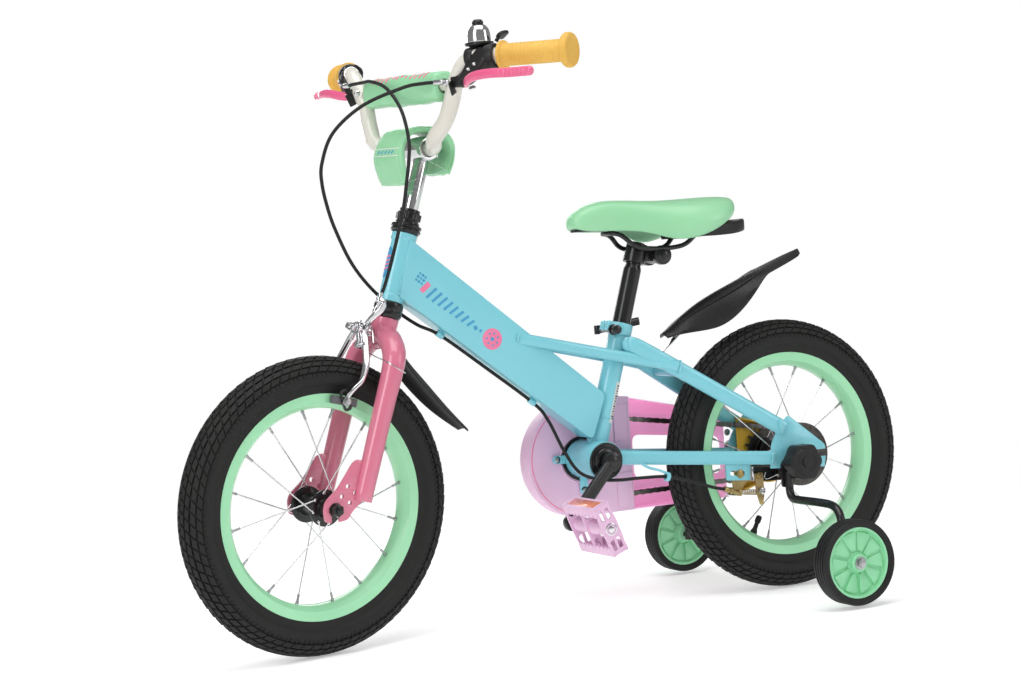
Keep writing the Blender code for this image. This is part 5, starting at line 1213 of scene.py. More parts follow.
# %% Saddle cover
SADDLE_STATIONS = [
    # x, half width, top, side height, underside
    (-0.0340, 0.010, 0.5660, 0.5600, 0.5510), (-0.0440, 0.020, 0.5740, 0.5620, 0.5455),
    (-0.0660, 0.025, 0.5860, 0.5680, 0.5430), (-0.0990, 0.028, 0.5885, 0.5700, 0.5430),
    (-0.1400, 0.040, 0.5860, 0.5650, 0.5400), (-0.1700, 0.056, 0.5845, 0.5540, 0.5260),
    (-0.2000, 0.068, 0.5850, 0.5500, 0.5240), (-0.2350, 0.074, 0.5865, 0.5560, 0.5340),
    (-0.2650, 0.068, 0.5870, 0.5650, 0.5500), (-0.2840, 0.050, 0.5860, 0.5730, 0.5600),
    (-0.2910, 0.032, 0.5830, 0.5760, 0.5670),
]
SADDLE_FLOOR = 0.5480


def saddle_ring(x, half, top, side, under):
    floor_height = max(under, SADDLE_FLOOR)
    right_half = [
        (0, top), (half * 0.45, top - 0.0008), (half * 0.82, top - (top - side) * 0.26), (half, side),
        (half, side * 0.45 + under * 0.55), (half * 0.94, under), (half * 0.84, under + 0.0010),
        (half * 0.70, floor_height), (half * 0.35, floor_height), (0, floor_height),
    ]
    left_half = [(-y, z) for y, z in reversed(right_half[1:-1])]
    return [Vector((x, y, z)) for y, z in right_half + left_half]


cover = loft("saddle_skin", [saddle_ring(*station) for station in SADDLE_STATIONS])
modify(cover, "SUBSURF", levels=3, render_levels=3)
finish_piece(cover, VINYL, "seat", ["saddle_cover"], 60)
print("saddle faces", len(cover.data.polygons))

# %% Saddle base, handle, rails and post
base_rings = []
for x, half, _, _, under in SADDLE_STATIONS[1:-1]:
    top, wide = max(under, SADDLE_FLOOR) - 0.0003, half * 0.66
    low = top - 0.003
    section = ((wide, top), (wide, low), (0, low), (-wide, low), (-wide, top), (0, top))
    base_rings.append([(x, y, z) for y, z in section])
HANDLE = [(-0.2150, 0.0450, 0.5375), (-0.2500, 0.0455, 0.5375), (-0.2800, 0.0430, 0.5390),
          (-0.3020, 0.0320, 0.5420), (-0.3150, 0.0150, 0.5440)]
handle_left = smooth_route(HANDLE, 8)
handle_route = handle_left + [flip(p, -1) for p in reversed(handle_left)]
saddle_pan = join("saddle_pan", [loft("pan", base_rings), oval_bar("handle", handle_route, 0.0045, 0.0085, 0.45, 28)])
finish_piece(saddle_pan, BLACK_PLASTIC, "seat", ["saddle_base"], 35)

SADDLE_BOLT = Vector((-0.173, 0, 0.5055))
clamp_side = rounded([(0.0, 0.0300), (0.0060, 0.0300), (0.0060, 0.0278), (0.0095, 0.0262), (0.0095, 0.0250),
                      (0.0140, 0.0235), (0.0140, 0.0150), (0.0118, 0.0140), (0.0118, 0.0)], 0.0006, 2, False)
clamp_profile = clamp_side + [(p[0], -p[1]) for p in reversed(clamp_side[:-1])]
seat_parts = [
    turned("saddle_clamp", clamp_profile, SADDLE_BOLT, Y_AXIS, 48, False),
    lathe("post_collar", tube_wall(0.0116, 0.0160, 0.2890, 0.3170), 0.0010, BRACKET, SEAT_AXIS),
    block("link", SADDLE_BOLT + Vector((0.017, 0, 0.001)), (0.020, 0.022, 0.020), 0.003),
    between_y("rail_link", -0.0965, 0.5405, -0.0145, 0.0145, 0.0035),
]
for sign in (1, -1):
    rail = [(-0.0950, 0.012, 0.5408), (-0.1100, 0.016, 0.5380), (-0.1280, 0.0230, 0.5185), (-0.1560, 0.0240, 0.5150),
            (-0.1900, 0.0240, 0.5150), (-0.2100, 0.027, 0.5185), (-0.2250, 0.032, 0.5330)]
    seat_parts.append(tube("rail", rounded([flip(p, sign) for p in rail], 0.012, 6, False), 0.0035, 4))
    seat_parts.append(bolt_head("clamp_nut", SADDLE_BOLT + Y_AXIS * (sign * 0.0290), (0, sign, 0), 0.0058, 0.0016))
    for index, (x, z) in enumerate(circle(SADDLE_BOLT.x, SADDLE_BOLT.z, 0.0128)):
        seat_parts.append(block("tooth", (x, sign * 0.0238, z), (0.0016, 0.0012, 0.0010), 0,
                                Matrix.Rotation(-math.tau * index / 24, 4, "Y")))
finish_piece(join("saddle_clamp_and_rails", seat_parts), BLACK_PAINT, "seat", ["saddle_frame"], 32)
POST_PROFILE = [(0.0, 0.0950), (0.0130, 0.0950), (0.0130, 0.2800), (0.0110, 0.2860), (0.0110, 0.3190), (0.0, 0.3190)]
post = [lathe("post", POST_PROFILE, 0.0010, BRACKET, SEAT_AXIS, 64, False)]
for index in range(5):
    mark = 0.1450 + 0.012 * index
    post.append(turned("mark", tube_wall(0.01295, 0.01308, mark, mark + 0.0006), BRACKET, SEAT_AXIS, 64))
finish_piece(join("seat_post_tube", post), BLACK_PAINT, "seat", ["seat_post"], 32)

QR_PIN = Vector((-0.0888, -0.0335, 0.4034))
skewer = join("seat_skewer_bolt", [
    between_y("skewer", QR_PIN.x, QR_PIN.z, -0.0290, 0.0230, 0.0028),
    between_y("cap", QR_PIN.x, QR_PIN.z, 0.0155, 0.0280, 0.0065, 0.0014),
    between_y("washer", QR_PIN.x, QR_PIN.z, 0.0125, 0.0155, 0.0078),
])
finish_piece(skewer, BLACK_PAINT, "frame", ["seat_skewer"], 32)
lever_route = smooth_route([QR_PIN, QR_PIN + Vector((-0.030, -0.003, 0.003)), (-0.1610, -0.0380, 0.4116)], 10)
seat_lever = join("seat_lever_cam", [
    rod("cam", QR_PIN - Vector((0, 0, 0.0065)), QR_PIN + Vector((0, 0, 0.0065)), 0.0044, 0.0010),
    oval_bar("lever", lever_route, 0.0030, 0.0058, 0.6, 20),
])
finish_piece(seat_lever, BLACK_PAINT, "seat_clamp_lever", ["seat_lever"], 32)
print("seat built")

# %% [markdown]
# ## Stabilisers
# A bent steel arm hangs from the dropout under a lobed hand knob and carries a small wheel: a hard black tyre with
# three grooves round a mint hub, whose face is a fan of ten raised sectors inside a rim lip.

# %% Stabilisers
STABILISER = Vector((-0.327, 0.229, 0.0635))
GROOVES = (-0.0082, -0.0028, 0.0028, 0.0082)


def stabiliser_tyre():
    crown, groove = 0.0595, 0.0583
    wall = [(0.0500, 0.0120), (0.0552, 0.0148), (0.0580, 0.0144), (crown, 0.0115)]
    profile = [(r, -y) for r, y in wall]
    for middle in GROOVES:
        profile += [(crown, middle - 0.0009), (groove, middle - 0.0006), (groove, middle + 0.0006),
                    (crown, middle + 0.0009)]
    return turned("small_tyre", profile + wall[::-1], ORIGIN, Y_AXIS, 96)


def stabiliser_hub():
    """A dished disc with a lip, and ten raised fan sectors on each face."""
    half = [(0.0044, 0.0140), (0.0105, 0.0140), (0.0125, 0.0128), (0.0130, 0.0070), (0.0160, 0.0040),
            (0.0430, 0.0046), (0.0448, 0.0060), (0.0460, 0.0112), (0.0492, 0.0112), (0.0492, 0.0)]
    parts = [turned("disc", mirror_section(half), ORIGIN, Y_AXIS, 80)]
    fan_y, fan_slope = 0.0050, 0.0055
    for middle in range(0, 360, 36):
        sector = [*arc(0, 0, 0.0425, middle - 14.5, middle + 14.5, 9), *arc(0, 0, 0.0165, middle + 10, middle - 10, 4)]
        for sign in (1, -1):
            fan = plate("fan", sector, sign * fan_y, 0.0018, 0.0009, (), 2)
            for point in fan.data.vertices:
                turn_share = math.atan2(point.co.z, point.co.x) - math.radians(middle)
                turn_share = math.atan2(math.sin(turn_share), math.cos(turn_share))
                if sign * point.co.y > fan_y:
                    point.co.y += sign * turn_share * fan_slope
            parts.append(fan)
    return join("small_hub", parts)


small_tyre, small_hub = stabiliser_tyre(), stabiliser_hub()

# %% Arms and knobs
LEG_POINTS = [
    (-0.3380, 0.0665, 0.1790), (-0.3378, 0.0668, 0.1640), (-0.3374, 0.0680, 0.1490), (-0.3370, 0.0740, 0.1410),
    (-0.3365, 0.0860, 0.1390), (-0.3355, 0.1500, 0.1390), (-0.3345, 0.1760, 0.1370), (-0.3335, 0.1900, 0.1290),
    (-0.3310, 0.1990, 0.1150), (-0.3280, 0.2045, 0.0900), (-0.3270, 0.2050, 0.0560),
]
arm_outline = rounded([(-0.3610, 0.2010), (-0.3530, 0.2060), (-0.3420, 0.2040), (-0.3290, 0.1900), (-0.3290, 0.1560),
                       (-0.3470, 0.1560), (-0.3610, 0.1850)], 0.004, 4)
KNOB_RADIUS, LOBE_DEPTH, LOBE_STEPS = 0.0255, 0.0015, 96
lobes = []
for index in range(LOBE_STEPS):
    angle = math.tau * index / LOBE_STEPS
    radius = KNOB_RADIUS + LOBE_DEPTH * math.cos(6 * angle)
    lobes.append((STUD.x + radius * math.cos(angle), STUD.z + radius * math.sin(angle)))
KNOB_DISH = [(0.0, 0.0975), (0.0062, 0.0975), (0.0070, 0.0968), (0.0070, 0.0945), (0.0085, 0.0938), (0.0150, 0.0945),
             (0.0165, 0.0958), (0.0195, 0.0958), (0.0205, 0.0940), (0.0, 0.0900)]
for side, sign in SIDES:
    centre = flip(STABILISER, sign)
    tyre_piece = copy_of(small_tyre, Matrix.Translation(centre))
    tyre_piece.name = "stabiliser_tread_" + side
    finish_piece(tyre_piece, SOFT_BLACK, side + "_stabiliser_wheel", ["stabiliser_tyre_" + side], 40)
    hub_piece = copy_of(small_hub, Matrix.Translation(centre))
    hub_piece.name = "stabiliser_fan_" + side
    finish_piece(hub_piece, MINT_PLASTIC, side + "_stabiliser_wheel", ["stabiliser_hub_" + side], 30)
    arm = join("stabiliser_bent_arm_" + side, [
        plate("arm_plate", arm_outline, sign * 0.0605, 0.0016, 0.0004, [stud_hole]),
        ease(tube("leg", smooth_route([flip(p, sign) for p in LEG_POINTS], 5), 0.0060, 6), 0.0010, 2, 60),
        between_y("axle", centre.x, centre.z, sign * 0.2030, sign * 0.2470, 0.0040),
    ])
    finish_piece(arm, BLACK_PAINT, "frame", ["stabiliser_arm_" + side], 32)
    nut_parts = [
        bolt_head("axle_nut", (centre.x, sign * 0.2432, centre.z), (0, sign, 0), 0.0066, 0.0048),
        between_y("washer", centre.x, centre.z, sign * 0.2430, sign * 0.2442, 0.0088),
    ]
    finish_piece(join("stabiliser_axle_nut_" + side, nut_parts), STEEL, "frame", [], 30)
    knob_parts = [
        plate("knob", lobes, sign * 0.0840, 0.0110, 0.0035, (), 4),
        lathe("dish", [(r, sign * y) for r, y in KNOB_DISH], 0.0006, STUD, Y_AXIS, 48, False, 2),
        between_y("boss", STUD.x, STUD.z, sign * 0.0625, sign * 0.0750, 0.0080),
        between_y("stud", STUD.x, STUD.z, sign * 0.0520, sign * 0.0640, 0.0030),
    ]
    finish_piece(join("stabiliser_lobed_knob_" + side, knob_parts), BLACK_PLASTIC, "frame",
                 ["stabiliser_knob_" + side], 32)
remove(small_tyre, small_hub)
print("stabilisers built")

# %% [markdown]
# ## Chain and sprockets
# A real chain: rollers half an inch apart, held by inner and outer plates in turn. One roller and one pair of plates
# of each kind are modelled, and copies of them are laid along the belt's own line, which is two arcs and two
# straight runs. The sprockets are toothed outlines.

# %% Chain
CHAINRING_TEETH, SPROCKET_TEETH, CHAIN_PITCH, DISC_HALF = 30, 18, 0.0127, 0.0013


def pitch_radius(teeth):
    return CHAIN_PITCH / 2 / math.sin(math.pi / teeth)


def belt_points(step_count):
    """Evenly spaced points (x, z) along the chain's line, and the line's length."""
    front, rear = pitch_radius(CHAINRING_TEETH), pitch_radius(SPROCKET_TEETH)
    run = REAR_AXLE - BRACKET
    heading = math.degrees(math.atan2(run.z, run.x))
    lean = math.degrees(math.asin((front - rear) / run.length))
    front_arc = arc(BRACKET.x, BRACKET.z, front, heading + 90 - lean, heading + 270 + lean, 181)
    rear_arc = arc(REAR_AXLE.x, REAR_AXLE.z, rear, heading - 90 + lean, heading + 90 - lean, 121)
    line = [Vector((x, 0, z)) for x, z in front_arc + rear_arc]
    line.append(line[0])
    spans = [(b - a).length for a, b in zip(line, line[1:])]
    whole = sum(spans)
    points, index, passed = [], 0, 0.0
    for step in range(step_count):
        wanted = whole * step / step_count
        while passed + spans[index] < wanted:
            passed += spans[index]
            index += 1
        points.append(line[index].lerp(line[index + 1], (wanted - passed) / spans[index]))
    return points, whole


def link_plate(name, offset):
    """A chain plate: two round ends and a waist, half a pitch to each side of its middle."""
    half, end, waist = CHAIN_PITCH / 2, 0.0040, 0.0030
    outline = [*arc(half, 0, end, -120, 120, 9), (0, waist), *arc(-half, 0, end, 60, 300, 9), (0, -waist)]
    return join(name, [plate(name, outline, side * offset, 0.0005, 0) for side in (1, -1)])


_, belt_length = belt_points(2)
LINKS = 2 * round(belt_length / CHAIN_PITCH / 2)
belt, _ = belt_points(LINKS)
inner_link, outer_link = link_plate("inner", 0.0020), link_plate("outer", 0.0031)
roller = join("roller", [between_y("roller", 0, 0, -0.0015, 0.0015, 0.0038, 0, 14),
                         between_y("pin", 0, 0, -0.0041, 0.0041, 0.0018, 0, 10)])
chain_parts = []
side_shift = Y_AXIS * CHAIN_Y
for index, spot in enumerate(belt):
    after = belt[(index + 1) % LINKS]
    slope = math.atan2(after.z - spot.z, after.x - spot.x)
    chain_parts.append(copy_of(roller, Matrix.Translation(spot + side_shift)))
    kind = outer_link if index % 2 else inner_link
    place = Matrix.Translation((spot + after) / 2 + side_shift) @ Matrix.Rotation(-slope, 4, "Y")
    chain_parts.append(copy_of(kind, place))
finish_piece(join("chain_links", chain_parts), DARK_STEEL, "frame", ["chain"], 30)
remove(inner_link, outer_link, roller)


# %% Chainring and sprocket
def toothed(name, teeth, centre, holes):
    """A sprocket's disc: each tooth rises from its root to a blunt tip."""
    root, tip = pitch_radius(teeth) - 0.0038, pitch_radius(teeth) + 0.0030
    outline = []
    for index in range(teeth):
        for share, radius in ((-0.25, root), (-0.10, tip), (0.10, tip), (0.25, root)):
            angle = math.tau * (index + share) / teeth
            outline.append((centre.x + radius * math.cos(angle), centre.z + radius * math.sin(angle)))
    return plate(name, outline, CHAIN_Y, DISC_HALF, 0.0003, holes)


ring_holes = [circle(BRACKET.x, BRACKET.z, 0.0083)[::-1]]
ring_holes += [circle(x, z, 0.012)[::-1] for x, z in circle(BRACKET.x, BRACKET.z, 0.034, 5)]
finish_piece(toothed("chainring_toothed", CHAINRING_TEETH, BRACKET, ring_holes), STEEL, "crankset",
             ["chainring"], 30)
COG_BORE = 0.0138
cog = join("sprocket_toothed", [
    toothed("cog", SPROCKET_TEETH, REAR_AXLE, [circle(REAR_AXLE.x, REAR_AXLE.z, COG_BORE)[::-1]]),
    lathe("body", tube_wall(COG_BORE, 0.0230, 0.0015, 0.0062), 0.0006, REAR_AXLE + side_shift, Y_AXIS),
])
finish_piece(cog, DARK_STEEL, "freewheel", ["freewheel_sprocket"], 30)
print(LINKS, "links")

# %% [markdown]
# ## Chain guard
# Three plastic mouldings: a lavender case round the chainring, a pink channel along the chain with a long slot and
# stepped ribs, and a yellow tail round the sprocket. Each wall is a flat outline, and a rim stands round the edge.

# %% Guard's case
def guard_outline(radius, end_x):
    half = radius * 0.975
    return [(end_x, BRACKET.z + half), *arc(BRACKET.x, BRACKET.z, radius, 102, -102, 61), (end_x, BRACKET.z - half)]


GUARD_SPLIT_X, GUARD_Y = -0.1360, -0.0513
case = plate("case", guard_outline(0.0850, GUARD_SPLIT_X), GUARD_Y, 0.0137, 0.0030, (), 4)
case_parts = [cut(case, [
    plate("hollow", guard_outline(0.0830, -0.156), GUARD_Y, 0.0121, 0.0012, (), 2),
    between_y("inner_hole", BRACKET.x, BRACKET.z, -0.0500, -0.0300, 0.0300),
    between_y("outer_hole", BRACKET.x, BRACKET.z, -0.0700, -0.0560, 0.0150),
])]
for radius, y in ((0.0345, -0.0368), (0.0790, -0.0654), (0.0600, -0.0655)):
    top = y + math.copysign(0.0008, y - GUARD_Y)
    ridge = [(radius - 0.0012, y), (radius + 0.0012, y), (radius + 0.0006, top), (radius - 0.0006, top)]
    case_parts.append(lathe("ridge", ridge, 0.0003, BRACKET, Y_AXIS, 96))
for x, width, lift in ((-0.1210, 0.0250, 0.0010), (-0.1095, 0.0022, 0.0018), (-0.1320, 0.0022, 0.0018)):
    for z, height in ((0.2660, 0.0540), (0.1680, 0.0500)):
        case_parts.append(block("step", (x, -0.0376 + lift / 2, z), (width, lift + 0.0006, height), 0.0006))
finish_piece(join("guard_case_moulded", case_parts), LAVENDER, "frame", ["chain_guard_case"], 35)
collar = lathe("guard_collar", tube_wall(0.0282, 0.0318, -0.0374, -0.0354), 0.0004, BRACKET, Y_AXIS, 64)
finish_piece(collar, BLACK_PLASTIC, "frame", [], 35)
edge_line = [(x, -0.0377, z) for x, z in arc(BRACKET.x, BRACKET.z, 0.0800, -75, 75, 61)]
finish_piece(tube("guard_edge_line", edge_line, 0.0008, 2), PRINT_PINK, "frame", [], 35)

# %% Guard's channel and tail
GUARD_WALL_Y = -0.0626
slot_hole = rounded([(-0.150, 0.246), (-0.150, 0.178), (-0.304, 0.171), (-0.304, 0.230)], 0.014, 6)
wall = [(-0.1370, 0.3010), (-0.3120, 0.2627), (-0.3120, 0.1385), (-0.1370, 0.1375)]
channel_parts = [plate("wall", wall, GUARD_WALL_Y, 0.0009, 0.0003, [slot_hole])]
for (x0, z0), (x1, z1), lift in (((-0.1370, 0.3010), (-0.2600, 0.2740), -0.0016),
                                 ((-0.1370, 0.1375), (-0.3000, 0.1384), 0.0016)):
    lip = [(x0, z0), (x1, z1), (x1, z1 + lift), (x0, z0 + lift)]
    channel_parts.append(plate("lip", lip, -0.0505, 0.0128, 0.0003))
rim = [(x, GUARD_WALL_Y + 0.0014, z) for x, z in slot_hole]
channel_parts.append(tube("slot_rim", rim, 0.0016, 3, None, True))
for z0, z1 in ((0.2780, 0.2560), (0.2640, 0.2440), (0.1660, 0.1620)):
    step_line = [(-0.1385, GUARD_WALL_Y + 0.0010, z0), (-0.3080, GUARD_WALL_Y + 0.0010, z1)]
    channel_parts.append(oval_bar("step", step_line, 0.0016, 0.0024, 0.5, 12))
# the channel's pink plastic glows with a painted glow, an emission in place of light through its thin wall
finish_piece(join("guard_channel_moulded", channel_parts), PINK_PLASTIC_PAINTED_GLOW, "frame",
             ["chain_guard_channel"], 35)

tail_outline = [(-0.3260, 0.2560), *arc(REAR_AXLE.x, REAR_AXLE.z, 0.0470, 75, 285, 49), (-0.3260, 0.1440)]
tail_hollow = [(-0.3100, 0.2575), *arc(REAR_AXLE.x, REAR_AXLE.z, 0.0455, 75, 285, 49), (-0.3100, 0.1430)]
tail = plate("tail", tail_outline, -0.0430, 0.0062, 0.0016, (), 3)
tail = cut(tail, [plate("hollow", tail_hollow, -0.0418, 0.0062, 0.0006),
                  between_y("hole", REAR_AXLE.x, REAR_AXLE.z, -0.06, -0.04, 0.0150)])
finish_piece(tail, YELLOW_PLASTIC, "frame", ["chain_guard_tail"], 35)
screws = []
for x, z in ((-0.3180, 0.2330), (-0.3180, 0.1600)):
    screws.append(ball("screw", (x, -0.0612, z), (0.0042, 0.0012, 0.0042)))
    screws.append(between_y("hub", x, z, -0.0618, -0.0608, 0.0052, 0.0003, 24))
finish_piece(join("guard_screws", screws), STEEL, "frame", [], 35)
print("guard built")

# %% [markdown]
# ## Cranks and pedals
# Black painted cranks in a black bearing cup with rings pressed into its face. The pedals are lavender mouldings: a
# barrel for the spindle, a cage with scalloped lips round it, and an orange reflector in the front and back walls.

# %% Bearing cups and cranks
CUP_PROFILE = [(0.0088, 0.0353), (0.0262, 0.0353), (0.0262, 0.0372), (0.0240, 0.0385), (0.0222, 0.0374),
               (0.0206, 0.0386), (0.0188, 0.0376), (0.0172, 0.0392), (0.0150, 0.0400), (0.0130, 0.0405),
               (0.0088, 0.0405)]
cups = [
    lathe("cup_left", CUP_PROFILE, 0.0006, BRACKET, Y_AXIS, 64),
    lathe("cup_right", tube_wall(0.0088, 0.0255, -0.0353, -0.0366), 0.0004, BRACKET, Y_AXIS, 64),
    turned("sleeve", tube_wall(0.0190, 0.0235, -0.0360, 0.0360), BRACKET, Y_AXIS),
]
finish_piece(join("bracket_cups", cups), BLACK_PAINT, "frame", ["bottom_bracket"], 32)

CRANK_REACH = Vector((0.08003, 0, -0.075028))
crank_parts = [between_y("axle", BRACKET.x, BRACKET.z, -0.0700, 0.0560, 0.0080)]
for _, sign in SIDES:
    end = BRACKET + CRANK_REACH * sign
    inner, outer = {1: (0.0520, 0.0730), -1: (-0.0735, -0.0810)}[sign]
    root, tip = Vector((BRACKET.x, inner, BRACKET.z)), Vector((end.x, outer, end.z))
    middle = root.lerp(tip, 0.5)
    crank_parts += [
        oval_bar("arm", smooth_route([root, middle, tip], 8), 0.0055, 0.0095, 0.6, 24),
        rod("boss", root - Y_AXIS * 0.0065, root + Y_AXIS * 0.0065, 0.0135, 0.0016),
        rod("boss_nut", root - Y_AXIS * sign * 0.0060, root + Y_AXIS * sign * 0.0082, 0.0085, 0.0012, 6),
        rod("eye", tip - Y_AXIS * 0.0060, tip + Y_AXIS * 0.0060, 0.0120, 0.0020),
        rod("spindle", tip, (end.x, sign * 0.1760, end.z), 0.0045),
    ]
finish_piece(join("crank_forged", crank_parts), BLACK_PAINT, "crankset", ["crank"], 32)

# %% Pedals
PEDAL_TILT = {"left": math.radians(68), "right": math.radians(20)}


def pedal_cage():
    """The cage of a level pedal about its spindle, from y = 0.091 to 0.183, and its two reflectors."""
    near, far, middle = 0.0910, 0.1830, 0.1370
    barrel_profile = [(0.0052, near), (0.0105, near), (0.0092, near + 0.010), (0.0098, near + 0.022),
                      (0.0086, near + 0.026), (0.0104, middle - 0.004), (0.0104, middle + 0.008),
                      (0.0086, far - 0.026), (0.0094, far - 0.016), (0.0120, far - 0.008), (0.0120, far),
                      (0.0052, far)]
    parts = [lathe("barrel", barrel_profile, 0.0012, ORIGIN, Y_AXIS, 40)]
    for end in (1, -1):
        parts.append(block("wall", (end * 0.0335, middle, 0), (0.0030, far - near, 0.0225), 0.0008))
        for height in (1, -1):
            parts.append(block("lip", (end * 0.0305, middle, height * 0.0106), (0.0105, far - near, 0.0036), 0.0012))
            parts.append(block("rim", (end * 0.0350, middle, height * 0.0100), (0.0022, far - near, 0.0040), 0.0008))
            for index in range(9):
                y = near + 0.007 + index * (far - near - 0.014) / 8
                parts.append(rod("scallop", (end * 0.0256, y, height * 0.0088), (end * 0.0256, y, height * 0.0125),
                                 0.0040, 0.0006, 20))
        for y in (near + 0.0040, far - 0.0060):
            parts.append(block("rim_end", (end * 0.0350, y, 0), (0.0022, 0.0080, 0.0200), 0.0006))
    side_outline = rounded([(-0.0335, -0.0105), (-0.0335, 0.0105), (-0.0130, 0.0124), (0.0130, 0.0124),
                            (0.0335, 0.0105), (0.0335, -0.0105), (0.0130, -0.0124), (-0.0130, -0.0124)], 0.0040, 5)
    windows = [rounded([(end * x, z) for x, z in window], 0.0016) for end in (1, -1) for window in (
        [(0.0125, 0.0020), (0.0150, 0.0085), (0.0290, 0.0075), (0.0290, 0.0010)],
        [(0.0130, -0.0020), (0.0290, -0.0025), (0.0290, -0.0080), (0.0155, -0.0090)])]
    for y in (near + 0.0022, middle, far - 0.0022):
        parts.append(plate("side", side_outline, y, 0.0018, 0.0006, windows))
    reflectors = [block("reflector", (end * 0.0346, middle - 0.001, 0), (0.0020, 0.0720, 0.0155), 0.0006)
                  for end in (1, -1)]
    return join("cage", parts), join("reflectors", reflectors)


cage, reflectors = pedal_cage()
END_PROFILE = [(0.0, 0.1812), (0.0086, 0.1812), (0.0086, 0.1832), (0.0070, 0.1836), (0.0066, 0.1820), (0.0050, 0.1820),
               (0.0046, 0.1836), (0.0, 0.1838)]
end_cap = lathe("end_cap", END_PROFILE, 0.0003, ORIGIN, Y_AXIS, 32, False, 2)
for side, sign in SIDES:
    swing = Matrix.Translation(BRACKET + CRANK_REACH * sign) @ Matrix.Rotation(-PEDAL_TILT[side], 4, "Y")
    place = swing @ Matrix.Diagonal((1, sign, 1, 1))
    for base, name, material, slot, nodes in (
        (cage, "pedal_cage_", LAVENDER, "lavender_plastic", ["pedal_" + side]),
        (reflectors, "pedal_reflectors_", ORANGE, "yellow_plastic", []),
        (end_cap, "pedal_spindle_end_", CHROME, "chrome", []),
    ):
        made = copy_of(base, place)
        made.name = name + side
        finish_piece(made, material, side + "_pedal", nodes, 32)
remove(cage, reflectors, end_cap)
print("cranks and pedals built")

# %% [markdown]
# ## Mudguards
# Both guards are one thin black shell, crowned across and shaped along. The rear one widens into a deep keel at its
# front, where two rivets hold the chromed strut, and ends in a round tip; a crease runs along its flank.

# %% Mudguards
def blade(name, route, half_width, drop, thick, across=13):
    """A shell whose cross-sections bow down by drop at their edges."""
    rings = []
    last = len(route) - 1
    for index, spot in enumerate(route):
        t = index / last
        up = Y_AXIS.cross(heading_at(route, index))
        up = up * math.copysign(1, up.z)
        width, bow = max(half_width(t), 0.003), max(drop(t), 0.0008)
        top = []
        for j in range(across):
            s = -1 + 2 * j / (across - 1)
            top.append(spot + Y_AXIS * (width * s) - up * (bow * abs(s) ** 2.0))
        rings.append([p + up * thick for p in top] + [p - up * thick for p in reversed(top)])
    return ease(loft(name, rings), 0.0005, 2, 50)


TIP_START, TIP_SPAN = 0.90, 0.10


def rear_width(t):
    tip = math.sqrt(max(0.0, 1 - ((t - TIP_START) / TIP_SPAN) ** 2)) if t > TIP_START else 1.0
    return (0.010 + 0.022 * math.sin(math.pi * min(t * 1.05, 1.0)) ** 0.6 * (1 - 0.3 * t)) * max(tip, 0.25)


def rear_drop(t):
    return 0.006 + 0.034 * math.sin(math.pi * min(t * 1.7, 1.0)) ** 1.4


REAR_GUARD = [(-0.1768, 0, 0.3906), (-0.2405, 0, 0.4318), (-0.3230, 0, 0.4662), (-0.3863, 0, 0.4903),
              (-0.4225, 0, 0.5030)]
guard_line = smooth_route(REAR_GUARD, 14)
rear_guard = blade("rear_guard", guard_line, rear_width, rear_drop, 0.0012, 17)
for sign in (1, -1):
    crease = []
    for index, spot in enumerate(guard_line[3:36], 3):
        t = index / (len(guard_line) - 1)
        s = 0.35 + 0.45 * t
        crease.append(spot + Y_AXIS * (sign * s * rear_width(t))
                      + Vector((0.35, 0, -0.94)) * (rear_drop(t) * s * s) + Vector((-0.35, sign * 0.4, 0.94)) * 0.0007)
    fade = [math.sin(math.pi * i / (len(crease) - 1)) ** 0.5 * 0.9 + 0.1 for i in range(len(crease))]
    rear_guard = join("rear_guard", [rear_guard, tube("crease", crease, 0.0013, 3, fade)])
rear_guard.name = "rear_mudguard_blade"
finish_piece(rear_guard, BLACK_PLASTIC, "frame", ["rear_mudguard"], 40)
STRUT = [(-0.1850, 0, 0.3440), (-0.1770, 0, 0.3560), (-0.1760, 0, 0.3660), (-0.1955, 0, 0.3820), (-0.2330, 0, 0.4135)]
strut_parts = [oval_bar("strut", smooth_route(STRUT, 10), 0.0060, 0.0011, 0.35, 16)]
for x, z in ((-0.2010, 0.3880), (-0.2230, 0.4065)):
    strut_parts.append(ball("rivet", (x, 0, z), (0.0045, 0.0045, 0.0030)))
finish_piece(join("rear_mudguard_strut_bent", strut_parts), CHROME, "frame", ["rear_mudguard_strut"], 35)

FRONT_GUARD = [(0.2400, 0, 0.4010), (0.2220, 0, 0.3770), (0.1960, 0, 0.3480), (0.1640, 0, 0.3130), (0.1310, 0, 0.2800)]


def front_share(t):
    return math.sin(math.pi * (0.08 + 0.88 * t))


front_guard = blade("front_mudguard_blade", smooth_route(FRONT_GUARD, 12), lambda t: 0.010 + 0.014 * front_share(t),
                    lambda t: 0.003 + 0.010 * front_share(t), 0.0011)
finish_piece(front_guard, BLACK_PLASTIC, "front_end", ["front_mudguard"], 40, True)
print("mudguards built")

# %% [markdown]
# ## Front caliper brake
# A side-pull caliper: two plated arms hang on one bolt through the crown, cross below it and hold the shoes at the
# rim. The left arm's upper end holds the cable's adjuster and the right arm's end pinches the wire. A hairpin spring
# lies behind them. The arms are flat forgings, so they are swept with an oval section, each about its own eye.

# %% Caliper
CALIPER_UP = -0.094
SHOE_ANGLE = math.radians(104)
SHOE_WAY = Vector((math.cos(SHOE_ANGLE), 0, math.sin(SHOE_ANGLE)))
SHOE_TURN = Matrix.Rotation(math.radians(90) - SHOE_ANGLE, 4, "Y")
UPPER_ENDS = {"left": (-0.058, 0.0310, 0.026), "right": (-0.1155, 0.0345, 0.006)}
CARRIER_LOOP = rounded([(-0.0062, -0.0150), (0.0062, -0.0150), (0.0062, 0.0150), (-0.0062, 0.0150)], 0.0060, 5)
CARRIER_SLOT = rounded([(-0.0030, 0.0115), (0.0030, 0.0115), (0.0030, -0.0115), (-0.0030, -0.0115)], 0.0029, 5)


def on_bolt(ahead):
    return along_head(CALIPER_UP, ahead)


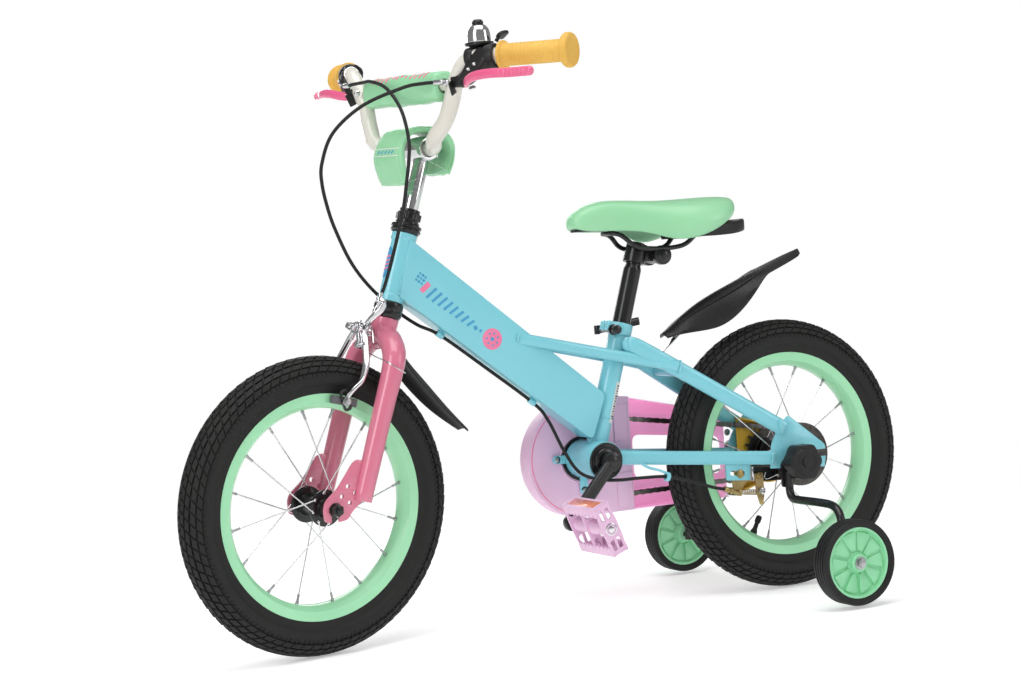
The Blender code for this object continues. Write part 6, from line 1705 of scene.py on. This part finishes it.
bolt_parts = [
    rod("bolt", on_bolt(-0.0220), on_bolt(0.0520), 0.0030),
    bolt_head("nut_front", on_bolt(0.0462), AHEAD, 0.0066, 0.0050),
    rod("nut_dome", on_bolt(0.0520), on_bolt(0.0580), 0.0050, 0.0022, 24),
    rod("spacer", on_bolt(0.0185), on_bolt(0.0280), 0.0060),
    rod("washer", on_bolt(0.0440), on_bolt(0.0455), 0.0078),
    bolt_head("nut_back", on_bolt(-0.0215), AHEAD, 0.0062, 0.0050),
]
finish_piece(join("caliper_bolt_turned", bolt_parts), CHROME, "front_end", ["caliper_bolt"], 32, True)

for side, sign in SIDES:
    eye = on_bolt({"left": 0.0320, "right": 0.0405}[side])
    shoe = FRONT_AXLE + SHOE_WAY * 0.1425 + Y_AXIS * (sign * 0.0240)
    lower = [eye + Vector((x, sign * y, z)) for x, y, z in (
        (0, 0.004, 0), (0.004, 0.012, -0.012), (0.0085, 0.020, -0.0258), (0.0156, 0.030, -0.0448),
        (0.0265, 0.0355, -0.0635), (0.0400, 0.0360, -0.0740))]
    lower.append(shoe + Vector((0.001, sign * 0.0100, 0.006)))
    end = along_head(*UPPER_ENDS[side])
    upper = {
        "left": [eye + Vector((0, 0.002, 0.001)), along_head(-0.0860, 0.0338, 0.0125),
                 along_head(-0.0770, 0.0345, 0.0225), along_head(-0.0660, 0.0308, 0.0305),
                 along_head(-0.0560, 0.0285, 0.0315), along_head(-0.0520, 0.0315, 0.0275)],
        "right": [eye + Vector((0, 0.001, -0.001)), eye.lerp(end, 0.6) + Vector((0, 0.001, 0)), end],
    }[side]
    arm_parts = [
        lathe("eye", tube_wall(0.0035, 0.0092, -0.0028, 0.0028), 0.0006, eye, AHEAD, 40),
        oval_bar("lower", smooth_route(lower, 10), 0.0044, 0.0031, 0.55, 20),
        oval_bar("upper", smooth_route(upper, 8), 0.0034, 0.0046, 0.6, 20),
    ]
    if side == "left":
        arm_parts += [rod("adjuster", end - Z_AXIS * 0.006, end + Z_AXIS * 0.010, 0.0040, 0.0005, 12),
                      rod("lock_ring", end + Z_AXIS * 0.0035, end + Z_AXIS * 0.0055, 0.0058, 0.0005, 16)]
    else:
        arm_parts += [bolt_head("pinch", end + AHEAD * 0.002, AHEAD, 0.0056, 0.0045),
                      bolt_head("pinch_nut", end + Vector((-0.004, 0.0085, -0.001)), AHEAD, 0.0050, 0.0060),
                      rod("pinch_back", end - AHEAD * 0.0040, end + AHEAD * 0.0020, 0.0050)]
    hook = [eye + Vector((x, sign * y, z)) - AHEAD * behind for x, y, z, behind in (
        (0.002, 0.0200, -0.0150, 0.006), (0, 0.0120, 0.0030, 0.008), (0, 0.0020, 0.0120, 0.008))]
    arm_parts.append(tube("spring", smooth_route(hook, 6), 0.0011, 2))
    finish_piece(join("caliper_arm_forged_" + side, arm_parts), CHROME, side + "_caliper_arm",
                 ["caliper_arm_" + side], 35, True)
    grooved = []
    for index in range(5):
        spot = shoe - Y_AXIS * (sign * 0.0016) + SHOE_TURN @ Vector(((index - 2) * 0.0077, 0, 0))
        grooved.append(block("rubber", spot, (0.0068, 0.0072, 0.0106), 0.0010, SHOE_TURN))
    grooved.append(block("backing", shoe + Y_AXIS * (sign * 0.0024), (0.0380, 0.0030, 0.0110), 0.0010, SHOE_TURN))
    finish_piece(join("brake_shoe_rubber_" + side, grooved), GREY_RUBBER, side + "_caliper_arm", [],
                 35, True)
    carrier = plate("carrier", CARRIER_LOOP, 0, 0.0014, 0.0005, [CARRIER_SLOT])
    carrier.data.transform(Matrix.Translation(shoe + Vector((0.001, sign * 0.0068, 0.002)))
                           @ Matrix.Rotation(math.radians(14), 4, "Y"))
    finish_piece(carrier, BLACK_PAINT, side + "_caliper_arm", [], 35, True)
    fixing = [between_y("stud", shoe.x, shoe.z, shoe.y + sign * 0.0030, shoe.y + sign * 0.0105, 0.0030),
              between_y("washer", shoe.x, shoe.z, shoe.y + sign * 0.0082, shoe.y + sign * 0.0092, 0.0062, 0.0003),
              bolt_head("nut", shoe + Y_AXIS * (sign * 0.0090), Y_AXIS * sign, 0.0052, 0.0036)]
    finish_piece(join("brake_shoe_fixing_" + side, fixing), STEEL, side + "_caliper_arm", [], 35, True)
print("caliper built")

# %% [markdown]
# ## Rear band brake
# A band closes on the drum at the wheel's left. Its housing is plated steel with a flat anchor arm that reaches
# forward under the stay, where a spring clip and a bolt hold it. Below it hang the cable's adjuster and the short arm
# that the wire pulls, with a return spring between them.

# %% Band brake
BAND_PROFILE = [(0.0410, 0.0365), (0.0465, 0.0365), (0.0465, 0.0492), (0.0400, 0.0498), (0.0340, 0.0492),
                (0.0090, 0.0492), (0.0090, 0.0475), (0.0410, 0.0475)]
band_parts = [lathe("housing", BAND_PROFILE, 0.0006, REAR_AXLE, Y_AXIS, 72)]
for radius in (0.0300, 0.0220):
    ridge = [(radius - 0.0008, 0.0490), (radius + 0.0008, 0.0490), (radius + 0.0005, 0.0497), (radius - 0.0005, 0.0497)]
    band_parts.append(turned("ridge", ridge, REAR_AXLE, Y_AXIS, 64))
finish_piece(join("band_brake_housing", band_parts), DARK_STEEL, "frame", ["rear_brake_band"], 32)
anchor_outline = rounded([(-0.3350, 0.1840), (-0.3505, 0.1640), (-0.3020, 0.1660), (-0.2920, 0.1700),
                          (-0.2900, 0.1890)], 0.004)
anchor = plate("band_brake_anchor", anchor_outline, 0.0385, 0.0014, 0.0005, [circle(-0.3380, 0.1700, 0.0020)[::-1]])
finish_piece(anchor, BLACK_PAINT, "frame", [], 35)
bracket_outline = rounded([(-0.2920, 0.1760), (-0.2760, 0.1640), (-0.2700, 0.1500), (-0.2590, 0.1500),
                           (-0.2560, 0.1740), (-0.2800, 0.1880)], 0.003)
barrel_way = Vector((-0.93, 0, -0.36)).normalized()
barrel_foot = Vector((-0.2370, 0.0480, 0.1628))
brass_parts = [
    plate("bracket", bracket_outline, 0.0400, 0.0012, 0.0004),
    rod("barrel", barrel_foot, barrel_foot + barrel_way * 0.0120, 0.0040, 0.0005, 14),
    rod("barrel_ring", barrel_foot + barrel_way * 0.0105, barrel_foot + barrel_way * 0.0145, 0.0054, 0.0006, 10),
    rod("barrel_end", barrel_foot + barrel_way * 0.0140, barrel_foot + barrel_way * 0.0270, 0.0028, 0.0004, 16),
    block("lug", (-0.2640, 0.0452, 0.1540), (0.0060, 0.0100, 0.0090), 0.0012),
    bolt_head("anchor_bolt", (-0.2672, 0.0400, 0.1812), Y_AXIS, 0.0068, 0.0075),
    rod("bolt_shank", (-0.2672, 0.0350, 0.1812), (-0.2672, 0.0480, 0.1812), 0.0040),
]
finish_piece(join("band_brake_bracket", brass_parts), BRASS, "frame", [], 35)
clip = block("clip", (-0.2912, 0.0410, 0.1790), (0.0050, 0.0052, 0.0210), 0.0008)
hook_route = [(x, 0.0425, z) for x, z in (
    (-0.3480, 0.1775), (-0.3330, 0.1735), (-0.3160, 0.1690), (-0.3110, 0.1725), (-0.3135, 0.1790))]
hook = tube("hook", smooth_route(hook_route, 6), 0.0010, 2)
finish_piece(join("band_brake_clip", [clip, hook]), CHROME, "frame", [], 35)
COIL_TURNS, COIL_RADIUS, COIL_STEPS = 8, 0.0036, 160
coil = []
for step in range(COIL_STEPS + 1):
    t = step / COIL_STEPS
    angle = math.tau * COIL_TURNS * t
    middle = Vector((-0.2700 - 0.0265 * t, 0.0455, 0.1545 - 0.003 * t))
    coil.append(middle + Vector((0, COIL_RADIUS * math.cos(angle), COIL_RADIUS * math.sin(angle))))
return_spring = finish_piece(tube("band_brake_spring", coil, 0.0007, 1), BRASS, None, [], 40)
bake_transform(return_spring)
arm_outline = rounded([(-0.2935, 0.1790), (-0.3070, 0.1790), (-0.3085, 0.1500), (-0.3050, 0.1320), (-0.3010, 0.1320),
                       (-0.2955, 0.1500)], 0.0022)
arm_parts = [
    plate("arm", arm_outline, 0.0435, 0.0015, 0.0005),
    between_y("pin", -0.300, 0.175, 0.0355, 0.0458, 0.0026),
    between_y("pin_head", -0.300, 0.175, 0.0449, 0.0466, 0.0050),
]
finish_piece(join("band_brake_arm_stamped", arm_parts), BRASS, "band_brake_arm", ["rear_brake_arm"], 35)
pinch = [bolt_head("pinch", (-0.3020, 0.0449, 0.1530), Y_AXIS, 0.0058, 0.0050),
         between_y("pinch_back", -0.3020, 0.1530, 0.0380, 0.0452, 0.0050)]
finish_piece(join("band_brake_pinch_bolt", pinch), CHROME, "band_brake_arm", [], 35)
print("band brake built")

# %% [markdown]
# ## Brake cables
# Black housing with a steel wire inside. The front one runs from the right lever's bracket to the caliper and turns
# with the fork. The rear one leaves the left lever, passes the head tube and follows the down tube, so its first part
# is laid at the angle the bars have at rest and its last part along the frame, and it bends between the two. Small
# clips hold it.

# %% Cable routes
CABLE_RADIUS = 0.0024
FRONT_CABLE = [
    (0.2303, -0.1200, 0.7617), (0.2272, -0.0800, 0.7635), (0.2300, -0.0520, 0.7630), (0.2290, -0.0160, 0.7515),
    (0.2300, 0.0200, 0.7210), (0.2360, 0.0450, 0.6810), (0.2435, 0.0550, 0.6530), (0.2490, 0.0550, 0.6200),
    (0.2520, 0.0500, 0.5890), (0.2620, 0.0400, 0.5350), (0.2720, 0.0300, 0.4900), (0.2780, 0.0270, 0.4745),
]
REAR_CABLE_BAR = [
    (0.2250, 0.1090, 0.7515), (0.2350, 0.0850, 0.7515), (0.2467, 0.0500, 0.7477), (0.2849, 0.0100, 0.7264),
    (0.3194, -0.0100, 0.6920), (0.3322, -0.0200, 0.6529), (0.3336, -0.0200, 0.6251), (0.3245, -0.0220, 0.5903),
    (0.3120, -0.0240, 0.5600), (0.2892, -0.0260, 0.5179), (0.2600, -0.0270, 0.4830),
]
REAR_CABLE_FRAME = [
    (0.2300, -0.0230, 0.4520), (0.2050, -0.0100, 0.4300), (0.1755, 0.0000, 0.4130), (0.1100, 0.0000, 0.3640),
    (0.0399, 0.0010, 0.3090), (0.0206, 0.0060, 0.2830), (0.0030, 0.0140, 0.2395), (-0.0130, 0.0260, 0.2080),
    (-0.0350, 0.0420, 0.1965), (-0.0650, 0.0455, 0.1925), (-0.1000, 0.0465, 0.1920), (-0.1435, 0.0470, 0.1895),
    (-0.1810, 0.0475, 0.1795), (-0.2190, 0.0480, 0.1665), (-0.2400, 0.0480, 0.1615),
]


def route_length(route):
    return round(sum((b - a).length for a, b in zip(route, route[1:])), 3)


# %% Cable housings, ferrules and wires
front_route = smooth_route(FRONT_CABLE, 12)
finish_piece(tube("front_cable_housing", front_route, CABLE_RADIUS, 5), SOFT_BLACK, "front_end",
             ["front_brake_cable"], 60, True)
first, last, rear_first = Vector(FRONT_CABLE[0]), Vector(FRONT_CABLE[-1]), Vector(REAR_CABLE_BAR[0])
pinch_spot = along_head(*UPPER_ENDS["right"])
tail = smooth_route([pinch_spot, (0.2925, 0.0240, 0.3957), (0.2935, 0.0560, 0.3894), (0.2864, 0.0690, 0.3815),
                     (0.2711, 0.0690, 0.3723)], 6)
ferrules = [
    rod("ferrule", last + Z_AXIS * 0.004, last - Vector((-0.0012, 0.0002, 0.008)), 0.0034, 0.0005, 20),
    tube("wire", [last, along_head(-0.0700, 0.0340, 0.0210), pinch_spot], 0.0008, 2),
    tube("tail", tail, 0.0007, 2),
    rod("ferrule_top", first - Y_AXIS * 0.002, first + Y_AXIS * 0.012, 0.0036, 0.0005, 20),
    rod("ferrule_rear", rear_first + Vector((-0.002, 0.004, 0)), rear_first + Vector((0.003, -0.010, 0)), 0.0036,
        0.0005, 20),
]
finish_piece(join("cable_ferrules_front", ferrules), CHROME, "front_end", [], 35, True)
rear_route = smooth_route([STEER @ Vector(p) for p in REAR_CABLE_BAR] + REAR_CABLE_FRAME, 10)
rear_cable = tube("rear_cable_housing", rear_route, CABLE_RADIUS, 5)
finish_piece(rear_cable, SOFT_BLACK, None, ["rear_brake_cable"], 60)
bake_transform(rear_cable)
wire = tube("brake_wire", [(-0.2600, 0.0480, 0.1550), (-0.2850, 0.0478, 0.1535), (-0.3060, 0.0478, 0.1528)], 0.0008, 2)
finish_piece(wire, STEEL, None, [], 40)
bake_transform(wire)
for name, x, z, slope in (("cable_clip_front", 0.1764, 0.4140, 0.65), ("cable_clip_rear", 0.0417, 0.3108, 0.68)):
    way = Vector((math.cos(slope), 0, math.sin(slope)))
    place = Vector((x, 0.0005, z))
    clip = [lathe("ring", tube_wall(0.0026, 0.0044, -0.0055, 0.0055), 0.0005, place, way, 32),
            block("foot", place + Vector((-way.z, 0, way.x)) * 0.0050, (0.0110, 0.0040, 0.0060), 0.0008,
                  Matrix.Rotation(-slope, 4, "Y"))]
    finish_piece(join(name, clip), SKY, "frame", [], 35)
print("cables: front", route_length(front_route), "rear", route_length(rear_route))

# %% [markdown]
# ## Padding on the handlebar
# Two foam pads in mint vinyl: a roll round the crossbar, and a wrap over the stem with a front panel and a short flap
# behind. Both are soft, so their sections are crowned, their length swells and sinks a little, and a slow noise
# ruffles them. Rows of small stitches and a thin piping run along the wrap's hems.

# %% Crossbar pad and stem pad
def ruffle(piece, amount, size):
    """Uneven filling: a slow noise pushes the surface in and out."""
    texture = bpy.data.textures.new("soft_noise", "CLOUDS")
    texture.noise_scale = size
    texture.noise_depth = 2
    return modify(piece, "DISPLACE", texture=texture, texture_coords="LOCAL", strength=amount, mid_level=0.5)


def near_end(t):
    """0 along most of a pad, rising to 1 at each end, where t is -1 or 1."""
    return max(0.0, (abs(t) - 0.93) / 0.07)


PAD_CENTRE = Vector((0.204, 0, 0.748))
PAD_HALF = 0.090
rings = []
for step in range(61):
    t = -1 + 2 * step / 60
    swell = (1.0 - 0.16 * near_end(t) ** 2) * (1.0 + 0.018 * math.cos(5 * t) + 0.008 * math.sin(17 * t + 1))
    centre = PAD_CENTRE + Vector((0.0004 * math.sin(7 * t), PAD_HALF * t, 0.0005 * math.cos(9 * t)))
    rings.append(pillow_ring(centre, X_AXIS, Z_AXIS, 0.0188 * swell, 0.0205 * swell, 0.62))
crossbar_pad = ruffle(loft("crossbar_pad_roll", rings), 0.0016, 0.020)
bore = [between_y("bore", 0.2060, 0.7480, sign * 0.078, sign * 0.100, 0.0098) for sign in (1, -1)]
crossbar_pad = cut(crossbar_pad, bore)

WRAP_LINE = [(0.2310, 0, 0.6205), (0.2365, 0, 0.6410), (0.2390, 0, 0.6620), (0.2285, 0, 0.6842), (0.2100, 0, 0.6934),
             (0.1795, 0, 0.6934), (0.1628, 0, 0.6850), (0.1543, 0, 0.6690), (0.1560, 0, 0.6500), (0.1640, 0, 0.6330)]
wrap_line = smooth_route(WRAP_LINE, 8)
rings = []
for index, spot in enumerate(wrap_line):
    t = index / (len(wrap_line) - 1)
    out = heading_at(wrap_line, index).cross(Y_AXIS)
    squeeze = near_end(2 * t - 1) ** 2
    plump = 0.0052 * (1 - 0.35 * squeeze) * (1 + 0.10 * math.sin(11 * t))
    wide = 0.0312 + 0.0035 * math.exp(-(((t - 0.16) / 0.12) ** 2)) - 0.0040 * max(0.0, t - 0.75) / 0.25
    wide *= 1 - 0.22 * squeeze
    rings.append(pillow_ring(spot, Y_AXIS, out, wide, plump, 0.55, 56))
stem_pad = ruffle(loft("stem_pad_wrap", rings), 0.0022, 0.016)

# %% Prints and stitches
FILM = 0.0004


def skin_tree(piece):
    """The piece's surface, ready for casting points onto it."""
    return BVHTree.FromPolygons([v.co for v in piece.data.vertices], [p.vertices[:] for p in piece.data.polygons])


def printed(name, shapes, origin, across, up, facing, target, fine=(28, 4)):
    """Thin skins laid on the target: each shape turns a square's points (-1 to 1) into points of the drawing."""
    tree = skin_tree(target)
    origin, across, up, facing = Vector(origin), Vector(across), Vector(up), Vector(facing).normalized()
    skins = []
    for shape in shapes:
        points, faces = [], []
        for i in range(fine[0] + 1):
            for j in range(fine[1] + 1):
                u, v = shape(-1 + 2 * i / fine[0], -1 + 2 * j / fine[1])
                spot = origin + across * u + up * v
                landing = tree.ray_cast(spot + facing * 0.03, -facing)[0]
                points.append((landing or spot) + facing * 0.0001)
        for i in range(fine[0]):
            for j in range(fine[1]):
                corner = i * (fine[1] + 1) + j
                faces.append((corner, corner + 1, corner + fine[1] + 2, corner + fine[1] + 1))
        mesh = bpy.data.meshes.new(name)
        mesh.from_pydata(points, [], faces)
        skins.append(modify(clean(link(name, mesh), 1e-6), "SOLIDIFY", thickness=FILM, offset=0.0))
    return join(name, skins)


def stroke(u0, v0, u1, v1, width):
    """A straight bar from one point to another."""
    run = Vector((u1 - u0, v1 - v0))
    side = Vector((-run.y, run.x)).normalized() * width / 2
    return lambda s, t: (u0 + run.x * (s + 1) / 2 + side.x * t, v0 + run.y * (s + 1) / 2 + side.y * t)


def dot(u, v, radius):
    """A disc, drawn as a ring with a pinhole in its middle."""
    def shape(s, t):
        angle = math.pi * (s + 1)
        reach = radius / 2 + 0.00005 + (radius - 0.0001) * t / 2
        return u + reach * math.cos(angle), v + reach * math.sin(angle)
    return shape


def stitches(name, route, length=0.0026, gap=0.0020):
    """Short threads in a row along a route."""
    bpy.ops.mesh.primitive_uv_sphere_add(segments=8, ring_count=6, radius=1.0)
    thread = bpy.context.object
    thread.scale = (length / 2, 0.00035, 0.00035)
    settle(thread)
    made, travelled, wanted = [], 0.0, length
    for a, b in zip(route, route[1:]):
        span = (b - a).length
        while travelled + span >= wanted:
            spot = a.lerp(b, (wanted - travelled) / span)
            way = (b - a).to_track_quat("X", "Z").to_matrix().to_4x4()
            made.append(copy_of(thread, Matrix.Translation(spot) @ way))
            wanted += length + gap
        travelled += span
    remove(thread)
    return join(name, made)


pad_print = [stroke(-0.062 + 0.011 * i, -0.0060, -0.057 + 0.011 * i, 0.0060, 0.0042) for i in range(4)]
pad_print += [dot(-0.012 + 0.0105 * i, 0.001 * (-1) ** i, 0.0036 - 0.0004 * i) for i in range(4)]
pad_print += [stroke(0.030 + 0.011 * i, -0.0050, 0.035 + 0.011 * i, 0.0050, 0.0034) for i in range(4)]
crossbar_print = printed("crossbar_pad_print", pad_print, PAD_CENTRE + Vector((0.0135, 0, 0.0160)), Y_AXIS,
                         (-0.72, 0, 0.69), (0.69, 0, 0.72), crossbar_pad)
wrap_print = [stroke(-0.020 + 0.0085 * i, -0.0020, -0.0160 + 0.0085 * i, 0.0020, 0.0022) for i in range(5)]
stem_print = printed("stem_pad_print", wrap_print, (0.2440, 0, 0.6650), Y_AXIS, Z_AXIS, (1, 0, 0.12), stem_pad)
band_lines = [stroke(-0.0290, height, 0.0290, height, 0.0011) for height in (0.0048, -0.0052)]
band_print = printed("stem_pad_band", band_lines, (0.2440, 0, 0.6650), Y_AXIS, Z_AXIS, (1, 0, 0.12), stem_pad, (40, 2))

# %% Stitches and piping
threads, seams = [], []
pad_tree = skin_tree(stem_pad)
for side in (1, -1):
    edge = []
    for index, spot in enumerate(p + Y_AXIS * (side * 0.0262) for p in wrap_line):
        out = heading_at(wrap_line, index).cross(Y_AXIS) * -1
        landing = pad_tree.ray_cast(spot + out * 0.02, -out)[0]
        edge.append((landing or spot) - out * 0.0001)
    threads.append(stitches("stitch", edge))
    seams.append(tube("piping", [p + Y_AXIS * (side * 0.0310) for p in wrap_line], 0.0014, 3))
stitch_rows = join("stem_pad_stitching", threads)
piping = join("stem_pad_piping", seams)
finish_piece(crossbar_pad, VINYL, "front_end", ["crossbar_pad"], 60, True)
finish_piece(stem_pad, VINYL, "front_end", ["stem_pad"], 60, True)
# the lines lie a hair under the marks, so that the two films never share a plane
band_print.data.transform(Matrix.Translation((-0.00015, 0, 0)))
finish_piece(crossbar_print, PRINT_PINK, "front_end", [], 60, True)
for piece, material in ((band_print, PRINT_WHITE), (stem_print, PRINT_BLUE), (stitch_rows, PRINT_WHITE),
                        (piping, VINYL)):
    finish_piece(piece, material, "front_end", [], 60, True)
print("pads built")

# %% [markdown]
# ## Prints on the frame
# The frame's transfers are a drawing of slanted strokes, dots and a spotted disc. They are thin skins, laid on both
# flanks of the tube by casting each of their points onto it.

# %% Transfers on the tubes
SLOPE = Vector((-0.782, 0, -0.624))
RISE = Vector((-0.624, 0, 0.782))
tube_marks = []
for index in range(8):
    reach = 0.0095 * (1 - 0.055 * index)
    tube_marks.append(stroke(0.004 + 0.0102 * index, -reach, 0.0095 + 0.0102 * index, reach, 0.0036))
tube_marks += [dot(0.0880, -0.001, 0.0032), dot(0.0965, 0.000, 0.0022)]
tube_marks += [dot(-0.022 + 0.0048 * (i % 3), 0.002 + 0.0052 * (i // 3), 0.0016 + 0.0004 * (i % 2)) for i in range(9)]
DISC = (0.1177, 0.0008)
disc_marks = [dot(x, y, 0.0014) for x, y in circle(*DISC, 0.0085, 7)] + [dot(*DISC, 0.0028)]
for side, sign in SIDES:
    start = Vector((0.1980, sign * 0.019, 0.4760))
    blue = printed("tube_print_blue_" + side, tube_marks, start, SLOPE, RISE, (0, sign, 0), frame_piece)
    finish_piece(blue, PRINT_BLUE, "frame", [], 60)
    pink = printed("tube_print_pink_" + side, [dot(*DISC, 0.0148), stroke(-0.0070, -0.007, -0.0030, 0.009, 0.0072)],
                   start, SLOPE, RISE, (0, sign, 0), frame_piece, (40, 6))
    finish_piece(pink, PRINT_PINK, "frame", [], 60)
    spotted = printed("tube_print_spots_" + side, disc_marks, start + Y_AXIS * (sign * 0.0002), SLOPE, RISE,
                      (0, sign, 0), pink)
    finish_piece(spotted, PRINT_BLUE, "frame", [], 60)

# %% Head badge and seat tube label
badge_place = along_head(0.004, 0.0165)
badge = printed("head_badge", [dot(0, 0, 0.0115)], badge_place, Y_AXIS, HEAD_AXIS * 1.9, AHEAD, frame_piece, (40, 8))
badge_lines = [stroke(-0.0062, -0.010 + 0.0055 * i, 0.0062, -0.0075 + 0.0055 * i, 0.0022) for i in range(4)]
badge_mark = printed("head_badge_lines", badge_lines, badge_place, Y_AXIS, HEAD_AXIS, AHEAD, badge)
finish_piece(badge, PRINT_BLUE, "frame", [], 60)
finish_piece(badge_mark, PRINT_PINK, "frame", [], 60)
label_side = Vector((-0.55, 0.84, 0)).normalized()
label_across = SEAT_AXIS.cross(label_side).normalized()
label_place = along_seat(0.0830) + label_side * 0.015
label = printed("seat_tube_label", [stroke(-0.030, 0, 0.030, 0, 0.0085)], label_place, SEAT_AXIS, label_across,
                label_side, frame_piece, (30, 8))
label_bars = []
for index in range(14):
    along, wide = -0.0240 + 0.0037 * index, (0.0016, 0.0030, 0.0010, 0.0022)[index % 4]
    label_bars.append(stroke(along, -0.0022, along, 0.0022, wide * 0.7))
label_mark = printed("seat_tube_label_bars", label_bars, label_place, SEAT_AXIS, label_across, label_side, label,
                     (2, 6))
finish_piece(label, PRINT_WHITE, "frame", [], 60)
finish_piece(label_mark, BLACK_PLASTIC, "frame", [], 60)
print("prints laid")
